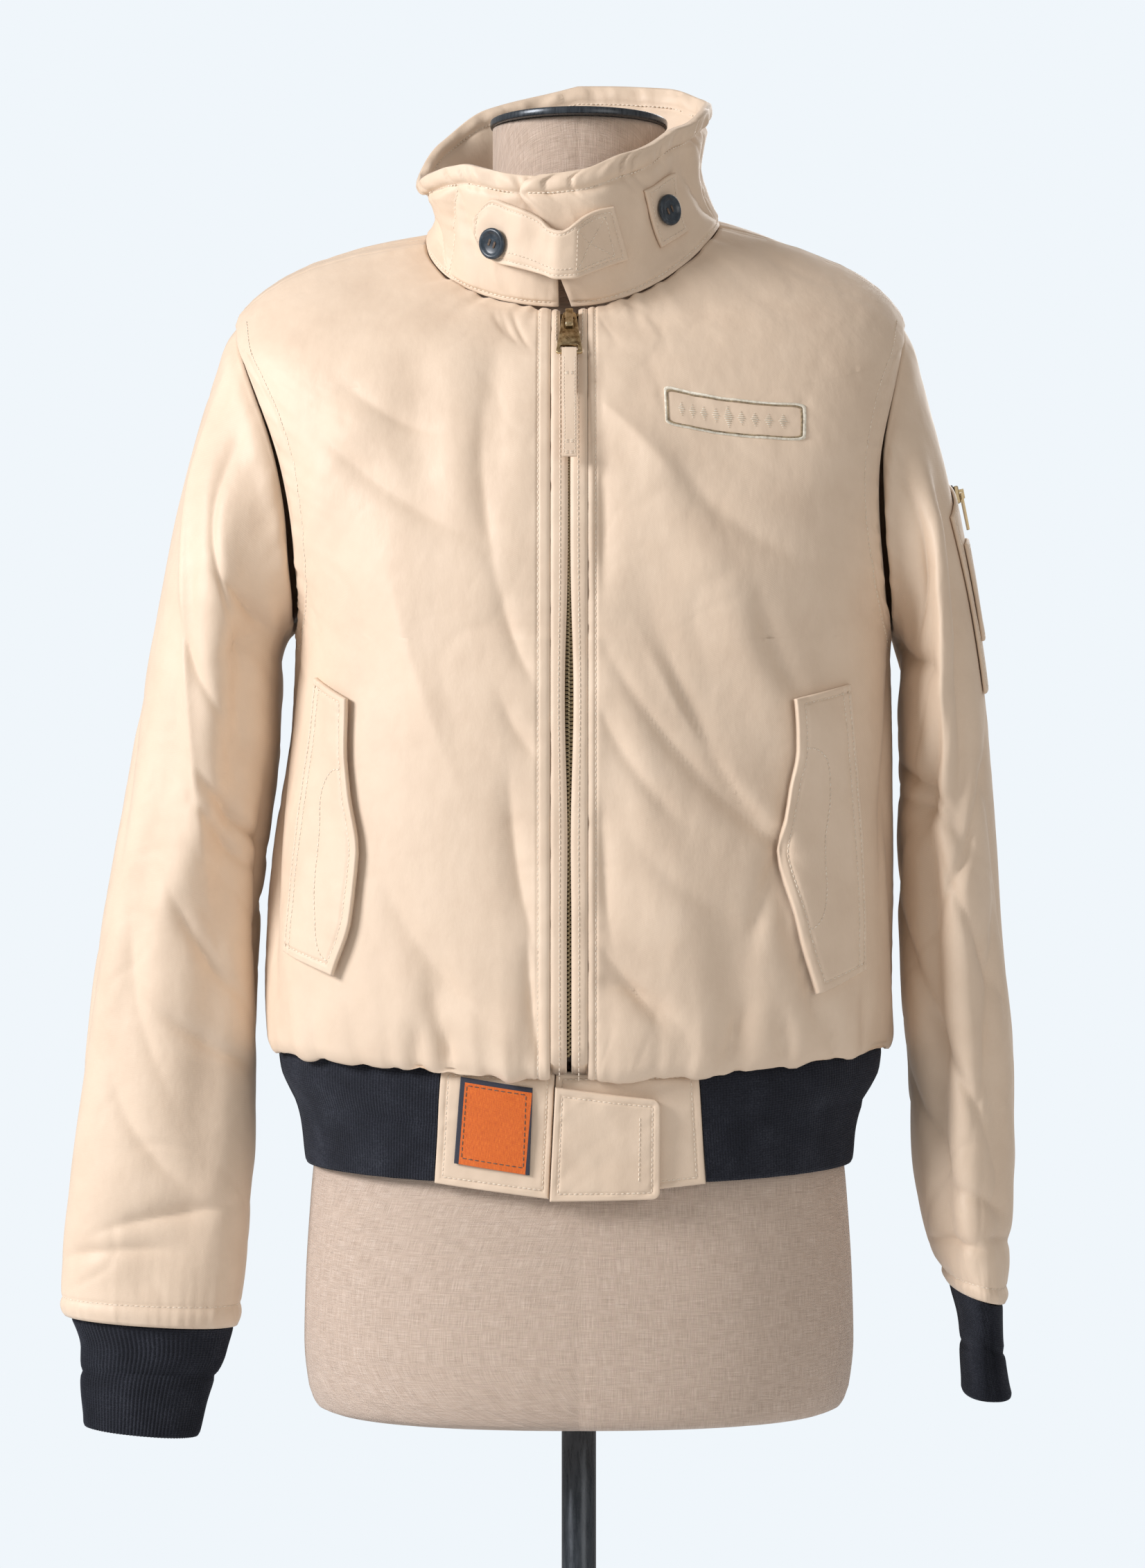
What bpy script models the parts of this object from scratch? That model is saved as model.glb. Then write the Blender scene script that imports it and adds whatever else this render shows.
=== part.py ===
"""A bomber jacket with a stand collar and knitted trims, worn by a limbless dress form on a pole stand.

Every cloth piece is a wall lofted between sections that are worked out from the tables below. Sizes are in
millimetres and the mesh is written in metres, +Z up. The front faces -Y, so the wearer's right is at -X.
The origin is on the floor, on the pole's axis.
"""

import math

import bmesh
import bpy
import numpy as np
from mathutils import Matrix, Vector

MM = 0.001
SEAM_GAP = 0.3  # clear space left between two pieces that are sewn together

# ---------------------------------------------------------------- driving sizes
BODY_WALL = 3.0  # outer cloth, thin padding and lining together
SLEEVE_WALL = 2.6
COLLAR_WALL = 4.0
RIB_WALL = 2.0
CUFF_WALL = 2.2
FLAP_WALL = 2.4
TAB_WALL = 3.6
BODY_HALF = 158.0  # about how far the front pockets lie from the pole's axis

ZIP_X = -6.0  # the zip's line lies just off the pole's axis
STRIP_OUTER = 11.0  # from the zip's line to a zip strip's outer edge
STRIP_INNER = 0.7
TAPE_HALF, TAPE_CLEAR = 13.0, 0.8

UNDERARM, SHOULDER, NECK = 276.0, 472.0, 605.0  # up the side from the hem seam
ARMHOLE_FRONT, ARMHOLE_BACK = 66.0, 70.0
ARMHOLE_POWER = 2.2
ARMHOLE_STEPS = 10
FRONT_COLUMNS, BACK_COLUMNS = 10, 17

# ---------------------------------------------------------------- tables
# The jacket's body. "up" runs up the side seam from the hem seam. The sections lie at "z" at the sides, drop
# by "dip" at the centre front and rise by "rise" at the centre back. "tilt" lifts the wearer's left side and
# lowers the right, and the bends keep either front higher away from its centre. The first rows are the blouse
# over the knit.
BODY_COLUMNS = (
    "up", "z", "right", "left", "front", "back", "dip", "rise", "power", "tilt", "bend_r", "bend_l",
)
BODY_ROWS = (
    (0, 948, 187.0, 188.0, 122, 118, 12, 0, 2.4, 0, 3.5, 3.5),
    (8, 942, 192.0, 192.5, 129, 123, 12, 0, 2.4, 0, 3.5, 3.5),
    (17, 950, 195.5, 196.0, 135, 128, 12, 0, 2.4, 0, 3.5, 3.5),
    (46, 978, 196.5, 197.0, 139, 131, 11, 0, 2.4, 0, 3.5, 3.5),
    (101, 1031, 194.0, 197.0, 140, 131, 9, 0, 2.4, 0, 3.0, 3.0),
    (161, 1090, 188.0, 196.5, 138, 129, 8, 0, 2.4, 0, 2.0, 2.0),
    (221, 1150, 180.0, 196.0, 137, 129, 10, 0, 2.4, 0, 1.4, 1.4),
    (UNDERARM, 1205, 177.0, 195.0, 134, 129, 14, 0, 2.5, 0, 1.1, 1.1),
    (331, 1260, 187.0, 198.0, 130, 126, 23, 2, 2.6, 0, 1.0, 1.0),
    (392, 1320, 200.0, 201.0, 123, 120, 38, 5, 2.6, 0, 1.0, 1.0),
    (445, 1370, 212.0, 205.5, 113, 110, 52, 8, 2.5, 0, 1.0, 1.0),
    (SHOULDER, 1395, 215.5, 205.0, 106, 102, 58, 10, 2.4, 0, 1.0, 1.0),
    (497, 1415, 200.0, 192.0, 100, 95, 60, 11, 2.3, 0, 1.0, 1.05),
    (530, 1431, 171.0, 168.0, 92, 86, 61, 13, 2.2, -0.5, 1.0, 1.15),
    (562, 1442, 138.0, 138.0, 82, 74, 60, 16, 2.1, 0.5, 1.0, 1.3),
    (586, 1448, 115.0, 113.0, 75, 64, 57, 18, 2.0, 2.5, 1.0, 1.5),
    (NECK, 1452, 96.0, 88.5, 68, 55, 56, 19, 2.0, 4, 1.0, 1.6),
)

# The collar stands on the neck seam. Each row says how far the waist and the rim of the collar lie out from
# the seam and above it, at an angle round the neck: 0 is the centre front, 90 the wearer's left.
COLLAR_COLUMNS = ("turn", "waist_out", "waist_up", "rim_out", "rim_up")
COLLAR_ROWS = (
    (-180, 8, 42, 19, 84),
    (-135, 7, 36, 18, 72),
    (-112, 0, 27, 12, 52),
    (-90, -8, 18, 6, 35),
    (-68, -2, 29, 12, 60),
    (-56, 4, 35, 14, 73),
    (-45, 8, 38, 16, 79),
    (-20, 12, 38, 18, 77),
    (0, 12, 38, 18, 79.6),
    (20, 9, 41, 16, 87),
    (45, -6, 44, 2, 87),
    (66, -12, 38, -5, 77.5),
    (90, -14, 32, -7, 72),
    (112, -2, 34, 8, 73),
    (135, 7, 38, 18, 80),
    (180, 8, 42, 19, 84),
)
# Where the collar's two ends lie, in degrees round the neck, against the share of its height.
COLLAR_END_COLUMNS = ("share", "left_end", "right_end")
COLLAR_END_ROWS = (
    (0.0, -4.0, -10.6),
    (0.2, -8.0, -10.0),
    (0.5, -12.0, -8.5),
    (0.72, -18.5, -7.5),
    (0.86, -23.0, -6.5),
    (0.94, -21.5, -6.2),
    (1.0, -15.0, -6.0),
)
COLLAR_SEAT = 0.4
COLLAR_LAP = 5.2  # the left end stands this far out, over the right end
COLLAR_STITCH = 0.86  # share of the height where the rolled edge is stitched down
QUILT_CELL_COLUMNS = 4  # grid columns in one V of the zigzag quilting
QUILT_CELLS = 12
QUILT_PUFF = 1.8
ROLL_PUFF = 1.3

# The knitted waistband and the two cloth panels at its front share these sections, from the seam down.
WAIST_COLUMNS = ("down", "z", "right", "left", "front", "back", "dip", "bend", "power")
WAIST_ROWS = (
    (0, 947.3, 186.4, 187.4, 121.4, 117.4, 12, 3.5, 2.4),
    (9, 939.0, 188.0, 189.0, 123.0, 119.0, 12, 3.5, 2.4),
    (19, 929.0, 187.0, 188.0, 122.5, 118.5, 11, 3.5, 2.4),
    (33, 916.0, 181.0, 182.0, 121.0, 118.0, 10, 3.5, 2.4),
    (46, 904.0, 175.5, 176.5, 120.0, 118.5, 8, 3.5, 2.4),
    (59, 891.0, 173.0, 173.5, 119.0, 119.0, 6, 3.5, 2.4),
    (79, 871.0, 170.8, 171.0, 118.0, 119.5, 4, 3.5, 2.4),
)
# Places across at the top and the bottom: the two panels' outer edges and the line where the tab starts.
WAIST_PANEL_LEFT_X = (74.1, 80.9)
WAIST_PANEL_RIGHT_X = (-87.5, -95.0)
WAIST_MEET_X = (-14.4, -18.1)
TAB_END_X = 48.6
TAB_ROWS = (9, 11, 22, 35, 49, 64, 77.5, 79)
TAB_CORNER, TAB_LIFT = 3.0, 0.8
LABEL_RIGHT_X, LABEL_LEFT_X = (-72.5, -80.0), (-27.5, -30.0)
LABEL_ROWS = (6, 12, 20, 33, 46, 59, 66)
LABEL_OUT, LABEL_WALL = 2.7, 0.9

# Distances down the sleeve of its grid's rings.
SLEEVE_RINGS = (0, 14, 32, 55, 85, 120, 160, 205, 255, 310, 370, 430, 490, 545, 590, 620, 634, 641)
# The sleeves. Each section is an oval between an outer and an inner point, "front" and "back" deep.
SLEEVE_COLUMNS = ("down", "outer_x", "outer_z", "inner_x", "inner_z", "mid_y", "front", "back", "power")
SLEEVE_RIGHT_ROWS = (
    (0, 215.5, 1394, 177.5, 1206, 0, 66, 70, 2.0),
    (25, 231, 1352, 184.5, 1192, 0, 70, 73, 2.1),
    (60, 243.5, 1306, 187, 1178, 0, 73, 75, 2.2),
    (110, 254, 1260, 187, 1158, -1, 75, 76, 2.2),
    (160, 263, 1212, 187, 1135, -3, 73, 75, 2.2),
    (210, 272, 1165, 189.5, 1110, -4, 70, 72, 2.2),
    (270, 281, 1112, 193, 1075, -6, 64, 66, 2.2),
    (330, 289.5, 1062, 196.5, 1036, -9, 57, 58, 2.2),
    (400, 299.5, 1000, 199.5, 985, -12, 50, 50, 2.2),
    (470, 308, 937, 201, 930, -15, 44, 44, 2.2),
    (530, 314.5, 880, 202.5, 876, -18, 40, 40, 2.2),
    (580, 319.5, 835, 205.5, 832, -20, 37, 37, 2.2),
    (615, 322, 800, 208.5, 799, -21, 35, 35, 2.2),
    (634, 320.5, 785, 211, 779, -22, 34.5, 34.5, 2.2),
    (641, 319, 777, 212.5, 770, -22, 34, 34, 2.2),
)
SLEEVE_LEFT_ROWS = (
    (0, 205, 1395, 195.5, 1206, 0, 66, 70, 2.0),
    (25, 217, 1350, 199.3, 1192, 0, 70, 73, 2.1),
    (60, 228.5, 1304, 200.5, 1178, 0, 74, 76, 2.2),
    (110, 238, 1255, 200.5, 1160, -1, 77, 77, 2.2),
    (160, 246.5, 1205, 200.3, 1135, -2, 77, 77, 2.2),
    (210, 253, 1158, 200.3, 1110, -2, 76, 76, 2.2),
    (270, 257.5, 1105, 200.5, 1075, -3, 73, 73, 2.2),
    (330, 262, 1050, 200.8, 1036, -4, 68, 68, 2.2),
    (400, 266.5, 990, 202, 985, -5, 64, 64, 2.2),
    (470, 271, 932, 206.5, 925, -6, 62, 62, 2.2),
    (530, 271.5, 880, 209, 872, -7, 61, 61, 2.2),
    (580, 269, 835, 217, 828, -8, 61, 61, 2.2),
    (615, 267, 807, 224, 809, -9, 60, 60, 2.2),
    (634, 265, 792, 229, 801, -9, 59.5, 59.5, 2.2),
    (641, 264.5, 785.5, 230.5, 795, -9, 59, 59, 2.2),
)
CUFF_RIGHT_ROWS = (
    (0, 315.5, 776.0, 214.5, 769.2, -22, 32.0, 32.0, 2.2),
    (20, 309.5, 756, 219, 752, -22, 28.5, 28.5, 2.2),
    (38, 309.5, 739, 227, 735, -22, 26, 26, 2.2),
    (70, 307.7, 708, 236, 701, -22, 24, 24, 2.2),
)
CUFF_LEFT_ROWS = (
    (0, 263.2, 784.5, 232.0, 794.0, -9, 57.0, 57.0, 2.2),
    (20, 263.8, 764, 237.5, 771, -9, 50, 50, 2.2),
    (40, 265.5, 747, 239, 750, -9, 43, 43, 2.2),
    (66, 269.8, 726, 239.5, 726, -9, 41, 41, 2.2),
)
CUFF_RIBS = 56
RIB_HEIGHT = 0.9
CUFF_INNER_SIDES = 28

# Large soft folds. On the body: angle round from the centre front (left is plus), height up, half length,
# half width, height of the ridge (troughs are minus) and lean from upright, in degrees.
FOLD_COLUMNS = ("turn", "up", "length", "width", "rise", "lean")
BODY_FOLDS = (
    (-24, 452, 70, 14, -3.0, 10),
    (-42, 440, 80, 17, -3.5, 14),
    (-58, 400, 70, 15, 3.0, -14),
    (36, 300, 120, 22, 3.0, 22),
    (26, 235, 110, 20, -3.0, 26),
    (44, 200, 90, 18, -3.5, 30),
    (18, 150, 90, 22, 3.0, 20),
    (36, 50, 60, 14, -5.0, 4),
    (-30, 34, 48, 12, -4.0, 12),
    (150, 70, 75, 20, -4.5, 10),
    (-150, 60, 70, 18, -4.5, -12),
    (178, 60, 60, 20, 4.0, 0),
    (130, 330, 120, 26, -4.0, 20),
    (-132, 320, 120, 26, -4.0, -20),
)
# On a sleeve: angle round from the outer side (90 is the front), distance down, then as above.
SLEEVE_RIGHT_FOLDS = (
    (122, 175, 120, 15, -7.0, 0),
    (88, 110, 140, 17, 4.5, -4),
    (64, 330, 150, 15, -4.0, 3),
    (96, 300, 90, 14, 3.5, 14),
    (120, 420, 150, 15, -4.0, 2),
    (100, 585, 24, 30, -3.0, 76),
    (230, 200, 130, 18, -6.0, 6),
    (262, 340, 150, 18, 4.0, -6),
    (300, 470, 120, 18, -4.0, 4),
)
SLEEVE_LEFT_FOLDS = (
    (62, 150, 130, 15, -8.0, -10),
    (86, 120, 120, 14, 6.0, -8),
    (112, 215, 60, 15, -6.5, -24),
    (104, 300, 80, 16, 6.0, 12),
    (128, 430, 190, 15, -8.0, -2),
    (92, 450, 160, 18, 4.0, -3),
    (60, 500, 120, 15, -3.5, 6),
    (235, 180, 130, 18, -6.0, -6),
    (268, 330, 150, 18, 4.0, 6),
    (300, 470, 120, 18, -4.0, -4),
)

# The dress form, from its flat underside to the top of the neck.
FORM_COLUMNS = ("z", "half", "front", "back", "dip", "rise", "power")
FORM_ROWS = (
    (717, 157, 98, 102, 0, 0, 2.3),
    (720, 164, 104, 108, 0, 0, 2.3),
    (732, 169.0, 108, 112, 0, 0, 2.3),
    (760, 171.8, 110, 115, 0, 0, 2.3),
    (800, 170.8, 111, 115, 0, 0, 2.3),
    (840, 168.4, 110, 114, 0, 0, 2.3),
    (870, 165.8, 109, 112, 0, 0, 2.3),
    (905, 160, 107, 108, 0, 0, 2.3),
    (960, 148, 101, 100, 0, 0, 2.2),
    (1020, 134, 92, 90, 0, 0, 2.2),
    (1075, 127, 88, 84, 0, 0, 2.2),
    (1130, 134, 94, 88, 0, 0, 2.2),
    (1190, 148, 107, 96, 4, 0, 2.2),
    (1240, 157, 112, 99, 12, 0, 2.2),
    (1300, 169, 106, 97, 28, 3, 2.2),
    (1355, 184, 93, 91, 42, 6, 2.2),
    (1390, 190, 84, 84, 50, 9, 2.1),
    (1411, 183, 78, 78, 53, 11, 2.1),
    (1425, 166, 72, 71, 54, 13, 2.0),
    (1434, 138, 65, 60, 54, 15, 2.0),
    (1438.5, 111, 59, 52, 51, 15, 2.0),
    (1444, 82, 53, 47, 44, 12, 2.0),
    (1460, 62, 50, 46, 32, 8, 2.0),
    (1487, 54, 49, 46, 12, 3, 2.0),
    (1516, 54, 50, 47, 0, 0, 2.0),
)
FORM_SIDES = 24
NECK_CAP_RADIUS, NECK_CAP_THICK = 55.5, 4.5

POLE_RADIUS = 10.8
POLE_SOCKET = 45.0  # how far the pole runs up into the form
BASE_RADIUS, BASE_EDGE, BASE_TOP = 180.0, 7.0, 12.0
HUB_RADIUS, HUB_TOP = 24.0, 50.0

# ---------------------------------------------------------------- colours
SAND = (0.78, 0.63, 0.48)
NAVY = (0.030, 0.034, 0.045)
LINEN = (0.56, 0.47, 0.41)
BRASS = (0.35, 0.26, 0.10)
STEEL = (0.045, 0.055, 0.065)
ORANGE = (0.90, 0.27, 0.03)
BROWN = (0.05, 0.035, 0.025)


# ---------------------------------------------------------------- tables and curves
def monotone(keys, values, at):
    """Values between a line of rows, along a cubic curve that never overshoots them."""
    values = np.asarray(values, float)
    at = np.clip(np.asarray(at, float), keys[0], keys[-1])
    step = np.diff(keys)
    step_all = step.reshape(-1, *([1] * (values.ndim - 1)))
    slope = np.diff(values, axis=0) / step_all
    both = slope[1:] * slope[:-1]
    mean = np.where(both > 0, 2 * both / np.where(both > 0, slope[1:] + slope[:-1], 1), 0)
    tangent = np.concatenate([slope[:1], mean, slope[-1:]])
    i = np.clip(np.searchsorted(keys, at, side="right") - 1, 0, len(step) - 1)
    t = ((at - keys[i]) / step[i]).reshape(at.shape + (1,) * (values.ndim - 1))
    start = (1 + 2 * t) * (1 - t) ** 2 * values[i] + t * (1 - t) ** 2 * step_all[i] * tangent[i]
    end = t * t * (3 - 2 * t) * values[i + 1] + t * t * (t - 1) * step_all[i] * tangent[i + 1]
    return start + end


class Table:
    """A short table with named columns, read by the first of them."""

    def __init__(self, names, rows):
        values = np.array(rows, float)
        self.keys = values[:, 0]
        self.columns = dict(zip(names, values.T))

    def read(self, name, at):
        return monotone(self.keys, self.columns[name], at)


BODY = Table(BODY_COLUMNS, BODY_ROWS)
COLLAR = Table(COLLAR_COLUMNS, COLLAR_ROWS)
COLLAR_ENDS = Table(COLLAR_END_COLUMNS, COLLAR_END_ROWS)
WAIST = Table(WAIST_COLUMNS, WAIST_ROWS)
FORM = Table(FORM_COLUMNS, FORM_ROWS)
SLEEVES = {"right": Table(SLEEVE_COLUMNS, SLEEVE_RIGHT_ROWS), "left": Table(SLEEVE_COLUMNS, SLEEVE_LEFT_ROWS)}
CUFFS = {"right": Table(SLEEVE_COLUMNS, CUFF_RIGHT_ROWS), "left": Table(SLEEVE_COLUMNS, CUFF_LEFT_ROWS)}
SLEEVE_FOLDS = {"right": SLEEVE_RIGHT_FOLDS, "left": SLEEVE_LEFT_FOLDS}
SIDE_SIGN = {"right": -1.0, "left": 1.0}


def smoothstep(x):
    x = np.clip(x, 0.0, 1.0)
    return x * x * (3 - 2 * x)


def points(x, y, z):
    return np.stack(np.broadcast_arrays(x, y, z), axis=-1).astype(float)


def ring_section(turn, right, left, front, back, power):
    """Reach of a rounded oval section from its axis at an angle, and how near that is to its front or back.
    """
    sin, cos = np.sin(turn), np.cos(turn)
    half = np.where(sin < 0, right, left)
    depth = np.where(cos > 0, front, back)
    reach = ((np.abs(sin) / half) ** power + (np.abs(cos) / depth) ** power) ** (-1 / power)
    return reach, reach * np.abs(cos) / depth


def soft_folds(folds, turn, along, radius):
    """Height of the soft ridges and troughs at a place on a tube of about that radius."""
    total = np.zeros(np.broadcast(turn, along).shape)
    for at_turn, at_along, length, width, rise, lean in folds:
        around = (np.degrees(turn) - at_turn + 180) % 360 - 180
        x, y = np.radians(around) * radius, along - at_along
        c, s = math.cos(math.radians(lean)), math.sin(math.radians(lean))
        across, down = x * c + y * s, y * c - x * s
        total = total + rise * np.exp(-((across / width) ** 2) - (down / length) ** 4)
    return total


def moved_out(surface, a, b, out, step_a=0.01, step_b=1.0):
    """Points of a surface moved along its outward normal, which is worked out from close neighbours."""
    du = surface(a + step_a, b) - surface(a - step_a, b)
    dv = surface(a, b + step_b) - surface(a, b - step_b)
    normal = np.cross(du, dv)
    normal = normal / np.linalg.norm(normal, axis=-1, keepdims=True)
    return surface(a, b) + normal * np.asarray(out)[..., None]


# ---------------------------------------------------------------- surfaces
SECTION_COLUMNS = ("right", "left", "front", "back", "power")


def body_plain(turn, up):
    """The jacket's body without folds."""
    reach, share = ring_section(turn, *(BODY.read(n, up) for n in SECTION_COLUMNS))
    bend = np.where(np.sin(turn) > 0, BODY.read("bend_l", up), BODY.read("bend_r", up))
    share = share ** np.where(np.cos(turn) > 0, bend, 1.0)
    drop = np.where(np.cos(turn) > 0, -BODY.read("dip", up), BODY.read("rise", up)) * share
    drop = drop + BODY.read("tilt", up) * np.sin(turn)
    return points(reach * np.sin(turn), -reach * np.cos(turn), BODY.read("z", up) + drop)


def body(turn, up, out=0.0):
    """The jacket's body with its folds, which fade out at the seams, moved out by a distance."""
    turn, up = np.broadcast_arrays(np.asarray(turn, float), np.asarray(up, float))
    zip_side = np.abs(body_plain(turn, up)[..., 0] - ZIP_X)
    fade = smoothstep((zip_side - 22) / 30) + (np.cos(turn) < 0)
    fade = np.clip(fade, 0, 1) * smoothstep(up / 16) * smoothstep((NECK - up) / 50) * armhole_fade(turn, up)
    return moved_out(body_plain, turn, up, out + soft_folds(BODY_FOLDS, turn, up, 165) * fade)


def armhole_fade(turn, up):
    """0 at the armhole, 1 further in than 40 mm."""
    side = np.abs(body_plain(turn, up)[..., 1])
    above = smoothstep((up - UNDERARM + 60) / 60)
    return 1 - above * (1 - smoothstep((side - 60) / 30))


def armhole_turn(share, side, face, inside=0.0):
    """Angle of the armhole's edge on the body, at a share of its height; face is +1 in front, -1 behind."""
    up = UNDERARM + inside + share * (SHOULDER - UNDERARM - 2 * inside)
    width = (1 - np.abs(2 * share - 1) ** ARMHOLE_POWER) ** (1 / ARMHOLE_POWER)
    inset = np.maximum((ARMHOLE_FRONT if face > 0 else ARMHOLE_BACK) * width - inside, 0.01)
    half, power = BODY.read(side, up), BODY.read("power", up)
    depth = BODY.read("front" if face > 0 else "back", up)
    x = half * (1 - (inset / depth) ** power) ** (1 / power)
    turn = np.arctan2(x, inset * face)
    return SIDE_SIGN[side] * turn


def turn_at_x(x, up, surface=BODY):
    """Angle at which the front of a section reaches a place across."""
    return math.atan2(x, float(surface.read("front", up)))


def sleeve_oval(table, side, turn, down):
    """A sleeve or cuff as plain ovals; turn 0 is the outer side and 90 degrees the front."""
    sign = SIDE_SIGN[side]
    cos, sin = np.cos(turn), np.sin(turn)
    power = table.read("power", down)
    reach = (np.abs(cos) ** power + np.abs(sin) ** power) ** (-1 / power)
    along, deep = cos * reach, sin * reach
    outer = points(sign * table.read("outer_x", down), 0, table.read("outer_z", down))
    inner = points(sign * table.read("inner_x", down), 0, table.read("inner_z", down))
    depth = np.where(sin > 0, table.read("front", down), table.read("back", down))
    place = (outer + inner) / 2 + (outer - inner) / 2 * along[..., None]
    place[..., 1] = table.read("mid_y", down) - depth * deep
    return place


def armhole_loop(side, turn):
    """The line the sleeve is set in along: the armhole's edge, drawn in along the cloth by the seam gap."""
    inside = SEAM_GAP + 0.4
    share = np.clip((1 + np.cos(turn)) / 2, 1e-6, 1 - 1e-6)
    up = UNDERARM + inside + share * (SHOULDER - UNDERARM - 2 * inside)
    front, back = (armhole_turn(share, side, face, inside) for face in (+1, -1))
    return body_plain(np.where(np.sin(turn) > 0, front, back), up)


def sleeve_plain(side, turn, down):
    """The sleeve, which starts on the armhole's edge and settles into its ovals."""
    turn, down = np.broadcast_arrays(np.asarray(turn, float), np.asarray(down, float))
    table = SLEEVES[side]
    settle = armhole_loop(side, turn) - sleeve_oval(table, side, turn, np.zeros_like(down))
    return sleeve_oval(table, side, turn, down) + settle * np.exp(-((down / 34) ** 2))[..., None]


def sleeve(side, turn, down, out=0.0):
    turn, down = np.broadcast_arrays(np.asarray(turn, float), np.asarray(down, float))
    end = SLEEVES[side].keys[-1]
    fade = smoothstep(down / 60) * smoothstep((end - 8 - down) / 40)
    relief = soft_folds(SLEEVE_FOLDS[side], turn, down, 55) * fade
    flip = SIDE_SIGN[side]
    return moved_out(lambda a, b: sleeve_plain(side, a, b), turn, down, (out + relief) * flip)


def collar(turn, share, out=0.0):
    """The collar; share 0 is the neck seam and 1 the rim."""
    return moved_out(collar_plain, turn, share, out, step_b=0.02)


def collar_plain(turn, share):
    """The left end's lap grows from nothing at the seam, where both ends are sewn to the neck."""
    turn, share = np.broadcast_arrays(np.asarray(turn, float), np.asarray(share, float))
    degrees = (np.degrees(turn) + 180) % 360 - 180
    seam = body_plain(turn, NECK)
    low, high = share * (2 - share * 2) * 2, share * (2 * share - 1)
    away = COLLAR.read("waist_out", degrees) * low + COLLAR.read("rim_out", degrees) * high
    rise = COLLAR.read("waist_up", degrees) * low + COLLAR.read("rim_up", degrees) * high
    lap = COLLAR_LAP * smoothstep((26 - degrees) / 26) * (turn < math.pi) * smoothstep(share / 0.22)
    radial = points(np.sin(turn), -np.cos(turn), 0)
    return seam + radial * (away + lap)[..., None] + points(0, 0, rise + SEAM_GAP + COLLAR_SEAT)


def waist(turn, down, out=0.0):
    return moved_out(waist_plain, turn, down, -np.asarray(out))


def waist_plain(turn, down):
    reach, share = ring_section(turn, *(WAIST.read(n, down) for n in SECTION_COLUMNS))
    drop = np.where(np.cos(turn) > 0, -WAIST.read("dip", down), 0) * share ** WAIST.read("bend", down)
    return points(reach * np.sin(turn), -reach * np.cos(turn), WAIST.read("z", down) + drop)


# ---------------------------------------------------------------- building
def clear_scene():
    for item in list(bpy.data.objects):
        bpy.data.objects.remove(item)


def new_collection(name):
    collection = bpy.data.collections.new(name)
    bpy.context.scene.collection.children.link(collection)
    return collection


def new_material(name, colour, roughness, metallic=0.0):
    material = bpy.data.materials.new(name)
    material.use_nodes = True
    shader = material.node_tree.nodes["Principled BSDF"]
    shader.inputs["Base Color"].default_value = (*colour, 1)
    shader.inputs["Roughness"].default_value = roughness
    shader.inputs["Metallic"].default_value = metallic
    return material


def add_object(name, data, material, collection):
    item = bpy.data.objects.new(name, data)
    item.data.materials.append(material)
    collection.objects.link(item)
    return item


def mesh_object(name, vertices, faces, material, collection):
    """An object from points in millimetres, shaded smooth with its sharp edges kept."""
    mesh = bpy.data.meshes.new(name)
    mesh.from_pydata([tuple(v * MM) for v in np.asarray(vertices, float).reshape(-1, 3)], [], faces)
    work = bmesh.new()
    work.from_mesh(mesh)
    bmesh.ops.recalc_face_normals(work, faces=work.faces)
    if work.calc_volume(signed=True) < 0:
        bmesh.ops.reverse_faces(work, faces=work.faces)
    work.to_mesh(mesh)
    work.free()
    mesh.shade_smooth()
    mesh.set_sharp_from_angle(angle=math.radians(40))
    return add_object(name, mesh, material, collection)


def grid_faces(first, rows, columns, around):
    """Quads over a grid of points whose first index is given."""
    faces = []
    for row in range(rows - 1):
        for column in range(columns if around else columns - 1):
            after = (column + 1) % columns
            a, b = first + row * columns, first + (row + 1) * columns
            faces.append((a + column, a + after, b + after, b + column))
    return faces


def rim_faces(outer, inner):
    """A strip that joins an outer line of points to an inner one with as many, or fewer by a whole factor."""
    faces = []
    ratio = (len(outer) - 1) // (len(inner) - 1)
    for k in range(len(inner) - 1):
        span = outer[k * ratio : (k + 1) * ratio + 1]
        faces.append((*span, inner[k + 1], inner[k]))
    return faces


def wall(name, outer, inner, material, collection, around=False):
    """A closed cloth wall between two grids of points; around joins the last column to the first."""
    rows, columns = outer.shape[:2]
    inner_rows, inner_columns = inner.shape[:2]
    start = rows * columns
    faces = grid_faces(0, rows, columns, around)
    faces += [face[::-1] for face in grid_faces(start, inner_rows, inner_columns, around)]

    def row_of(first, row, count):
        line = [first + row * count + k for k in range(count)]
        return line + line[:1] if around else line

    bottom = rim_faces(row_of(0, 0, columns), row_of(start, 0, inner_columns))
    top = rim_faces(row_of(0, rows - 1, columns), row_of(start, inner_rows - 1, inner_columns))
    faces += [face[::-1] for face in bottom] + top
    if not around:
        for column, inner_column, flip in ((0, 0, 1), (columns - 1, inner_columns - 1, -1)):
            side = rim_faces(
                [row * columns + column for row in range(rows)],
                [start + row * inner_columns + inner_column for row in range(inner_rows)],
            )
            faces += [face[::flip] for face in side]
    everything = np.concatenate([outer.reshape(-1, 3), inner.reshape(-1, 3)])
    return mesh_object(name, everything, faces, material, collection)


def cube_object(name, size, matrix, material, collection, bevel=0.0):
    """A box of a size in millimetres at a place, with rounded edges."""
    mesh = bpy.data.meshes.new(name)
    work = bmesh.new()
    bmesh.ops.create_cube(work, size=MM)
    bmesh.ops.scale(work, vec=Vector(size), verts=work.verts)
    work.to_mesh(mesh)
    work.free()
    item = add_object(name, mesh, material, collection)
    item.matrix_world = matrix
    if bevel:
        add_bevel(item, bevel)
    return item


def add_bevel(item, width, segments=1):
    modifier = item.modifiers.new("Rounded edges", "BEVEL")
    modifier.width = width * MM
    modifier.segments = segments
    modifier.limit_method = "ANGLE"
    modifier.angle_limit = math.radians(40)


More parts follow.
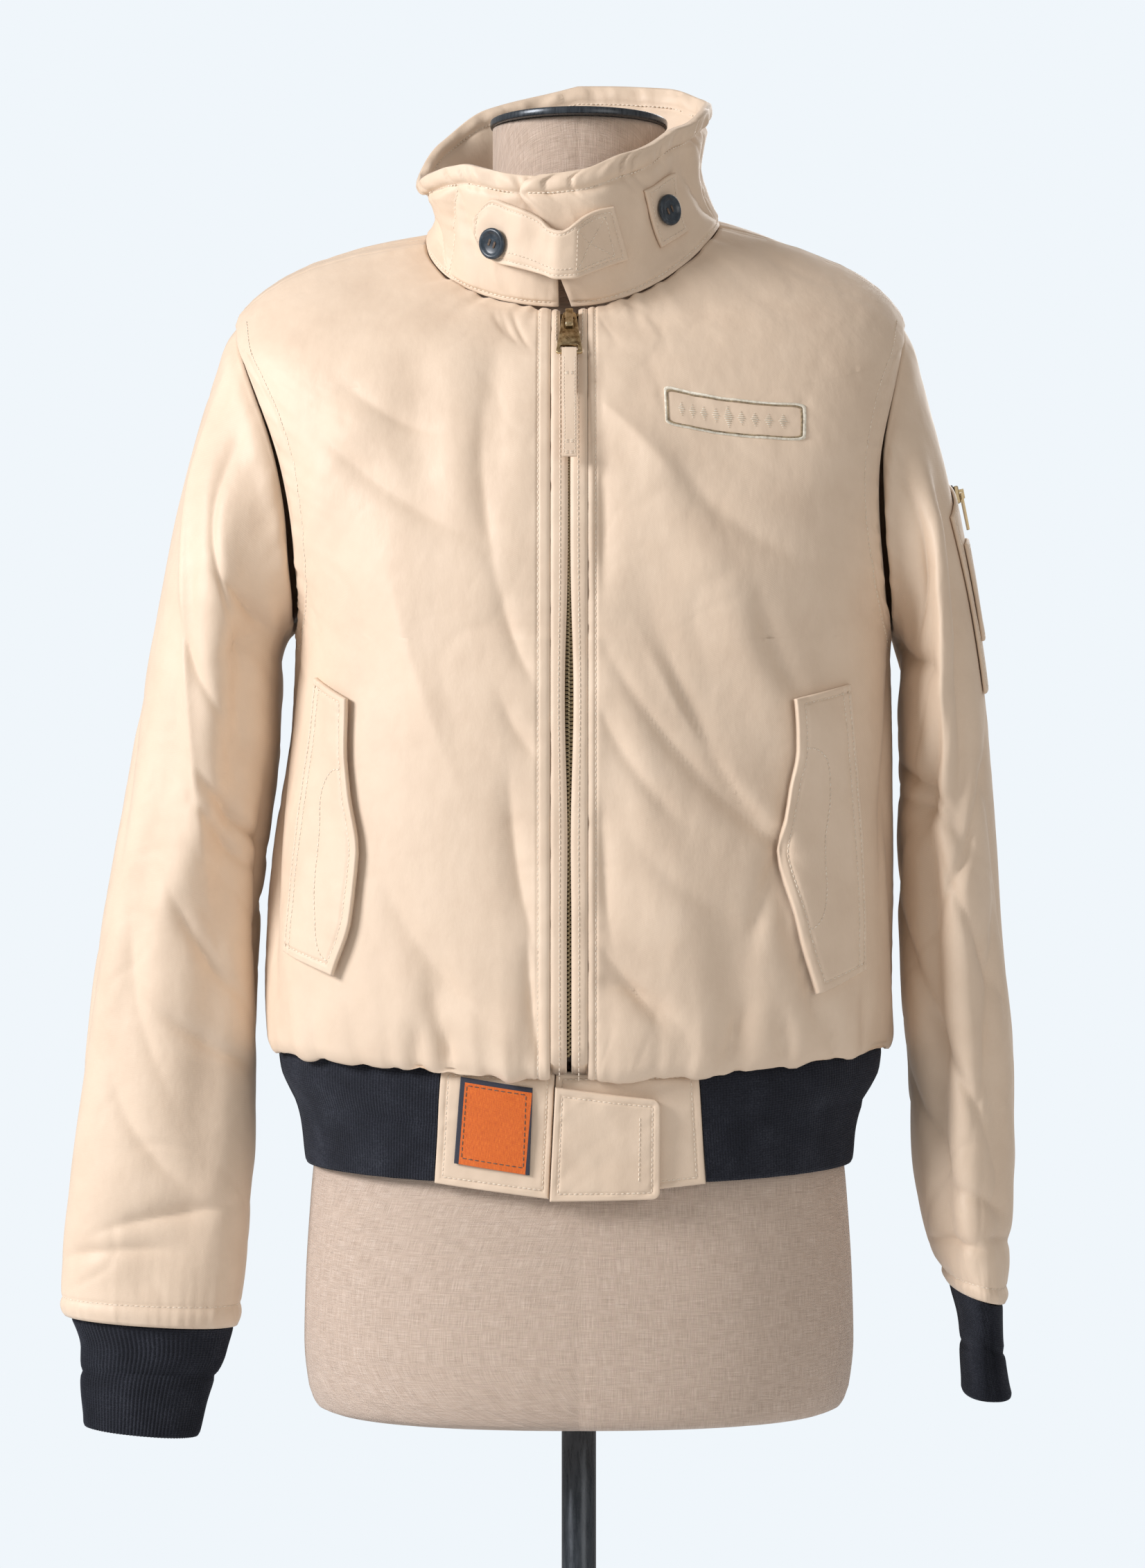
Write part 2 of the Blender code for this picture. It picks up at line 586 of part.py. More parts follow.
def add_boolean(item, other, operation):
    """Joins or cuts with another object, which is left out of the build."""
    modifier = item.modifiers.new(operation.title(), "BOOLEAN")
    modifier.operation = operation
    modifier.object = other
    modifier.solver = "EXACT"
    other.hide_render = True
    other.display_type = "WIRE"


def turned_object(name, profile, sides, material, collection):
    """A profile of (radius, height) pairs from the outer top down to the axis, turned about Z."""
    mesh = bpy.data.meshes.new(name)
    line = [(radius * MM, 0, height * MM) for radius, height in profile]
    mesh.from_pydata(line, [(k, k + 1) for k in range(len(line) - 1)], [])
    item = add_object(name, mesh, material, collection)
    screw = item.modifiers.new("Turned", "SCREW")
    screw.steps = screw.render_steps = sides
    screw.use_merge_vertices = True
    screw.merge_threshold = 0.00001
    screw.use_smooth_shade = True
    return item


def frame_at(place, x_axis, z_axis):
    """A matrix in metres at a point in millimetres, from a direction across and one outward."""
    z_axis = Vector(z_axis).normalized()
    y_axis = z_axis.cross(Vector(x_axis)).normalized()
    x_axis = y_axis.cross(z_axis)
    matrix = Matrix((x_axis, y_axis, z_axis)).transposed().to_4x4()
    matrix.translation = Vector(place) * MM
    return matrix


# ---------------------------------------------------------------- the jacket's body
def body_rows():
    """Heights up the side of the panels' grid rows; those round the armhole match the sleeve's points."""
    below = [0, 8, 17, 32, 55, 85, 120, 160, 200, 240]
    share = (1 - np.cos(np.linspace(0, math.pi, ARMHOLE_STEPS + 1))) / 2
    armhole = list(UNDERARM + share * (SHOULDER - UNDERARM))
    above = [497, 525, 553, 580, NECK]
    return np.array(below + armhole + above, float)


def side_turns(rows, side, face):
    """Angles of a panel's outer edge: side seam, armhole, then shoulder seam."""
    turns = []
    for up in rows:
        seam = SIDE_SIGN[side] * (math.pi / 2 - face * SEAM_GAP / 2 / float(BODY.read(side, up)))
        share = (up - UNDERARM) / (SHOULDER - UNDERARM)
        if share <= 0 or share >= 1:
            turns.append(seam)
        else:
            turns.append(float(armhole_turn(share, side, face)))
    return np.array(turns)


def panel_wall(name, rows, first_turns, last_turns, columns, material, collection):
    """A body panel between two edges, each an angle for each row."""
    share = np.linspace(0, 1, columns)[None, :]
    turn = first_turns[:, None] * (1 - share) + last_turns[:, None] * share
    up = np.repeat(rows[:, None], columns, axis=1)
    return wall(name, body(turn, up), body(turn, up, -BODY_WALL), material, collection)


def front_panels(material, collection):
    rows = body_rows()
    for side in ("right", "left"):
        sign = SIDE_SIGN[side]
        edge_x = ZIP_X + sign * (STRIP_OUTER + SEAM_GAP)
        centre = np.array([turn_at_x(edge_x, up) for up in rows])
        outside = side_turns(rows, side, +1)
        panel_wall(f"front_{side}", rows, centre, outside, FRONT_COLUMNS, material, collection)


def back_panel(material, collection):
    rows = body_rows()
    left = side_turns(rows, "left", -1)
    right = 2 * math.pi + side_turns(rows, "right", -1)
    panel_wall("back", rows, left, right, BACK_COLUMNS, material, collection)


def sleeve_wall(side, material, collection):
    """The sleeve's first ring matches the armhole's points, and its last rings roll in over the cuff."""
    turn = np.linspace(0, 2 * math.pi, 2 * ARMHOLE_STEPS, endpoint=False)[None, :]
    turn, down = np.broadcast_arrays(turn, np.array(SLEEVE_RINGS, float)[:, None])
    outer = sleeve(side, turn, down)
    inner = sleeve(side, turn, down, -SLEEVE_WALL)
    wall(f"sleeve_{side}", outer, inner, material, collection, around=True)


def cuff_wall(side, material, collection):
    """A ribbed knit cuff: the ribs stand out of its outer points and the inside is plain."""
    table = CUFFS[side]

    def surface(turn, down):
        return sleeve_oval(table, side, np.asarray(turn, float), np.asarray(down, float))

    down = table.keys[:, None]
    turn = np.linspace(0, 2 * math.pi, 2 * CUFF_RIBS, endpoint=False)[None, :]
    turn, deep = np.broadcast_arrays(turn, down)
    ribs = np.where(np.arange(2 * CUFF_RIBS) % 2 == 0, 0.0, -RIB_HEIGHT)[None, :] * np.ones_like(deep)
    outer = moved_out(surface, turn, deep, ribs * SIDE_SIGN[side])
    inner_turn = np.linspace(0, 2 * math.pi, CUFF_INNER_SIDES, endpoint=False)[None, :]
    inner_turn, deep = np.broadcast_arrays(inner_turn, down)
    inner = moved_out(surface, inner_turn, deep, -(CUFF_WALL + RIB_HEIGHT) * SIDE_SIGN[side])
    wall(f"cuff_{side}", outer, inner, material, collection, around=True)


# ---------------------------------------------------------------- collar
def collar_wall(material, collection):
    """Quilted in a zigzag between the neck seam and the rolled edge's stitching."""
    shares = np.array([0.0, 0.1, 0.3, 0.5, 0.7, COLLAR_STITCH, 0.9, 0.955, 1.0])
    columns = QUILT_CELLS * QUILT_CELL_COLUMNS + 1
    left = np.radians(COLLAR_ENDS.read("left_end", shares))[:, None]
    right = np.radians(360 + COLLAR_ENDS.read("right_end", shares))[:, None]
    turn = left + (right - left) * np.linspace(0, 1, columns)[None, :]
    share = np.repeat(shares[:, None], columns, axis=1)
    puff = np.zeros_like(turn)
    puff[3, 2::QUILT_CELL_COLUMNS] = QUILT_PUFF
    puff[3, 4:-1:QUILT_CELL_COLUMNS] = QUILT_PUFF
    puff[6:8, :] = ROLL_PUFF
    degrees = (np.degrees(turn) + 180) % 360 - 180
    under_trims = (degrees > -50) & (degrees < 66) & (share < COLLAR_STITCH)
    puff = np.where(under_trims, 0.0, puff)
    outer, inner = collar(turn, share, puff), collar(turn, share, -COLLAR_WALL)
    onto_chords = neck_line(turn[0]) + points(0, 0, SEAM_GAP + COLLAR_SEAT) - outer[0]
    outer[0] += onto_chords
    inner[0] += onto_chords
    inner = inner[::2, ::2]
    wall("collar", outer, inner, material, collection)


def neck_line(turn):
    """The neck edge of the three body panels, along the chords between their columns."""
    columns = body_columns()
    columns = np.concatenate([columns[:-1] - 2 * math.pi, columns])
    edge = body_plain(columns, NECK)
    turn = np.where(turn > columns[-1], turn - 2 * math.pi, turn)
    return np.stack([np.interp(turn, columns, edge[:, axis]) for axis in range(3)], axis=-1)


# The throat latch crosses the opening. Each row is one line across it, on the collar: the angle and the share
# of the height of its upper and lower edge, and how far they stand off. The first rows lie on the right end.
LATCH_COLUMNS = ("along", "top_turn", "top_share", "low_turn", "low_share", "lift")
LATCH_ROWS = (
    (0, 314.0, 0.60, 314.0, 0.52, 1.4),
    (1, 325.0, 0.79, 316.0, 0.38, 1.4),
    (2, 332.0, 0.77, 323.5, 0.31, 2.2),
    (3, -21.0, 0.73, -27.5, 0.29, 1.6),
    (4, -14.5, 0.67, -20.0, 0.27, 3.5),
    (5, -10.5, 0.60, -14.0, 0.25, 6.5),
    (6, -6.5, 0.58, -9.0, 0.23, 9.5),
    (7, -2.0, 0.63, -3.0, 0.23, 9.0),
    (8, 1.0, 0.67, 2.5, 0.25, 4.5),
    (9, 6.5, 0.70, 12.5, 0.28, 1.6),
    (10, 13.5, 0.69, 22.5, 0.28, 1.4),
)
LATCH_WALL = 2.6
# The corners of the square patch that holds the spare button, as angle and share of the collar's height.
PATCH_CORNERS = (((43.5, 0.21), (29.0, 0.72)), ((61.0, 0.18), (54.5, 0.68)))
PATCH_SEAT, PATCH_WALL = 1.2, 1.8


def latch(along, across, out=0.0):
    """The throat latch, where across runs from 0 at its lower edge to 1 at its upper."""
    rows = [dict(zip(LATCH_COLUMNS, row)) for row in LATCH_ROWS]
    keys = np.array([row["along"] for row in rows], float)
    top, low = (
        np.array([collar(math.radians(r[f"{edge}_turn"]), r[f"{edge}_share"], r["lift"]) for r in rows])
        for edge in ("top", "low")
    )

    def plain(a, b):
        a, b = np.broadcast_arrays(np.asarray(a, float), np.asarray(b, float))
        upper, lower = monotone(keys, top, a), monotone(keys, low, a)
        return lower + (upper - lower) * b[..., None]

    return moved_out(plain, along, across, out, step_a=0.05, step_b=0.05)


def patch(along, across, out=0.0):
    """The button's patch, on the collar between its four corners."""
    corners = np.array(PATCH_CORNERS)

    def place(a, b):
        a, b = np.broadcast_arrays(np.asarray(a, float), np.asarray(b, float))
        a, b = a[..., None], b[..., None]
        first = corners[0, 0] * (1 - b) + corners[0, 1] * b
        second = corners[1, 0] * (1 - b) + corners[1, 1] * b
        spot = first * (1 - a) + second * a
        return collar_plain(np.radians(spot[..., 0]), spot[..., 1])

    return moved_out(place, along, across, out, step_a=0.05, step_b=0.05)


def collar_trims(cloth, button_material, collection):
    stations = np.array([row[0] for row in LATCH_ROWS], float)
    along, across = np.meshgrid(stations, np.linspace(0, 1, 4), indexing="ij")
    wall("throat_latch", latch(along, across, LATCH_WALL), latch(along, across), cloth, collection)
    along, across = np.meshgrid(np.linspace(0, 1, 5), np.linspace(0, 1, 4), indexing="ij")
    outer, inner = patch(along, across, PATCH_SEAT + PATCH_WALL), patch(along, across, PATCH_SEAT)
    wall("button_patch", outer, inner, cloth, collection)
    button("button_latch", latch, 1.75, 0.30, LATCH_WALL + 0.7, button_material, collection)
    button("button_spare", patch, 0.5, 0.5, PATCH_SEAT + PATCH_WALL + 1.1, button_material, collection)


BUTTON_RADIUS, BUTTON_THICK = 9.6, 3.6
BUTTON_HOLE, BUTTON_HOLE_AT = 1.0, 2.0


def button(name, surface, along, across, lift, material, collection):
    """A four-hole button with a raised rim, on a piece's surface."""
    place = surface(along, across, lift)
    out = surface(along, across, lift + 1) - place
    sideways = surface(along + 0.1, across, lift) - surface(along - 0.1, across, lift)
    r, t = BUTTON_RADIUS, BUTTON_THICK
    profile = [(0, t - 1.4), (r - 3.4, t - 1.4), (r - 2.4, t - 0.2), (r - 1.6, t)]
    profile += [(r - 0.4, t - 0.5), (r, t - 1.6), (r - 1.6, 0), (0, 0)]
    item = turned_object(name, profile, 20, material, collection)
    item.matrix_world = frame_at(place, sideways, out)
    cutter_mesh = bpy.data.meshes.new(name + "_holes")
    work = bmesh.new()
    hole, through = BUTTON_HOLE * MM, 3 * t * MM
    for x in (-BUTTON_HOLE_AT, BUTTON_HOLE_AT):
        for y in (-BUTTON_HOLE_AT, BUTTON_HOLE_AT):
            at = Matrix.Translation(Vector((x, y, t / 2)) * MM)
            bmesh.ops.create_cone(
                work, cap_ends=True, segments=6, radius1=hole, radius2=hole, depth=through, matrix=at
            )
    work.to_mesh(cutter_mesh)
    work.free()
    cutter = bpy.data.objects.new(name + "_holes", cutter_mesh)
    CUTTERS.objects.link(cutter)
    cutter.matrix_world = item.matrix_world
    add_boolean(item, cutter, "DIFFERENCE")


# ---------------------------------------------------------------- waist
def waist_strip(name, first, last, columns, drops, place, material, collection, rows=None):
    """Part of the waistband between two functions that give the angle at each row. The drops lower the
    corners, and the place is how far out the outer face lies and how thick the strip is."""
    down = WAIST.keys if rows is None else np.array(rows, float)
    first, last = np.array([first(d) for d in down]), np.array([last(d) for d in down])
    turn = first[:, None] + (last - first)[:, None] * np.linspace(0, 1, columns)[None, :]
    deep = np.repeat(down[:, None], columns, axis=1)
    (top_first, top_last), (low_first, low_last) = drops
    across, share = (turn - turn[:, :1]) / (turn[:, -1:] - turn[:, :1]), deep / WAIST.keys[-1]
    top, low = top_first + (top_last - top_first) * across, low_first + (low_last - low_first) * across
    lowered = points(0, 0, -top * (1 - share) - low * share)
    out, thick = place
    outer = waist(turn, deep, out) + lowered
    inner = waist(turn, deep, out - thick) + lowered
    return wall(name, outer, inner, material, collection)


def waistband(cloth, knit, woven, collection):
    """The knit runs round the back between two cloth panels; a tab from the right one laps the left one."""
    length = WAIST.keys[-1]

    def edge(top_x, bottom_x):
        return lambda down: turn_at_x(top_x + (bottom_x - top_x) * down / length, down, WAIST)

    gap = SEAM_GAP + 0.3
    (right_top, right_bottom), (left_top, left_bottom) = WAIST_PANEL_RIGHT_X, WAIST_PANEL_LEFT_X
    meet_top, meet_bottom = WAIST_MEET_X
    beside_left = edge(left_top + gap, left_bottom + gap)
    beside_right = edge(right_top - gap, right_bottom - gap)
    knit_band(beside_left, beside_right, knit, collection)
    meet = edge(meet_top, meet_bottom)
    start = edge(meet_top + gap, meet_bottom + gap)
    right, left = edge(right_top, right_bottom), edge(left_top, left_bottom)
    waist_strip("waist_panel_right", right, meet, 8, ((0, 0), (1, 8.5)), (0.7, BODY_WALL), cloth, collection)
    waist_strip("waist_panel_left", start, left, 8, ((0, 0), (8.5, 1)), (0.0, BODY_WALL), cloth, collection)

    def tab_end(down):
        corner = TAB_CORNER if down in (TAB_ROWS[0], TAB_ROWS[-1]) else 0.0
        return turn_at_x(TAB_END_X - corner, down, WAIST)

    drops = ((0, 9.5), (9.5, 8.5))
    place = (TAB_LIFT + TAB_WALL, TAB_WALL)
    waist_strip("waist_tab", start, tab_end, 8, drops, place, cloth, collection, TAB_ROWS)
    label_right, label_left = edge(*LABEL_RIGHT_X), edge(*LABEL_LEFT_X)
    drops = ((0, 5), (0, 6))
    place = (LABEL_OUT, LABEL_WALL)
    waist_strip("front_label", label_right, label_left, 6, drops, place, woven, collection, LABEL_ROWS)


def body_columns():
    """Angles of the body panels' columns, from the centre front round by the wearer's left."""
    fronts = np.linspace(0, math.pi / 2, FRONT_COLUMNS)
    backs = np.linspace(math.pi / 2, 3 * math.pi / 2, BACK_COLUMNS)
    return np.concatenate([fronts[:-1], backs, 2 * math.pi - fronts[:-1][::-1]])


def knit_band(first, last, material, collection):
    """The knit's columns lie at the same angles as the body's, so that both follow the same chords."""
    rows = WAIST.keys
    columns = body_columns()[4:-4]
    turn = np.array([[first(d), *columns, 2 * math.pi + last(d)] for d in rows])
    deep = np.repeat(rows[:, None], turn.shape[1], axis=1)
    wall("waistband_knit", waist(turn, deep), waist(turn, deep, -RIB_WALL), material, collection)


# ---------------------------------------------------------------- zip
def zip_line(rows, x_of, out):
    """Points on the centre front, where x_of gives the place across at each row."""
    return np.array([body(turn_at_x(x_of(up), up), up, out) for up in rows])


SLIDER_UP = 572.0  # up the side; the slider sits just under the neck seam


def strip_gap(up):
    """Half the opening between the two zip strips: wide at the slider, slack in the middle and below."""
    top = 4.9 * smoothstep((up - SLIDER_UP + 62) / 34)
    slack = 1.9 * math.exp(-(((up - 239) / 60) ** 2))
    below = 0.7 * smoothstep((160 - up) / 60)
    return STRIP_INNER + top + slack + below


def zip_strips(cloth, tape_material, collection):
    straight = np.linspace(46, SLIDER_UP - 62, 14)
    rows = np.concatenate([[3, 20], straight, np.linspace(SLIDER_UP - 44, NECK - 2, 7)])
    for side in ("right", "left"):
        sign = SIDE_SIGN[side]
        edges = (lambda up: ZIP_X + sign * strip_gap(up), lambda up: ZIP_X + sign * STRIP_OUTER)
        outer = np.stack([zip_line(rows, edge, 0.0) for edge in edges], axis=1)
        inner = np.stack([zip_line(rows, edge, -BODY_WALL) for edge in edges], axis=1)
        middle = [(outer[:, :1] + outer[:, 1:]) / 2, (inner[:, :1] + inner[:, 1:]) / 2]
        outer = np.concatenate([outer[:, :1], middle[0], outer[:, 1:]], axis=1)
        inner = np.concatenate([inner[:, :1], middle[1], inner[:, 1:]], axis=1)
        wall(f"zip_strip_{side}", outer, inner, cloth, collection)
    rows = rows[1:]
    edges = [lambda up, x=x: ZIP_X + x for x in (-TAPE_HALF, 0, TAPE_HALF)]
    outer = np.stack([zip_line(rows, edge, -BODY_WALL - TAPE_CLEAR) for edge in edges], axis=1)
    inner = np.stack([zip_line(rows, edge, -BODY_WALL - TAPE_CLEAR - 1.5) for edge in edges], axis=1)
    wall("zip_tape", outer, inner, tape_material, collection)


# The slider and its pull, in the slider's own frame: x across, y up along the zip, z out of the cloth.
SLIDER_SIZE = (9.6, 17.0, 4.2)
BRIDGE_WIDTH, BRIDGE_LENGTH, BRIDGE_THICK, BRIDGE_CLEAR = 4.6, 15.0, 1.8, 2.8
PULL_AXLE_Y, PULL_AXLE = 1.0, 4.2 + 1.5  # where the pull's top bar turns, up the zip and over the tape
PULL_OUTLINE = ((-4.6, 0.4), (4.6, 0.4), (5.2, -6.6), (8.2, -30.6), (-8.2, -30.6), (-5.2, -6.6))
PULL_THICK = 1.7
PULL_WINDOWS = ((0, -5.5, 6.2, 10.2), (0, -26.2, 10.6, 4.6))  # centre x, y, width, height
STRAP_WIDTH, STRAP_THICK, STRAP_LENGTH, STRAP_SHORT = 9.0, 1.1, 68.0, 24.0
STRAP_BAR_Y, STRAP_TURN = -29.5, 1.9  # where the strap turns round the pull's lowest bar, and how tightly
STRAP_SLOPE, STRAP_EASE, STRAP_SETTLE = 0.37, 14.0, 1.6


def slider_frame():
    turn = turn_at_x(ZIP_X, SLIDER_UP)
    place = body(turn, SLIDER_UP, -BODY_WALL - TAPE_CLEAR + 0.5)
    up = body(turn, SLIDER_UP + 12) - body(turn, SLIDER_UP - 25)
    across = np.array([1.0, 0, 0])
    return frame_at(place, across, np.cross(across, up))


def local_box(name, size, centre, frame, material, collection, bevel=0.0):
    matrix = frame @ Matrix.Translation(Vector(centre) * MM)
    return cube_object(name, size, matrix, material, collection, bevel)


def outline_object(name, outline, thick, matrix, material, collection):
    """A flat outline, extruded about its plane, as a mesh."""
    curve = bpy.data.curves.new(name, "CURVE")
    curve.dimensions = "2D"
    curve.fill_mode = "BOTH"
    curve.extrude = thick / 2 * MM
    spline = curve.splines.new("POLY")
    spline.points.add(len(outline) - 1)
    for point, (x, y) in zip(spline.points, outline):
        point.co = (x * MM, y * MM, 0, 1)
    spline.use_cyclic_u = True
    source = bpy.data.objects.new(name + "_outline", curve)
    collection.objects.link(source)
    bpy.context.view_layer.update()
    mesh = bpy.data.meshes.new_from_object(source.evaluated_get(bpy.context.evaluated_depsgraph_get()))
    mesh.materials.clear()
    work = bmesh.new()
    work.from_mesh(mesh)
    bmesh.ops.remove_doubles(work, verts=work.verts, dist=0.01 * MM)
    bmesh.ops.recalc_face_normals(work, faces=work.faces)
    work.to_mesh(mesh)
    work.free()
    bpy.data.objects.remove(source)
    item = add_object(name, mesh, material, collection)
    item.matrix_world = matrix
    return item


def zip_pull(frame, metal, collection):
    """The slider stays on the tape; the pull turns on its top bar, under the slider's bridge."""
    height = SLIDER_SIZE[2]
    slider = local_box("zip_slider", SLIDER_SIZE, (0, 0, height / 2), frame, metal, collection)
    add_bevel(slider, 0.8)
    top = height + BRIDGE_CLEAR
    half = BRIDGE_LENGTH / 2
    arch = ((-half, height - 1), (-half, top + 0.6), (-half + 1.4, top + BRIDGE_THICK))
    arch += tuple((-y, z) for y, z in arch[::-1])
    foot = half - 2.0
    arch += ((foot, height - 1), (foot, top), (-foot, top), (-foot, height - 1))
    sideways = frame @ Matrix(((0, 0, 1, 0), (1, 0, 0, 0), (0, 1, 0, 0), (0, 0, 0, 1)))
    bridge = outline_object("slider_bridge", arch, BRIDGE_WIDTH, sideways, metal, CUTTERS)
    add_boolean(slider, bridge, "UNION")
    pull_frame = frame @ Matrix.Translation(Vector((0, PULL_AXLE_Y, PULL_AXLE)) * MM)
    pull = outline_object("zip_pull", PULL_OUTLINE, PULL_THICK, pull_frame, metal, collection)
    for number, (x, y, wide, tall) in enumerate(PULL_WINDOWS):
        window = local_box(f"pull_window_{number}", (wide, tall, 6), (x, y, 0), pull_frame, metal, CUTTERS)
        add_boolean(pull, window, "DIFFERENCE")
    return pull_frame


def strap_leg(first_y, last_y, count, offset, settle=0.0):
    """Points down a leg of the strap in the pull's frame, which sinks onto the cloth as it leaves the pull."""
    line = []
    for y in np.linspace(first_y, last_y, count):
        past = STRAP_BAR_Y - y
        sink = STRAP_SLOPE * past**2 / (past + STRAP_EASE)
        line.append((y, offset - sink - settle * float(smoothstep(past / 30))))
    return line


def pull_strap(pull_frame, cloth, collection):
    """A folded cloth strip through the pull's lower window: a long leg in front, a short one behind."""
    inner, outer = STRAP_TURN, STRAP_TURN + STRAP_THICK
    bar_y, long_end, short_end = STRAP_BAR_Y, STRAP_BAR_Y - STRAP_LENGTH, STRAP_BAR_Y - STRAP_SHORT
    arc = [math.radians(a) for a in (90, 45, 0, -45, -90)]
    outline = strap_leg(long_end, bar_y - 6, 8, outer, STRAP_SETTLE)
    outline += [(bar_y + outer * math.cos(a), outer * math.sin(a)) for a in arc]
    outline += strap_leg(bar_y - 6, short_end, 4, -outer)
    outline += strap_leg(short_end, bar_y - 6, 4, -inner)
    outline += [(bar_y + inner * math.cos(a), inner * math.sin(a)) for a in arc[::-1]]
    outline += strap_leg(bar_y - 6, long_end, 8, inner, STRAP_SETTLE)
    sideways = pull_frame @ Matrix(((0, 0, 1, 0), (1, 0, 0, 0), (0, 1, 0, 0), (0, 0, 0, 1)))
    outline_object("pull_strap", outline, STRAP_WIDTH, sideways, cloth, collection)


# ---------------------------------------------------------------- pockets
# A front pocket's flap: share of its length from the bottom, and how far its free edge reaches from the sewn
# edge; "turn" and "up" place the sewn edge on the body, "skew" lifts the free edge.
FLAP_COLUMNS = ("share", "turn", "up", "reach", "skew")
FLAP_RIGHT_ROWS = (
    (0.0, -68.0, 74, 39, -10),
    (0.19, -67.4, 108, 48, -8),
    (0.38, -66.9, 141, 49, -4),
    (0.62, -66.2, 183, 40, -6),
    (0.8, -65.6, 213, 34, -9),
    (1.0, -65.0, 247, 31, -12),
)
FLAP_LEFT_ROWS = (
    (0.0, 64.5, 64, 33.5, -11),
    (0.2, 64.6, 100, 45, -7),
    (0.42, 64.2, 141, 53, -3),
    (0.64, 63.0, 180, 44.5, -3),
    (0.8, 62.0, 209, 38, -5),
    (1.0, 61.0, 244, 37, -8),
)
FLAPS = {"right": Table(FLAP_COLUMNS, FLAP_RIGHT_ROWS), "left": Table(FLAP_COLUMNS, FLAP_LEFT_ROWS)}
FLAP_LIFT, FLAP_SEAT = 3.6, 0.6


def flap(side, share, across, out=0.0):
    """A pocket flap from its sewn edge, across 0, to its free edge, which stands off the body."""
    table = FLAPS[side]
    share, across = np.broadcast_arrays(np.asarray(share, float), np.asarray(across, float))
    reach = np.degrees(table.read("reach", share) * across / BODY_HALF)
    turn = np.radians(table.read("turn", share) - SIDE_SIGN[side] * reach)
    up = table.read("up", share) + table.read("skew", share) * across
    return body(turn, up, out + FLAP_SEAT + FLAP_LIFT * across**2)


def pocket_flap(side, cloth, collection):
    share, across = np.meshgrid(np.linspace(0, 1, 10), np.linspace(0, 1, 6), indexing="ij")
    outer, inner = flap(side, share, across, FLAP_WALL), flap(side, share, across)
    wall(f"pocket_flap_{side}", outer, inner, cloth, collection)


# The pocket on the outer side of the left sleeve: a patch with a slanted top, a pen pocket on its front and a
# zip. Each lies between two angles round the sleeve, from its two top corners down to its bottom.
PATCH_NAMES = ("first", "last", "top_first", "top_last", "bottom", "seat", "thick")
SLEEVE_POCKET = dict(zip(PATCH_NAMES, (-42.0, 36.0, 56.0, 84.0, 202.0, 0.9, 2.0)))
PEN_POCKET = dict(zip(PATCH_NAMES, (1.0, 31.0, 106.0, 106.0, 168.0, 3.3, 2.2)))
SLEEVE_ZIP = dict(zip(PATCH_NAMES, (-12.0, -5.0, 70.0, 70.0, 192.0, 3.3, 1.2)))
SLEEVE_SLIDER = (-8.5, 76.0)  # turn and distance down


def sleeve_patch(name, spec, columns, rows, material, collection):
    share = np.linspace(0, 1, columns)[None, :]
    turn = np.radians(spec["first"] + (spec["last"] - spec["first"]) * share)
    top = spec["top_first"] + (spec["top_last"] - spec["top_first"]) * share
    down = spec["bottom"] + (top - spec["bottom"]) * np.linspace(0, 1, rows)[:, None]
    turn, down = np.broadcast_arrays(turn, down)
    outer = sleeve("left", turn, down, spec["seat"] + spec["thick"])
    wall(name, outer, sleeve("left", turn, down, spec["seat"]), material, collection)


def sleeve_pockets(cloth, metal, tape, collection):
    sleeve_patch("sleeve_pocket", SLEEVE_POCKET, 9, 9, cloth, collection)
    sleeve_patch("pen_pocket", PEN_POCKET, 5, 5, cloth, collection)
    sleeve_patch("sleeve_zip", SLEEVE_ZIP, 2, 9, tape, collection)
    turn, down = math.radians(SLEEVE_SLIDER[0]), SLEEVE_SLIDER[1]
    place = sleeve("left", turn, down, SLEEVE_ZIP["seat"] + SLEEVE_ZIP["thick"] + 0.4)
    out = sleeve("left", turn, down, 6.0) - place
    upward = sleeve("left", turn, down - 8, 5.0) - sleeve("left", turn, down + 8, 5.0)
    frame = frame_at(place, np.cross(upward, out), out)
    item = local_box("sleeve_zip_slider", (6.4, 11.0, 3.0), (0, 0, 1.5), frame, metal, collection)
    add_bevel(item, 0.6)
    ears = local_box("sleeve_slider_ears", (3.0, 6.0, 4.4), (0, 0, 4.0), frame, metal, CUTTERS)
    slot = local_box("sleeve_slider_slot", (6.0, 2.4, 2.4), (0, 0, 4.4), frame, metal, CUTTERS)
    add_boolean(item, ears, "UNION")
    add_boolean(item, slot, "DIFFERENCE")
    pull_frame = frame @ Matrix.Translation(Vector((0, 0, 4.4)) * MM)
    outline = ((-3.4, 0.75), (3.4, 0.75), (3.0, -9.0), (2.4, -23.0), (-2.4, -23.0), (-3.0, -9.0))
    pull = outline_object("sleeve_zip_pull", outline, 1.3, pull_frame, metal, collection)
    window = local_box("sleeve_pull_window", (4.0, 5.2, 5), (0, -3.35, 0), pull_frame, metal, CUTTERS)
    add_boolean(pull, window, "DIFFERENCE")


# ---------------------------------------------------------------- dress form and stand
def form_points(turn, z):
    read = [FORM.read(n, z) for n in ("half", "half", "front", "back", "power")]
    reach, share = ring_section(turn, *read)
    drop = np.where(np.cos(turn) > 0, -FORM.read("dip", z), FORM.read("rise", z)) * share
    return points(reach * np.sin(turn), -reach * np.cos(turn), z + drop)


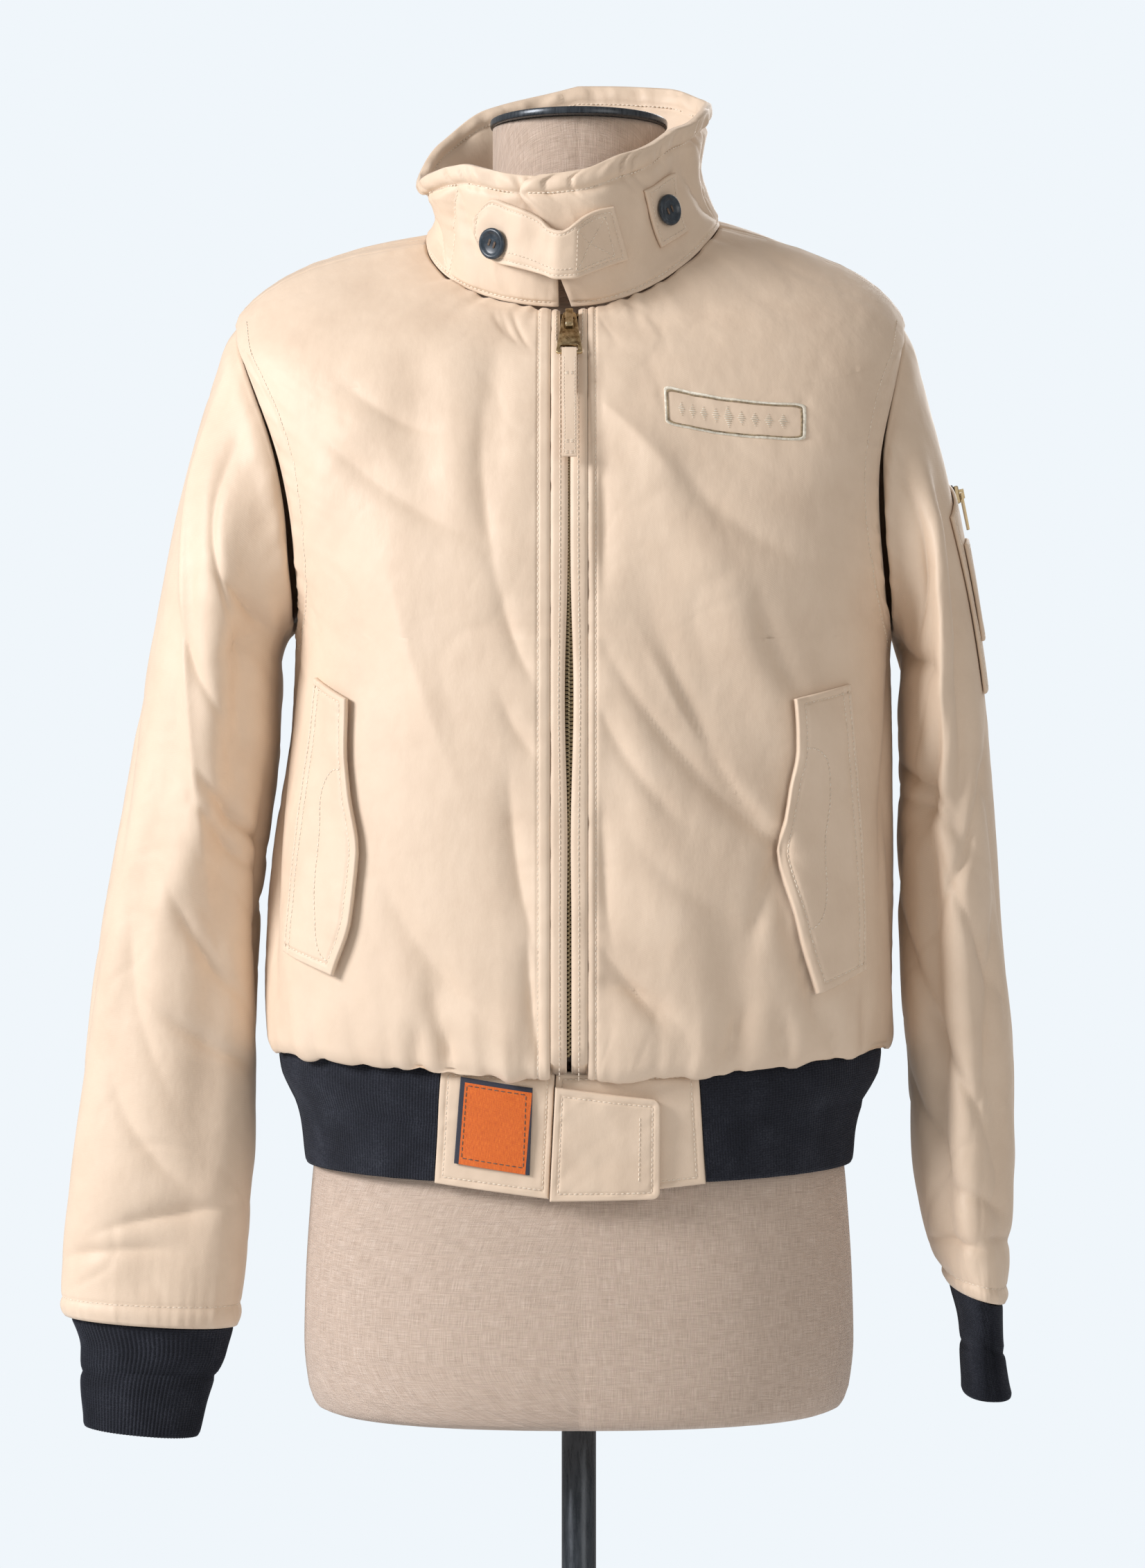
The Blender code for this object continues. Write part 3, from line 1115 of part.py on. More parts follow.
def dress_form(linen, steel, collection):
    """One smooth closed body on sections, with a socket for the pole in its underside."""
    turn = np.linspace(0, 2 * math.pi, FORM_SIDES, endpoint=False)[None, :]
    levels = [row[0] for row in FORM_ROWS]
    z = np.array(levels, float)[:, None]
    turn, z = np.broadcast_arrays(turn, z)
    rings = form_points(turn, z)
    faces = grid_faces(0, len(levels), FORM_SIDES, True)
    last = (len(levels) - 1) * FORM_SIDES
    faces.append(tuple(range(FORM_SIDES))[::-1])
    faces.append(tuple(last + k for k in range(FORM_SIDES)))
    form = mesh_object("dress_form", rings, faces, linen, collection)
    socket = bpy.data.meshes.new("pole_socket")
    work = bmesh.new()
    radius = (POLE_RADIUS + SEAM_GAP) * MM
    depth = 2 * (POLE_SOCKET + SEAM_GAP) * MM
    floor = Matrix.Translation(Vector((0, 0, levels[0])) * MM)
    bmesh.ops.create_cone(
        work, cap_ends=True, segments=24, radius1=radius, radius2=radius, depth=depth, matrix=floor
    )
    work.to_mesh(socket)
    work.free()
    cutter = bpy.data.objects.new("pole_socket", socket)
    CUTTERS.objects.link(cutter)
    add_boolean(form, cutter, "DIFFERENCE")
    top = levels[-1] + SEAM_GAP
    r, t = NECK_CAP_RADIUS, NECK_CAP_THICK
    cap = [(0, t - 1.6), (r - 4, t - 1.6), (r - 3, t), (r - 1, t), (r, t - 1), (r, 1), (r - 1, 0), (0, 0)]
    item = turned_object("neck_cap", cap, 28, steel, collection)
    item.location = (0, -3.0 * MM, top * MM)


def stand(steel, collection):
    """The pole stands in the hub of a round, weighted base."""
    top = FORM_ROWS[0][0] + POLE_SOCKET
    foot = BASE_EDGE + SEAM_GAP
    pole = [(0, top), (POLE_RADIUS - 1, top), (POLE_RADIUS, top - 1)]
    pole += [(POLE_RADIUS, foot + 1), (POLE_RADIUS - 1, foot), (0, foot)]
    turned_object("pole", pole, 24, steel, collection)
    bore = POLE_RADIUS + SEAM_GAP
    base = [(0, BASE_EDGE), (bore, BASE_EDGE), (bore, HUB_TOP), (HUB_RADIUS - 2, HUB_TOP)]
    base += [(HUB_RADIUS, HUB_TOP - 2), (HUB_RADIUS, BASE_TOP + 6), (HUB_RADIUS + 5, BASE_TOP + 1)]
    base += [(BASE_RADIUS - 12, BASE_EDGE + 1), (BASE_RADIUS - 2, BASE_EDGE), (BASE_RADIUS, BASE_EDGE - 2)]
    base += [(BASE_RADIUS, 0), (0, 0)]
    turned_object("base", base, 36, steel, collection)


# ---------------------------------------------------------------- everything
clear_scene()
PARTS = new_collection("bomber_jacket_on_dress_form")
CUTTERS = new_collection("cutters")
CUTTERS.hide_render = True


def build():
    cloth = new_material("sand_satin", SAND, 0.42)
    knit = new_material("navy_knit", NAVY, 0.9)
    linen = new_material("form_linen", LINEN, 0.85)
    brass = new_material("aged_brass", BRASS, 0.35, 1.0)
    steel = new_material("blackened_steel", STEEL, 0.4, 1.0)
    horn = new_material("button_plastic", NAVY, 0.3)
    woven = new_material("orange_woven", ORANGE, 0.6)
    tape = new_material("zip_tape", BROWN, 0.8)
    front_panels(cloth, PARTS)
    back_panel(cloth, PARTS)
    for side in ("right", "left"):
        sleeve_wall(side, cloth, PARTS)
        cuff_wall(side, knit, PARTS)
        pocket_flap(side, cloth, PARTS)
    collar_wall(cloth, PARTS)
    collar_trims(cloth, horn, PARTS)
    waistband(cloth, knit, woven, PARTS)
    zip_strips(cloth, tape, PARTS)
    pull_frame = zip_pull(slider_frame(), brass, PARTS)
    pull_strap(pull_frame, cloth, PARTS)
    sleeve_pockets(cloth, brass, tape, PARTS)
    dress_form(linen, steel, PARTS)
    stand(steel, PARTS)


build()
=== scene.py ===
"""A bomber jacket with a stand collar and knitted trims, worn by a limbless dress form on a pole stand.

The visible surfaces are worked out here from the same sizes as the solids, in millimetres, on much finer
grids, with their folds, puckered seams, stitching and ribs. The meshes are written in metres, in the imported
model's frame: +Z up, the front faces -Y, and the wearer's right is at -X.
"""

import math

import bmesh
import bpy
import numpy as np
from mathutils import Matrix, Vector


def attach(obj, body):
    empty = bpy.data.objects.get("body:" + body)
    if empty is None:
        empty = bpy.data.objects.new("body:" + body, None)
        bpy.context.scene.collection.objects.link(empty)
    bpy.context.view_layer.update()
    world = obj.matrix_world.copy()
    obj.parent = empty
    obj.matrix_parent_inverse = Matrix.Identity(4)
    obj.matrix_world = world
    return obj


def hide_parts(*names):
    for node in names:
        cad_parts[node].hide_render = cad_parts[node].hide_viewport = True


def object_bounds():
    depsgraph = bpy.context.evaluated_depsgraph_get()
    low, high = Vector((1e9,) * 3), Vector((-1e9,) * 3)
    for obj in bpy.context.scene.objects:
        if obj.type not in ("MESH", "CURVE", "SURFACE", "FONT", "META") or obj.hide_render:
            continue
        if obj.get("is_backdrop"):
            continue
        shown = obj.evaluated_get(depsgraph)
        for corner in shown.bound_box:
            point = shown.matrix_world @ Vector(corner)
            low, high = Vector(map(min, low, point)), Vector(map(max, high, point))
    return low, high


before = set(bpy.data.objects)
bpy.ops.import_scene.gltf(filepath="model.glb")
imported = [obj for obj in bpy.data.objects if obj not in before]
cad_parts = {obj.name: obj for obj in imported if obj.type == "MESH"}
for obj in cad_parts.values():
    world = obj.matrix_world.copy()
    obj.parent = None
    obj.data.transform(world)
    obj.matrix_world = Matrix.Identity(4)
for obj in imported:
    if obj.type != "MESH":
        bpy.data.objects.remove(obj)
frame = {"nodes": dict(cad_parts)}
CAD_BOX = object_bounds()

MM = 0.001
SEAM_GAP = 0.3

# ---------------------------------------------------------------- driving sizes
BODY_WALL = 3.0  # outer cloth, thin padding and lining together
SLEEVE_WALL = 2.6
COLLAR_WALL = 4.0
RIB_WALL = 2.0
CUFF_WALL = 2.2
FLAP_WALL = 2.4
TAB_WALL = 3.6
BODY_HALF = 158.0  # about how far the front pockets lie from the pole's axis

ZIP_X = -6.0  # the zip's line lies just off the pole's axis
STRIP_OUTER = 11.0  # from the zip's line to a zip strip's outer edge
STRIP_INNER = 0.7
TAPE_CLEAR = 0.8  # the zip's tape lies this far under the cloth

UNDERARM, SHOULDER, NECK = 276.0, 472.0, 605.0  # up the side from the hem seam
ARMHOLE_FRONT, ARMHOLE_BACK = 66.0, 70.0
ARMHOLE_POWER = 2.2

# ---------------------------------------------------------------- tables
# The jacket's body. "up" runs up the side seam from the hem seam. The sections lie at "z" at the sides, drop
# by "dip" at the centre front and rise by "rise" at the centre back. "tilt" lifts the wearer's left side and
# lowers the right, and the bends keep either front higher away from its centre. The first rows are the blouse
# over the knit.
BODY_COLUMNS = (
    "up", "z", "right", "left", "front", "back", "dip", "rise", "power", "tilt", "bend_r", "bend_l",
)
BODY_ROWS = (
    (0, 948, 187.0, 188.0, 122, 118, 12, 0, 2.4, 0, 3.5, 3.5),
    (8, 942, 192.0, 192.5, 129, 123, 12, 0, 2.4, 0, 3.5, 3.5),
    (17, 950, 195.5, 196.0, 135, 128, 12, 0, 2.4, 0, 3.5, 3.5),
    (46, 978, 196.5, 197.0, 139, 131, 11, 0, 2.4, 0, 3.5, 3.5),
    (101, 1031, 194.0, 197.0, 140, 131, 9, 0, 2.4, 0, 3.0, 3.0),
    (161, 1090, 188.0, 196.5, 138, 129, 8, 0, 2.4, 0, 2.0, 2.0),
    (221, 1150, 180.0, 196.0, 137, 129, 10, 0, 2.4, 0, 1.4, 1.4),
    (UNDERARM, 1205, 177.0, 195.0, 134, 129, 14, 0, 2.5, 0, 1.1, 1.1),
    (331, 1260, 187.0, 198.0, 130, 126, 23, 2, 2.6, 0, 1.0, 1.0),
    (392, 1320, 200.0, 201.0, 123, 120, 38, 5, 2.6, 0, 1.0, 1.0),
    (445, 1370, 212.0, 205.5, 113, 110, 52, 8, 2.5, 0, 1.0, 1.0),
    (SHOULDER, 1395, 215.5, 205.0, 106, 102, 58, 10, 2.4, 0, 1.0, 1.0),
    (497, 1415, 200.0, 192.0, 100, 95, 60, 11, 2.3, 0, 1.0, 1.05),
    (530, 1431, 171.0, 168.0, 92, 86, 61, 13, 2.2, -0.5, 1.0, 1.15),
    (562, 1442, 138.0, 138.0, 82, 74, 60, 16, 2.1, 0.5, 1.0, 1.3),
    (586, 1448, 115.0, 113.0, 75, 64, 57, 18, 2.0, 2.5, 1.0, 1.5),
    (NECK, 1452, 96.0, 88.5, 68, 55, 56, 19, 2.0, 4, 1.0, 1.6),
)

# The collar stands on the neck seam. Each row says how far the waist and the rim of the collar lie out from
# the seam and above it, at an angle round the neck: 0 is the centre front, 90 the wearer's left.
COLLAR_COLUMNS = ("turn", "waist_out", "waist_up", "rim_out", "rim_up")
COLLAR_ROWS = (
    (-180, 8, 42, 19, 84),
    (-135, 7, 36, 18, 72),
    (-112, 0, 27, 12, 52),
    (-90, -8, 18, 6, 35),
    (-68, -2, 29, 12, 60),
    (-56, 4, 35, 14, 73),
    (-45, 8, 38, 16, 79),
    (-20, 12, 38, 18, 77),
    (0, 12, 38, 18, 79.6),
    (20, 9, 41, 16, 87),
    (45, -6, 44, 2, 87),
    (66, -12, 38, -5, 77.5),
    (90, -14, 32, -7, 72),
    (112, -2, 34, 8, 73),
    (135, 7, 38, 18, 80),
    (180, 8, 42, 19, 84),
)
# Where the collar's two ends lie, in degrees round the neck, against the share of its height.
COLLAR_END_COLUMNS = ("share", "left_end", "right_end")
COLLAR_END_ROWS = (
    (0.0, -4.0, -10.6),
    (0.2, -8.0, -10.0),
    (0.5, -12.0, -8.5),
    (0.72, -18.5, -7.5),
    (0.86, -23.0, -6.5),
    (0.94, -21.5, -6.2),
    (1.0, -15.0, -6.0),
)
COLLAR_SEAT = 0.4
COLLAR_LAP = 5.2  # the left end stands this far out, over the right end
COLLAR_STITCH = 0.86  # share of the height where the rolled edge is stitched down
QUILT_CELLS = 12  # Vs of the zigzag quilting
QUILT_PUFF = 1.8
ROLL_PUFF = 1.3

# The knitted waistband and the two cloth panels at its front share these sections, from the seam down.
WAIST_COLUMNS = ("down", "z", "right", "left", "front", "back", "dip", "bend", "power")
WAIST_ROWS = (
    (0, 947.3, 186.4, 187.4, 121.4, 117.4, 12, 3.5, 2.4),
    (9, 939.0, 188.0, 189.0, 123.0, 119.0, 12, 3.5, 2.4),
    (19, 929.0, 187.0, 188.0, 122.5, 118.5, 11, 3.5, 2.4),
    (33, 916.0, 181.0, 182.0, 121.0, 118.0, 10, 3.5, 2.4),
    (46, 904.0, 175.5, 176.5, 120.0, 118.5, 8, 3.5, 2.4),
    (59, 891.0, 173.0, 173.5, 119.0, 119.0, 6, 3.5, 2.4),
    (79, 871.0, 170.8, 171.0, 118.0, 119.5, 4, 3.5, 2.4),
)
# Places across at the top and the bottom: the two panels' outer edges and the line where the tab starts.
WAIST_PANEL_LEFT_X = (74.1, 80.9)
WAIST_PANEL_RIGHT_X = (-87.5, -95.0)
WAIST_MEET_X = (-14.4, -18.1)
TAB_END_X = 48.6
TAB_TOP, TAB_LIFT = 9, 0.8
LABEL_RIGHT_X, LABEL_LEFT_X = (-72.5, -80.0), (-27.5, -30.0)
LABEL_TOP, LABEL_BOTTOM = 6, 66
LABEL_OUT, LABEL_WALL = 2.7, 0.9

# The sleeves. Each section is an oval between an outer and an inner point, "front" and "back" deep.
SLEEVE_COLUMNS = ("down", "outer_x", "outer_z", "inner_x", "inner_z", "mid_y", "front", "back", "power")
SLEEVE_RIGHT_ROWS = (
    (0, 215.5, 1394, 177.5, 1206, 0, 66, 70, 2.0),
    (25, 231, 1352, 184.5, 1192, 0, 70, 73, 2.1),
    (60, 243.5, 1306, 187, 1178, 0, 73, 75, 2.2),
    (110, 254, 1260, 187, 1158, -1, 75, 76, 2.2),
    (160, 263, 1212, 187, 1135, -3, 73, 75, 2.2),
    (210, 272, 1165, 189.5, 1110, -4, 70, 72, 2.2),
    (270, 281, 1112, 193, 1075, -6, 64, 66, 2.2),
    (330, 289.5, 1062, 196.5, 1036, -9, 57, 58, 2.2),
    (400, 299.5, 1000, 199.5, 985, -12, 50, 50, 2.2),
    (470, 308, 937, 201, 930, -15, 44, 44, 2.2),
    (530, 314.5, 880, 202.5, 876, -18, 40, 40, 2.2),
    (580, 319.5, 835, 205.5, 832, -20, 37, 37, 2.2),
    (615, 322, 800, 208.5, 799, -21, 35, 35, 2.2),
    (634, 320.5, 785, 211, 779, -22, 34.5, 34.5, 2.2),
    (641, 319, 777, 212.5, 770, -22, 34, 34, 2.2),
)
SLEEVE_LEFT_ROWS = (
    (0, 205, 1395, 195.5, 1206, 0, 66, 70, 2.0),
    (25, 217, 1350, 199.3, 1192, 0, 70, 73, 2.1),
    (60, 228.5, 1304, 200.5, 1178, 0, 74, 76, 2.2),
    (110, 238, 1255, 200.5, 1160, -1, 77, 77, 2.2),
    (160, 246.5, 1205, 200.3, 1135, -2, 77, 77, 2.2),
    (210, 253, 1158, 200.3, 1110, -2, 76, 76, 2.2),
    (270, 257.5, 1105, 200.5, 1075, -3, 73, 73, 2.2),
    (330, 262, 1050, 200.8, 1036, -4, 68, 68, 2.2),
    (400, 266.5, 990, 202, 985, -5, 64, 64, 2.2),
    (470, 271, 932, 206.5, 925, -6, 62, 62, 2.2),
    (530, 271.5, 880, 209, 872, -7, 61, 61, 2.2),
    (580, 269, 835, 217, 828, -8, 61, 61, 2.2),
    (615, 267, 807, 224, 809, -9, 60, 60, 2.2),
    (634, 265, 792, 229, 801, -9, 59.5, 59.5, 2.2),
    (641, 264.5, 785.5, 230.5, 795, -9, 59, 59, 2.2),
)
CUFF_RIGHT_ROWS = (
    (0, 315.5, 776.0, 214.5, 769.2, -22, 32.0, 32.0, 2.2),
    (20, 309.5, 756, 219, 752, -22, 28.5, 28.5, 2.2),
    (38, 309.5, 739, 227, 735, -22, 26, 26, 2.2),
    (70, 307.7, 708, 236, 701, -22, 24, 24, 2.2),
)
CUFF_LEFT_ROWS = (
    (0, 263.2, 784.5, 232.0, 794.0, -9, 57.0, 57.0, 2.2),
    (20, 263.8, 764, 237.5, 771, -9, 50, 50, 2.2),
    (40, 265.5, 747, 239, 750, -9, 43, 43, 2.2),
    (66, 269.8, 726, 239.5, 726, -9, 41, 41, 2.2),
)
RIB_HEIGHT = 0.9

# Large soft folds. On the body: angle round from the centre front (left is plus), height up, half length,
# half width, height of the ridge (troughs are minus) and lean from upright, in degrees.
# Columns: turn, up, length, width, rise, lean.
BODY_FOLDS = (
    (-24, 452, 70, 14, -3.0, 10),
    (-42, 440, 80, 17, -3.5, 14),
    (-58, 400, 70, 15, 3.0, -14),
    (36, 300, 120, 22, 3.0, 22),
    (26, 235, 110, 20, -3.0, 26),
    (44, 200, 90, 18, -3.5, 30),
    (18, 150, 90, 22, 3.0, 20),
    (36, 50, 60, 14, -5.0, 4),
    (-30, 34, 48, 12, -4.0, 12),
    (150, 70, 75, 20, -4.5, 10),
    (-150, 60, 70, 18, -4.5, -12),
    (178, 60, 60, 20, 4.0, 0),
    (130, 330, 120, 26, -4.0, 20),
    (-132, 320, 120, 26, -4.0, -20),
)
# On a sleeve: angle round from the outer side (90 is the front), distance down, then as above.
SLEEVE_RIGHT_FOLDS = (
    (122, 175, 120, 15, -7.0, 0),
    (88, 110, 140, 17, 4.5, -4),
    (64, 330, 150, 15, -4.0, 3),
    (96, 300, 90, 14, 3.5, 14),
    (120, 420, 150, 15, -4.0, 2),
    (100, 585, 24, 30, -3.0, 76),
    (230, 200, 130, 18, -6.0, 6),
    (262, 340, 150, 18, 4.0, -6),
    (300, 470, 120, 18, -4.0, 4),
)
SLEEVE_LEFT_FOLDS = (
    (62, 150, 130, 15, -8.0, -10),
    (86, 120, 120, 14, 6.0, -8),
    (112, 215, 60, 15, -6.5, -24),
    (104, 300, 80, 16, 6.0, 12),
    (128, 430, 190, 15, -8.0, -2),
    (92, 450, 160, 18, 4.0, -3),
    (60, 500, 120, 15, -3.5, 6),
    (235, 180, 130, 18, -6.0, -6),
    (268, 330, 150, 18, 4.0, 6),
    (300, 470, 120, 18, -4.0, -4),
)

# The dress form, from its flat underside to the top of the neck.
FORM_COLUMNS = ("z", "half", "front", "back", "dip", "rise", "power")
FORM_ROWS = (
    (717, 157, 98, 102, 0, 0, 2.3),
    (720, 164, 104, 108, 0, 0, 2.3),
    (732, 169.0, 108, 112, 0, 0, 2.3),
    (760, 171.8, 110, 115, 0, 0, 2.3),
    (800, 170.8, 111, 115, 0, 0, 2.3),
    (840, 168.4, 110, 114, 0, 0, 2.3),
    (870, 165.8, 109, 112, 0, 0, 2.3),
    (905, 160, 107, 108, 0, 0, 2.3),
    (960, 148, 101, 100, 0, 0, 2.2),
    (1020, 134, 92, 90, 0, 0, 2.2),
    (1075, 127, 88, 84, 0, 0, 2.2),
    (1130, 134, 94, 88, 0, 0, 2.2),
    (1190, 148, 107, 96, 4, 0, 2.2),
    (1240, 157, 112, 99, 12, 0, 2.2),
    (1300, 169, 106, 97, 28, 3, 2.2),
    (1355, 184, 93, 91, 42, 6, 2.2),
    (1390, 190, 84, 84, 50, 9, 2.1),
    (1411, 183, 78, 78, 53, 11, 2.1),
    (1425, 166, 72, 71, 54, 13, 2.0),
    (1434, 138, 65, 60, 54, 15, 2.0),
    (1438.5, 111, 59, 52, 51, 15, 2.0),
    (1444, 82, 53, 47, 44, 12, 2.0),
    (1460, 62, 50, 46, 32, 8, 2.0),
    (1487, 54, 49, 46, 12, 3, 2.0),
    (1516, 54, 50, 47, 0, 0, 2.0),
)
NECK_CAP_RADIUS, NECK_CAP_THICK = 55.5, 4.5

POLE_RADIUS = 10.8
POLE_SOCKET = 45.0  # how far the pole runs up into the form
BASE_RADIUS, BASE_EDGE, BASE_TOP = 180.0, 7.0, 12.0
HUB_RADIUS, HUB_TOP = 24.0, 50.0

# ---------------------------------------------------------------- tables and curves
def monotone(keys, values, at):
    """Values between a line of rows, along a cubic curve that never overshoots them."""
    values = np.asarray(values, float)
    at = np.clip(np.asarray(at, float), keys[0], keys[-1])
    step = np.diff(keys)
    step_all = step.reshape(-1, *([1] * (values.ndim - 1)))
    slope = np.diff(values, axis=0) / step_all
    both = slope[1:] * slope[:-1]
    mean = np.where(both > 0, 2 * both / np.where(both > 0, slope[1:] + slope[:-1], 1), 0)
    tangent = np.concatenate([slope[:1], mean, slope[-1:]])
    i = np.clip(np.searchsorted(keys, at, side="right") - 1, 0, len(step) - 1)
    t = ((at - keys[i]) / step[i]).reshape(at.shape + (1,) * (values.ndim - 1))
    start = (1 + 2 * t) * (1 - t) ** 2 * values[i] + t * (1 - t) ** 2 * step_all[i] * tangent[i]
    end = t * t * (3 - 2 * t) * values[i + 1] + t * t * (t - 1) * step_all[i] * tangent[i + 1]
    return start + end


class Table:
    """A short table with named columns, read by the first of them."""

    def __init__(self, names, rows):
        values = np.array(rows, float)
        self.keys = values[:, 0]
        self.columns = dict(zip(names, values.T))

    def read(self, name, at):
        return monotone(self.keys, self.columns[name], at)


BODY = Table(BODY_COLUMNS, BODY_ROWS)
COLLAR = Table(COLLAR_COLUMNS, COLLAR_ROWS)
COLLAR_ENDS = Table(COLLAR_END_COLUMNS, COLLAR_END_ROWS)
WAIST = Table(WAIST_COLUMNS, WAIST_ROWS)
FORM = Table(FORM_COLUMNS, FORM_ROWS)
SLEEVES = {"right": Table(SLEEVE_COLUMNS, SLEEVE_RIGHT_ROWS), "left": Table(SLEEVE_COLUMNS, SLEEVE_LEFT_ROWS)}
CUFFS = {"right": Table(SLEEVE_COLUMNS, CUFF_RIGHT_ROWS), "left": Table(SLEEVE_COLUMNS, CUFF_LEFT_ROWS)}
SLEEVE_FOLDS = {"right": SLEEVE_RIGHT_FOLDS, "left": SLEEVE_LEFT_FOLDS}
SIDE_SIGN = {"right": -1.0, "left": 1.0}


def smoothstep(x):
    x = np.clip(x, 0.0, 1.0)
    return x * x * (3 - 2 * x)


def points(x, y, z):
    return np.stack(np.broadcast_arrays(x, y, z), axis=-1).astype(float)


def paired(first, second):
    """Two sets of numbers as arrays of one shape."""
    return np.broadcast_arrays(np.asarray(first, float), np.asarray(second, float))


def unit(vectors):
    return vectors / np.linalg.norm(vectors, axis=-1, keepdims=True)


def half_turn(degrees):
    """The same angle, between -180 and 180."""
    return (degrees + 180) % 360 - 180


def ring_section(turn, right, left, front, back, power):
    """How far a rounded oval section reaches at an angle, and how near that is to its front or back."""
    sin, cos = np.sin(turn), np.cos(turn)
    half = np.where(sin < 0, right, left)
    depth = np.where(cos > 0, front, back)
    reach = ((np.abs(sin) / half) ** power + (np.abs(cos) / depth) ** power) ** (-1 / power)
    return reach, reach * np.abs(cos) / depth


def beside(turn, along, at_turn, at_along, lean, radius):
    """Distances across and down a leaning line on a tube of about that radius, from the line's middle."""
    x, y = np.radians(half_turn(np.degrees(turn) - at_turn)) * radius, along - at_along
    c, s = math.cos(math.radians(lean)), math.sin(math.radians(lean))
    return x * c + y * s, y * c - x * s


def soft_folds(folds, turn, along, radius):
    """Height of the soft ridges and troughs at a place on a tube of about that radius."""
    total = np.zeros(np.broadcast(turn, along).shape)
    for at_turn, at_along, length, width, rise, lean in folds:
        across, down = beside(turn, along, at_turn, at_along, lean, radius)
        total = total + rise * np.exp(-((across / width) ** 2) - (down / length) ** 4)
    return total


def moved_out(surface, a, b, out, step_a=0.01, step_b=1.0):
    """Points of a surface moved along its outward normal, which is worked out from close neighbours."""
    du = surface(a + step_a, b) - surface(a - step_a, b)
    dv = surface(a, b + step_b) - surface(a, b - step_b)
    return surface(a, b) + unit(np.cross(du, dv)) * np.asarray(out)[..., None]


# ---------------------------------------------------------------- surfaces
SECTION_COLUMNS = ("right", "left", "front", "back", "power")


def body_plain(turn, up):
    """The jacket's body without folds."""
    reach, share = ring_section(turn, *(BODY.read(n, up) for n in SECTION_COLUMNS))
    bend = np.where(np.sin(turn) > 0, BODY.read("bend_l", up), BODY.read("bend_r", up))
    share = share ** np.where(np.cos(turn) > 0, bend, 1.0)
    drop = np.where(np.cos(turn) > 0, -BODY.read("dip", up), BODY.read("rise", up)) * share
    drop = drop + BODY.read("tilt", up) * np.sin(turn)
    return points(reach * np.sin(turn), -reach * np.cos(turn), BODY.read("z", up) + drop)


def body(turn, up, out=0.0):
    """The jacket's body with its folds, which fade out at the seams, moved out by a distance."""
    turn, up = paired(turn, up)
    zip_side = np.abs(body_plain(turn, up)[..., 0] - ZIP_X)
    fade = smoothstep((zip_side - 22) / 30) + (np.cos(turn) < 0)
    fade = np.clip(fade, 0, 1) * smoothstep(up / 16) * smoothstep((NECK - up) / 50) * armhole_fade(turn, up)
    return moved_out(body_plain, turn, up, out + soft_folds(BODY_FOLDS, turn, up, 165) * fade)


def armhole_fade(turn, up):
    """0 round the armhole, 1 from 90 mm in front or behind and from 60 mm below the underarm."""
    side = np.abs(body_plain(turn, up)[..., 1])
    above = smoothstep((up - UNDERARM + 60) / 60)
    return 1 - above * (1 - smoothstep((side - 60) / 30))


def armhole_turn(share, side, face, inside=0.0):
    """Angle of the armhole's edge on the body, at a share of its height; face is +1 in front, -1 behind."""
    up = UNDERARM + inside + share * (SHOULDER - UNDERARM - 2 * inside)
    width = (1 - np.abs(2 * share - 1) ** ARMHOLE_POWER) ** (1 / ARMHOLE_POWER)
    inset = np.maximum((ARMHOLE_FRONT if face > 0 else ARMHOLE_BACK) * width - inside, 0.01)
    half, power = BODY.read(side, up), BODY.read("power", up)
    depth = BODY.read("front" if face > 0 else "back", up)
    x = half * (1 - (inset / depth) ** power) ** (1 / power)
    return SIDE_SIGN[side] * np.arctan2(x, inset * face)


def turn_at_x(x, up, surface=BODY):
    """Angle at which the front of a section reaches a place across."""
    return math.atan2(x, float(surface.read("front", up)))


def sleeve_oval(table, side, turn, down):
    """A sleeve or cuff as plain ovals; turn 0 is the outer side and 90 degrees the front."""
    sign = SIDE_SIGN[side]
    cos, sin = np.cos(turn), np.sin(turn)
    power = table.read("power", down)
    reach = (np.abs(cos) ** power + np.abs(sin) ** power) ** (-1 / power)
    along, deep = cos * reach, sin * reach
    outer = points(sign * table.read("outer_x", down), 0, table.read("outer_z", down))
    inner = points(sign * table.read("inner_x", down), 0, table.read("inner_z", down))
    depth = np.where(sin > 0, table.read("front", down), table.read("back", down))
    place = (outer + inner) / 2 + (outer - inner) / 2 * along[..., None]
    place[..., 1] = table.read("mid_y", down) - depth * deep
    return place


def armhole_loop(side, turn):
    """The line the sleeve is set in along: the armhole's edge, drawn in along the cloth by the seam gap."""
    inside = SEAM_GAP + 0.4
    share = np.clip((1 + np.cos(turn)) / 2, 1e-6, 1 - 1e-6)
    up = UNDERARM + inside + share * (SHOULDER - UNDERARM - 2 * inside)
    front, back = (armhole_turn(share, side, face, inside) for face in (+1, -1))
    return body_plain(np.where(np.sin(turn) > 0, front, back), up)


def sleeve_plain(side, turn, down):
    """The sleeve, which starts on the armhole's edge and settles into its ovals."""
    turn, down = paired(turn, down)
    table = SLEEVES[side]
    settle = armhole_loop(side, turn) - sleeve_oval(table, side, turn, np.zeros_like(down))
    return sleeve_oval(table, side, turn, down) + settle * np.exp(-((down / 34) ** 2))[..., None]


def sleeve(side, turn, down, out=0.0):
    turn, down = paired(turn, down)
    end = SLEEVES[side].keys[-1]
    fade = smoothstep(down / 60) * smoothstep((end - 8 - down) / 40)
    relief = soft_folds(SLEEVE_FOLDS[side], turn, down, 55) * fade
    flip = SIDE_SIGN[side]
    return moved_out(lambda a, b: sleeve_plain(side, a, b), turn, down, (out + relief) * flip)


def collar(turn, share, out=0.0):
    """The collar; share 0 is the neck seam and 1 the rim."""
    return moved_out(collar_plain, turn, share, out, step_b=0.02)


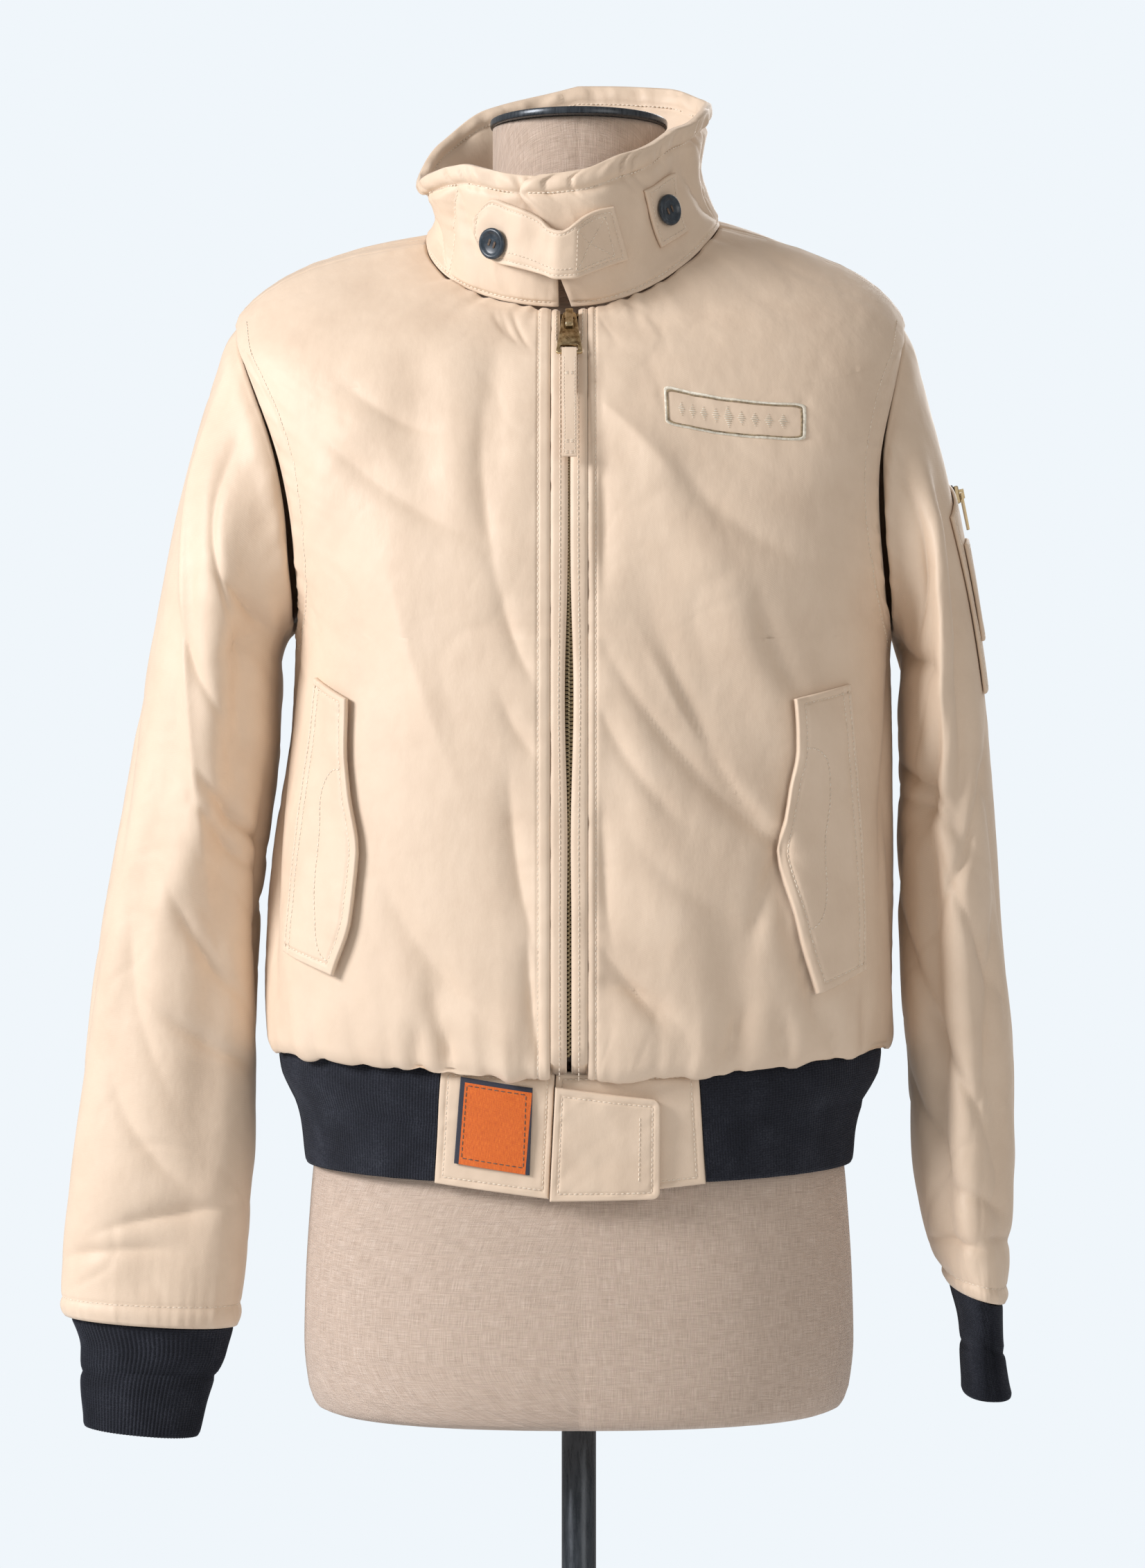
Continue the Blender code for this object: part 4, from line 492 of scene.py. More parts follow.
def collar_plain(turn, share):
    """The left end's lap grows from nothing at the seam, where both ends are sewn to the neck."""
    turn, share = paired(turn, share)
    degrees = half_turn(np.degrees(turn))
    seam = body_plain(turn, NECK)
    low, high = share * (2 - share * 2) * 2, share * (2 * share - 1)
    away = COLLAR.read("waist_out", degrees) * low + COLLAR.read("rim_out", degrees) * high
    rise = COLLAR.read("waist_up", degrees) * low + COLLAR.read("rim_up", degrees) * high
    lap = COLLAR_LAP * smoothstep((26 - degrees) / 26) * (turn < math.pi) * smoothstep(share / 0.22)
    radial = points(np.sin(turn), -np.cos(turn), 0)
    return seam + radial * (away + lap)[..., None] + points(0, 0, rise + SEAM_GAP + COLLAR_SEAT)


def waist(turn, down, out=0.0):
    return moved_out(waist_plain, turn, down, -np.asarray(out))


def waist_plain(turn, down):
    reach, share = ring_section(turn, *(WAIST.read(n, down) for n in SECTION_COLUMNS))
    drop = np.where(np.cos(turn) > 0, -WAIST.read("dip", down), 0) * share ** WAIST.read("bend", down)
    return points(reach * np.sin(turn), -reach * np.cos(turn), WAIST.read("z", down) + drop)


def frame_at(place, x_axis, z_axis):
    """A matrix in metres at a point in millimetres, from a direction across and one outward."""
    z_axis = Vector(z_axis).normalized()
    y_axis = z_axis.cross(Vector(x_axis)).normalized()
    x_axis = y_axis.cross(z_axis)
    matrix = Matrix((x_axis, y_axis, z_axis)).transposed().to_4x4()
    matrix.translation = Vector(place) * MM
    return matrix


def side_turns(rows, side, face):
    """Angles of a panel's outer edge: side seam, armhole, then shoulder seam."""
    turns = []
    for up in rows:
        share = (up - UNDERARM) / (SHOULDER - UNDERARM)
        if 0 < share < 1:
            turns.append(float(armhole_turn(share, side, face)))
        else:
            half = float(BODY.read(side, up))
            turns.append(SIDE_SIGN[side] * (math.pi / 2 - face * SEAM_GAP / 2 / half))
    return np.array(turns)


# The throat latch crosses the opening. Each row is one line across it, on the collar: the angle and the share
# of the height of its upper and lower edge, and how far they stand off. The first rows lie on the right end.
LATCH_COLUMNS = ("along", "top_turn", "top_share", "low_turn", "low_share", "lift")
LATCH_ROWS = (
    (0, 314.0, 0.60, 314.0, 0.52, 1.4),
    (1, 325.0, 0.79, 316.0, 0.38, 1.4),
    (2, 332.0, 0.77, 323.5, 0.31, 2.2),
    (3, -21.0, 0.73, -27.5, 0.29, 1.6),
    (4, -14.5, 0.67, -20.0, 0.27, 3.5),
    (5, -10.5, 0.60, -14.0, 0.25, 6.5),
    (6, -6.5, 0.58, -9.0, 0.23, 9.5),
    (7, -2.0, 0.63, -3.0, 0.23, 9.0),
    (8, 1.0, 0.67, 2.5, 0.25, 4.5),
    (9, 6.5, 0.70, 12.5, 0.28, 1.6),
    (10, 13.5, 0.69, 22.5, 0.28, 1.4),
)
LATCH_WALL = 2.6
# The corners of the square patch that holds the spare button, as angle and share of the collar's height: its
# lower edge, then its upper.
PATCH_CORNERS = (((43.5, 0.21), (61.0, 0.18)), ((29.0, 0.72), (54.5, 0.68)))
PATCH_SEAT, PATCH_WALL = 1.2, 1.8


def latch(along, across, out=0.0):
    """The throat latch, where across runs from 0 at its lower edge to 1 at its upper."""
    rows = [dict(zip(LATCH_COLUMNS, row)) for row in LATCH_ROWS]
    keys = np.array([row["along"] for row in rows], float)
    top, low = (
        np.array([collar(math.radians(r[f"{edge}_turn"]), r[f"{edge}_share"], r["lift"]) for r in rows])
        for edge in ("top", "low")
    )

    def plain(a, b):
        a, b = paired(a, b)
        upper, lower = monotone(keys, top, a), monotone(keys, low, a)
        return lower + (upper - lower) * b[..., None]

    return moved_out(plain, along, across, out, step_a=0.05, step_b=0.05)


def across_corners(corners, a, b):
    """A turn and a second measure inside four corners, at shares across and up."""
    a, b = (values[..., None] for values in paired(a, b))
    (low_near, low_far), (high_near, high_far) = np.array(corners, float)
    low, high = low_near + (low_far - low_near) * a, high_near + (high_far - high_near) * a
    spot = low + (high - low) * b
    return np.radians(spot[..., 0]), spot[..., 1]


def patch(along, across, out=0.0):
    """The button's patch, on the collar between its four corners."""

    def place(a, b):
        return collar_plain(*across_corners(PATCH_CORNERS, a, b))

    return moved_out(place, along, across, out, step_a=0.05, step_b=0.05)


BUTTON_HOLE_AT = 2.0  # from the button's middle to its holes, both ways

SLIDER_UP = 572.0  # up the side; the slider sits just under the neck seam


# The slider and its pull, in the slider's own frame: x across, y up along the zip, z out of the cloth.
SLIDER_SIZE = (9.6, 17.0, 4.2)
BRIDGE_WIDTH, BRIDGE_LENGTH, BRIDGE_THICK, BRIDGE_CLEAR = 4.6, 15.0, 1.8, 2.8
PULL_AXLE_Y, PULL_AXLE = 1.0, 4.2 + 1.5  # where the pull's top bar turns, up the zip and over the tape
PULL_OUTLINE = ((-4.6, 0.4), (4.6, 0.4), (5.2, -6.6), (8.2, -30.6), (-8.2, -30.6), (-5.2, -6.6))
PULL_THICK = 1.7
PULL_WINDOWS = ((0, -5.5, 6.2, 10.2), (0, -26.2, 10.6, 4.6))  # centre x, y, width, height
STRAP_WIDTH, STRAP_THICK, STRAP_LENGTH, STRAP_SHORT = 9.0, 1.1, 68.0, 24.0
STRAP_BAR_Y, STRAP_TURN = -29.5, 1.9  # where the strap turns round the pull's lowest bar, and how tightly
STRAP_SLOPE, STRAP_EASE, STRAP_SETTLE = 0.37, 14.0, 1.6


def slider_frame():
    turn = turn_at_x(ZIP_X, SLIDER_UP)
    place = body(turn, SLIDER_UP, -BODY_WALL - TAPE_CLEAR + 0.5)
    up = body(turn, SLIDER_UP + 12) - body(turn, SLIDER_UP - 25)
    across = np.array([1.0, 0, 0])
    return frame_at(place, across, np.cross(across, up))


def in_world(matrix, places):
    """Places given in a frame's own axes, in millimetres, as places in the model."""
    turning = np.array([[*row] for row in matrix])[:3, :3]
    return places @ turning.T + np.array(matrix.translation) / MM


def strap_leg(first_y, last_y, count, offset, settle=0.0):
    """Points down a leg of the strap in the pull's frame, which sinks onto the cloth away from the pull."""
    y = np.linspace(first_y, last_y, count)
    past = STRAP_BAR_Y - y
    sink = STRAP_SLOPE * past**2 / (past + STRAP_EASE)
    return list(zip(y, offset - sink - settle * smoothstep(past / 30)))


# A front pocket's flap: share of its length from the bottom, and how far its free edge reaches from the sewn
# edge; "turn" and "up" place the sewn edge on the body, "skew" lifts the free edge.
FLAP_COLUMNS = ("share", "turn", "up", "reach", "skew")
FLAP_RIGHT_ROWS = (
    (0.0, -68.0, 74, 39, -10),
    (0.19, -67.4, 108, 48, -8),
    (0.38, -66.9, 141, 49, -4),
    (0.62, -66.2, 183, 40, -6),
    (0.8, -65.6, 213, 34, -9),
    (1.0, -65.0, 247, 31, -12),
)
FLAP_LEFT_ROWS = (
    (0.0, 64.5, 64, 33.5, -11),
    (0.2, 64.6, 100, 45, -7),
    (0.42, 64.2, 141, 53, -3),
    (0.64, 63.0, 180, 44.5, -3),
    (0.8, 62.0, 209, 38, -5),
    (1.0, 61.0, 244, 37, -8),
)
FLAPS = {"right": Table(FLAP_COLUMNS, FLAP_RIGHT_ROWS), "left": Table(FLAP_COLUMNS, FLAP_LEFT_ROWS)}
FLAP_LIFT, FLAP_SEAT = 3.6, 0.6


def flap_place(side, share, across):
    """Where a place on a flap lies over the body, as a turn and a height up."""
    table = FLAPS[side]
    reach = np.degrees(table.read("reach", share) * across / BODY_HALF)
    turn = np.radians(table.read("turn", share) - SIDE_SIGN[side] * reach)
    return turn, table.read("up", share) + table.read("skew", share) * across


def flap(side, share, across, out=0.0):
    """A pocket flap from its sewn edge, across 0, to its free edge, which stands off the body."""
    share, across = paired(share, across)
    return body(*flap_place(side, share, across), out + FLAP_SEAT + FLAP_LIFT * across**2)


# The pocket on the outer side of the left sleeve: a patch with a slanted top, a pen pocket on its front and a
# zip. Each lies between two angles round the sleeve, from its two top corners down to its bottom.
PATCH_NAMES = ("first", "last", "top_first", "top_last", "bottom", "seat", "thick")
SLEEVE_POCKET = dict(zip(PATCH_NAMES, (-42.0, 36.0, 56.0, 84.0, 202.0, 0.9, 2.0)))
PEN_POCKET = dict(zip(PATCH_NAMES, (1.0, 31.0, 106.0, 106.0, 168.0, 3.3, 2.2)))
SLEEVE_ZIP = dict(zip(PATCH_NAMES, (-12.0, -5.0, 70.0, 70.0, 192.0, 3.3, 1.2)))


def form_points(turn, z):
    read = [FORM.read(n, z) for n in ("half", "half", "front", "back", "power")]
    reach, share = ring_section(turn, *read)
    drop = np.where(np.cos(turn) > 0, -FORM.read("dip", z), FORM.read("rise", z)) * share
    return points(reach * np.sin(turn), -reach * np.cos(turn), z + drop)


# ---------------------------------------------------------------- fine relief
def scatter(number):
    """A value between -1 and 1 that jumps about as the number grows."""
    wave = np.sin(number) * 43758.5453
    return 2 * (wave - np.floor(wave)) - 1


def noise(x, seed, period):
    """Smooth wandering values between -1 and 1 along a line."""
    x = np.asarray(x, float) / period + seed * 17.31
    cell = np.floor(x)
    ease = smoothstep(x - cell)
    low, high = (scatter((cell + k) * 127.1 + seed * 311.7) for k in (0, 1))
    return low * (1 - ease) + high * ease


def noise2(x, y, seed, period_x, period_y):
    """The same over a surface."""
    x, y = paired(x, y)
    x, y = x / period_x + seed * 7.7, y / period_y + seed * 3.1
    i, j = np.floor(x), np.floor(y)
    u, v = smoothstep(x - i), smoothstep(y - j)

    def row(b):
        low, high = (scatter((i + k) * 127.1 + b * 269.5 + seed * 311.7) for k in (0, 1))
        return low * (1 - u) + high * u

    return row(j) * (1 - v) + row(j + 1) * v


def wrinkles(x, y, seed, period_x, period_y):
    """Thin troughs that wander over a surface, where a smooth pattern crosses its middle."""
    away = np.abs(noise2(x, y, seed, period_x, period_y))
    strength = 0.5 + 0.5 * noise2(x, y, seed + 40, period_x * 1.7, period_y * 1.7)
    return -np.exp(-((away / 0.13) ** 2)) * strength


def dip(distance, depth, width):
    """A soft groove along a line that lies at that distance, or a ridge where the depth is minus."""
    return -depth * np.exp(-((distance / width) ** 2))


def puckers(along, distance, seed, height=0.45, reach=9.0, period=7.0):
    """Small uneven ripples across a line of stitching, strongest at the line."""
    ripple = noise(along, seed, period) + 0.5 * noise(along, seed + 5, period * 0.47)
    return height * ripple * np.exp(-np.abs(distance) / reach)


def stitched(along, distance, seed, height=0.65, reach=9.0, period=7.0, groove=0.8):
    """The puckers along a line of stitching and the groove it lies in."""
    return puckers(along, distance, seed, height, reach, period) + dip(distance, groove, 0.9)


def creases(rows, turn, along, radius):
    """Curved creases: a sharp-sided ridge or trough whose line bows, and which fades at both ends."""
    total = np.zeros(np.broadcast(turn, along).shape)
    for at_turn, at_along, length, width, rise, lean, bow in rows:
        across, down = beside(turn, along, at_turn, at_along, lean, radius)
        across = across - bow * ((down / length) ** 2 - 0.3)
        profile = np.exp(-np.abs(across / width) ** 1.3)
        total = total + rise * profile * np.exp(-np.abs(down / length) ** 3)
    return total


# ---------------------------------------------------------------- meshes
def eased(count, sharp=0.13):
    """Shares from 0 to 1 that lie closer together near both ends."""
    share = np.linspace(0, 1, count)
    return share - sharp * np.sin(2 * math.pi * share)


def grid_quads(first, rows, columns, around):
    """Quads over a grid of points whose first index is given, as an array of four indices each."""
    row = np.arange(rows - 1)[:, None]
    column = np.arange(columns if around else columns - 1)[None, :]
    after = (column + 1) % columns
    low, high = first + row * columns, first + (row + 1) * columns
    quads = np.stack(np.broadcast_arrays(low + column, low + after, high + after, high + column), axis=-1)
    return quads.reshape(-1, 4)


def linked(name, data):
    item = bpy.data.objects.new(name, data)
    bpy.context.scene.collection.objects.link(item)
    return item


def new_object(name, vertices, faces, material, uvs=None):
    """An object from points in millimetres. The UVs are also millimetres, one pair for each face's corner."""
    mesh = bpy.data.meshes.new(name)
    mesh.from_pydata((np.asarray(vertices, float).reshape(-1, 3) * MM).tolist(), [], faces)
    if uvs is not None:
        layer = mesh.uv_layers.new(name="cloth")
        layer.data.foreach_set("uv", np.asarray(uvs, np.float32).ravel())
    work = bmesh.new()
    work.from_mesh(mesh)
    bmesh.ops.recalc_face_normals(work, faces=work.faces)
    if work.calc_volume(signed=True) < 0:
        bmesh.ops.reverse_faces(work, faces=work.faces)
    work.to_mesh(mesh)
    work.free()
    mesh.shade_smooth()
    mesh.materials.append(material)
    return linked(name, mesh)


def lengths(grid, axis):
    """Distance along a path, or along each line of a grid, from its first point."""
    step = np.linalg.norm(np.diff(grid, axis=axis), axis=-1)
    zero = np.zeros_like(np.take(step, [0], axis=axis))
    return np.concatenate([zero, np.cumsum(step, axis=axis)], axis=axis)


BEFORE_LAST, AFTER_FIRST = slice(None, -1), slice(1, None)
CORNERS = ((BEFORE_LAST, BEFORE_LAST), (BEFORE_LAST, AFTER_FIRST), (AFTER_FIRST, AFTER_FIRST),
           (AFTER_FIRST, BEFORE_LAST))


def grid_uvs(grid, around, even=False):
    """The corners of a grid's faces as distances across and down it, with even columns where asked for."""
    full = np.concatenate([grid, grid[:, :1]], axis=1) if around else grid
    u, v = lengths(full, 1), lengths(full, 0)
    if even:
        u = np.broadcast_to(u.mean(axis=0), u.shape)
    cells = [np.stack([u[i, j], v[i, j]], axis=-1) for i, j in CORNERS]
    return np.stack(cells, axis=2).reshape(-1, 2)


def shell(name, outer, inner, material, around=False):
    """A closed cloth wall: a fine outer grid and an inner one that is coarser by a whole factor."""
    (rows, columns), (inner_rows, inner_columns) = outer.shape[:2], inner.shape[:2]
    start = rows * columns
    faces = grid_quads(0, rows, columns, around).tolist()
    faces += grid_quads(start, inner_rows, inner_columns, around)[:, ::-1].tolist()
    inner_uvs = grid_uvs(inner, around).reshape(-1, 4, 2)[:, ::-1].reshape(-1, 2)
    uvs = [grid_uvs(outer, around, even=around), inner_uvs]

    def join(outer_line, inner_line):
        ratio = (len(outer_line) - 1) // (len(inner_line) - 1)
        for k in range(len(inner_line) - 1):
            face = [*outer_line[k * ratio : (k + 1) * ratio + 1], inner_line[k + 1], inner_line[k]]
            faces.append(face)
            uvs.append(np.zeros((len(face), 2)))

    def row_line(first, count):
        line = list(range(first, first + count))
        return line + line[:1] if around else line

    for row, inner_row in ((0, 0), (rows - 1, inner_rows - 1)):
        join(row_line(row * columns, columns), row_line(start + inner_row * inner_columns, inner_columns))
    if not around:
        for column, inner_column in ((0, 0), (columns - 1, inner_columns - 1)):
            join(
                [row * columns + column for row in range(rows)],
                [start + row * inner_columns + inner_column for row in range(inner_rows)],
            )
    everything = np.concatenate([outer.reshape(-1, 3), inner.reshape(-1, 3)])
    return new_object(name, everything, faces, material, np.concatenate(uvs))


INNER_STEP = 4  # an inner grid takes every fourth row and column


def wall_of(name, cloth, first, second, thick, material, around=False):
    """A shell on a surface: cloth(first, second, out) at each pair of places, and again one wall in."""
    inner = cloth(first[::INNER_STEP, ::INNER_STEP], second[::INNER_STEP, ::INNER_STEP], -thick)
    return shell(name, cloth(first, second, 0.0), inner, material, around)


def keep(item, *nodes, slot="sand_satin", body="root"):
    """The piece rides on a body and stands for the nodes it replaces; its slot is not used."""
    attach(item, body)
    if nodes:
        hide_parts(*nodes)
    return item


# ---------------------------------------------------------------- stitches
STITCH_RINGS = ((-1.0, 0.35), (-0.6, 0.95), (0.6, 0.95), (1.0, 0.35))
STITCH_SIDES = 5


def stitch_points(path, raised, pitch, share):
    """Centre, half length direction and outward direction of each stitch along a path of points."""
    along = lengths(path, 0)
    count = max(1, int(along[-1] / pitch))
    middle = (np.arange(count) + 0.5) * along[-1] / count
    half = 0.5 * share * along[-1] / count

    def at(where, values):
        return np.stack([np.interp(where, along, values[:, axis]) for axis in range(3)], axis=-1)

    start, end = at(middle - half, path), at(middle + half, path)
    return (start + end) / 2, (end - start) / 2, unit(at(middle, raised - path))


def stitch_object(name, lines, material, pitch, radius, share=0.72, **kept):
    """One mesh of short plump threads along lines, each a path and the same path one millimetre out."""
    turn = np.linspace(0, 2 * math.pi, STITCH_SIDES, endpoint=False)[None, :, None]
    one, each = grid_quads(0, len(STITCH_RINGS), STITCH_SIDES, True), len(STITCH_RINGS) * STITCH_SIDES
    first_cap = np.arange(STITCH_SIDES)[::-1]
    last_cap = each - STITCH_SIDES + np.arange(STITCH_SIDES)
    vertices, faces, count = [], [], 0
    for path, raised in lines:
        centre, half, out = stitch_points(np.asarray(path), np.asarray(raised), pitch, share)
        side = unit(np.cross(half, out))
        ring = side[:, None] * np.cos(turn) * radius * 1.15 + out[:, None] * np.sin(turn) * radius
        rings = [(centre + half * place)[:, None] + ring * size for place, size in STITCH_RINGS]
        vertices.append(np.stack(rings, axis=1).reshape(-1, 3))
        starts = count + np.arange(len(centre))[:, None] * each
        faces += (one[None] + starts[..., None]).reshape(-1, 4).tolist()
        faces += (first_cap + starts).tolist()
        faces += (last_cap + starts).tolist()
        count += len(vertices[-1])
    return keep(new_object(name, np.concatenate(vertices), faces, material), **kept)


def line_on(cloth, first, second, lift=0.12):
    """A stitch line's two paths on a surface, from a list of places."""
    first, second = np.asarray(first, float), np.asarray(second, float)
    return cloth(first, second, lift), cloth(first, second, lift + 1.0)


def between(start, end, count=60):
    return np.linspace(start, end, count)


# ---------------------------------------------------------------- creases of the body and the sleeves
# Each crease's middle, half length, half width, height (troughs are minus), lean from upright in degrees and
# how far its middle bows aside. Turn is in degrees round from the centre front, or from a sleeve's outer
# side.
# Columns: turn, along, length, width, rise, lean, bow.
FRONT_CREASES = (
    # the wearer's right front
    (-28, 556, 27, 3.5, -1.0, 34, 0),
    (-24, 556, 30, 3.5, -1.0, 30, 0),
    (-32, 563, 22, 3.5, -0.8, 38, 0),
    (-25, 386, 70, 10, -2.4, 9, 2),
    (-16, 276, 30, 6, -1.8, 22, 3),
    (-15, 218, 22, 6, -1.8, 36, 3),
    (-15, 140, 45, 8, -2.6, 10, 3),
    (-33, 40, 24, 6, -2.2, 12, 2),
    (-11, 48, 42, 6, -2.6, 8, 3),
    (-38, 20, 20, 6, -2.4, -8, 0),
    (-32, 18, 18, 6, -2.2, -8, 0),
    (-46, 389, 55, 9, -2.2, 49, 6),
    (-50, 456, 32, 8, -1.7, 58, 4),
    (-38, 252, 66, 11, 1.8, 19, 4),
    (-34, 79, 50, 9, -2.2, 39, 6),
    (-78, 140, 90, 9, -2.4, 8, 4),
    (-82, 232, 60, 8, -2.0, -20, 3),
    # the wearer's left front
    (6, 366, 46, 10, -2.4, 0, 0),
    (45, 270, 36, 7, -3.0, 21, 4),
    (33, 199, 70, 6, -2.6, 30, 6),
    (26, 200, 75, 6, -2.4, 43, 6),
    (14, 194, 42, 6, -2.0, 39, 4),
    (30, 212, 66, 6, 1.8, 37, 6),
    (42, 116, 34, 6, -2.6, -18, 3),
    (46, 108, 40, 6, -2.2, 4, 2),
    (51, 62, 34, 4, -2.4, 16, 2),
    (36, 30, 20, 4, -2.6, -14, 0),
    (58, 24, 18, 4, -2.4, 18, 0),
    (15, 58, 32, 7, -2.6, 62, -6),
    (13, 63, 30, 5, -2.0, 43, 0),
    (47, 22, 22, 5, -2.8, 12, 0),
    (66, 31, 20, 6, -2.4, 7, 0),
    (17, 436, 42, 12, 2.0, 37, -4),
    (38, 364, 46, 10, -1.8, 41, 6),
    (6, 134, 38, 8, -1.8, 5, 2),
    (26, 121, 42, 9, -1.8, 57, 5),
    (76, 190, 85, 8, -2.4, -10, 4),
    (80, 110, 60, 9, -2.2, 12, 3),
)
BACK_CREASES = (
    (110, 250, 80, 9, -2.8, 28, 6),
    (122, 190, 80, 8, -2.2, 40, 6),
    (138, 130, 60, 9, -2.2, 30, 4),
    (-110, 245, 85, 9, -2.8, -30, -6),
    (-124, 180, 75, 8, -2.4, -42, -6),
    (-140, 120, 55, 9, -2.0, -26, -4),
    (168, 400, 90, 12, -2.0, 12, 4),
    (-165, 330, 100, 12, -1.8, -10, -4),
    (176, 210, 80, 10, 1.8, 6, 5),
    (155, 50, 40, 7, -2.8, -8, 0),
    (-170, 44, 38, 7, -2.6, 6, 0),
    (-152, 52, 44, 8, -2.8, 12, 0),
    (130, 46, 36, 7, -2.6, 10, 0),
    (-126, 40, 34, 7, -2.6, -8, 0),
    (104, 44, 36, 8, -2.4, 4, 0),
    (-104, 46, 38, 8, -2.4, 2, 0),
    (150, 520, 40, 8, -1.4, 30, 2),
    (-150, 518, 38, 8, -1.4, -30, -2),
)
SLEEVE_RIGHT_CREASES = (
    (64, 150, 155, 5, 2.0, -16, -4),
    (118, 55, 30, 6, -2.8, 51, 0),
    (122, 86, 50, 6, -3.0, 23, 0),
    (126, 262, 42, 7, -3.4, -62, 4),
    (118, 286, 36, 6, -2.4, -54, 4),
    (168, 334, 100, 8, -3.2, -8, 3),
    (70, 50, 46, 7, -2.2, -30, 6),
    (110, 378, 46, 7, -2.6, -40, 4),
    (119, 451, 40, 6, -2.4, -64, 3),
    (78, 163, 30, 7, -2.0, -46, 3),
    (80, 520, 40, 7, -2.2, -40, 4),
    (100, 572, 46, 6, -2.4, 78, 3),
    (60, 596, 40, 5, -2.0, 84, 2),
    (70, 430, 60, 9, -1.8, -20, 5),
    (215, 120, 60, 8, -2.8, 30, 5),
    (225, 260, 50, 7, -2.8, 56, 5),
    (205, 320, 55, 7, -2.6, 44, 4),
    (250, 420, 70, 8, -2.4, 24, 5),
    (230, 530, 50, 7, -2.4, 60, 4),
    (330, 300, 90, 9, -1.6, 10, 4),
    (20, 250, 90, 9, -1.6, -12, -4),
    (10, 470, 80, 8, -1.6, 10, 4),
    (280, 580, 44, 6, -2.2, 78, 3),
)
SLEEVE_LEFT_CREASES = (
    (86, 40, 40, 7, -2.4, -42, 4),
    (140, 80, 80, 7, -2.8, 29, -5),
    (130, 235, 58, 7, -3.2, 46, 5),
    (120, 262, 46, 6, -2.4, 52, 5),
    (146, 404, 66, 8, -3.0, 23, 4),
    (95, 148, 88, 6, 2.2, -7, -4),
    (150, 500, 50, 7, -2.6, 40, 3),
    (72, 290, 70, 7, -2.4, -36, 5),
    (80, 360, 60, 7, -2.6, 30, -5),
    (60, 420, 80, 8, -2.4, -16, 4),
    (104, 470, 60, 7, -2.6, 38, 4),
    (84, 556, 44, 6, -2.4, 74, 3),
    (120, 588, 40, 5, -2.2, 84, 2),
    (40, 590, 40, 6, -2.0, 80, 2),
    (30, 330, 80, 8, -2.0, 14, 4),
    (215, 110, 60, 8, -2.8, -30, 5),
    (228, 250, 50, 7, -2.8, -56, 5),
    (208, 330, 55, 7, -2.6, -44, 4),
    (250, 430, 70, 8, -2.4, -24, 5),
    (232, 520, 50, 7, -2.4, -60, 4),
    (330, 400, 90, 9, -1.8, -10, 4),
    (285, 575, 44, 6, -2.2, -78, 3),
)
SLEEVE_CREASES = {"right": SLEEVE_RIGHT_CREASES, "left": SLEEVE_LEFT_CREASES}
BODY_RADIUS, SLEEVE_RADIUS = 165.0, 58.0

# ---------------------------------------------------------------- the body's cloth
CREASE_GAIN = 1.75  # the satin is thin over its padding, so its creases run deeper than the padding's folds
SEAM_DIP, SEAM_WIDTH = 1.7, 4.5  # how deep and how wide the cloth pulls in at a seam
ARM_STITCH = 14.0  # from the armhole's seam to its topstitch
SIDE_STITCH = 6.0
PLACKET_STITCH = {"right": 7.7, "left": 4.8}  # from a front's zip edge to its topstitch
HEM_GATHER, HEM_PERIOD, HEM_REACH = 3.2, 15.0, 30.0
NECK_GATHER, NECK_PERIOD, NECK_REACH = 1.3, 11.0, 24.0
FAR = 200.0  # stands for a seam that isn't near


def armhole_distance(side, turn, up):
    """About how far a place on the body lies from the armhole's edge."""
    y = body_plain(turn, up)[..., 1]
    depth = np.where(y < 0, ARMHOLE_FRONT, ARMHOLE_BACK)
    share = (up - UNDERARM) / (SHOULDER - UNDERARM)
    high = np.abs(2 * share - 1)
    ring = (high**ARMHOLE_POWER + np.abs(y / depth) ** ARMHOLE_POWER) ** (1 / ARMHOLE_POWER)
    half = (SHOULDER - UNDERARM) / 2
    away = (ring - 1) / np.maximum(ring, 1e-6) * np.hypot(half * high, y)
    return np.where(np.sin(turn) * SIDE_SIGN[side] > 0, away, FAR)


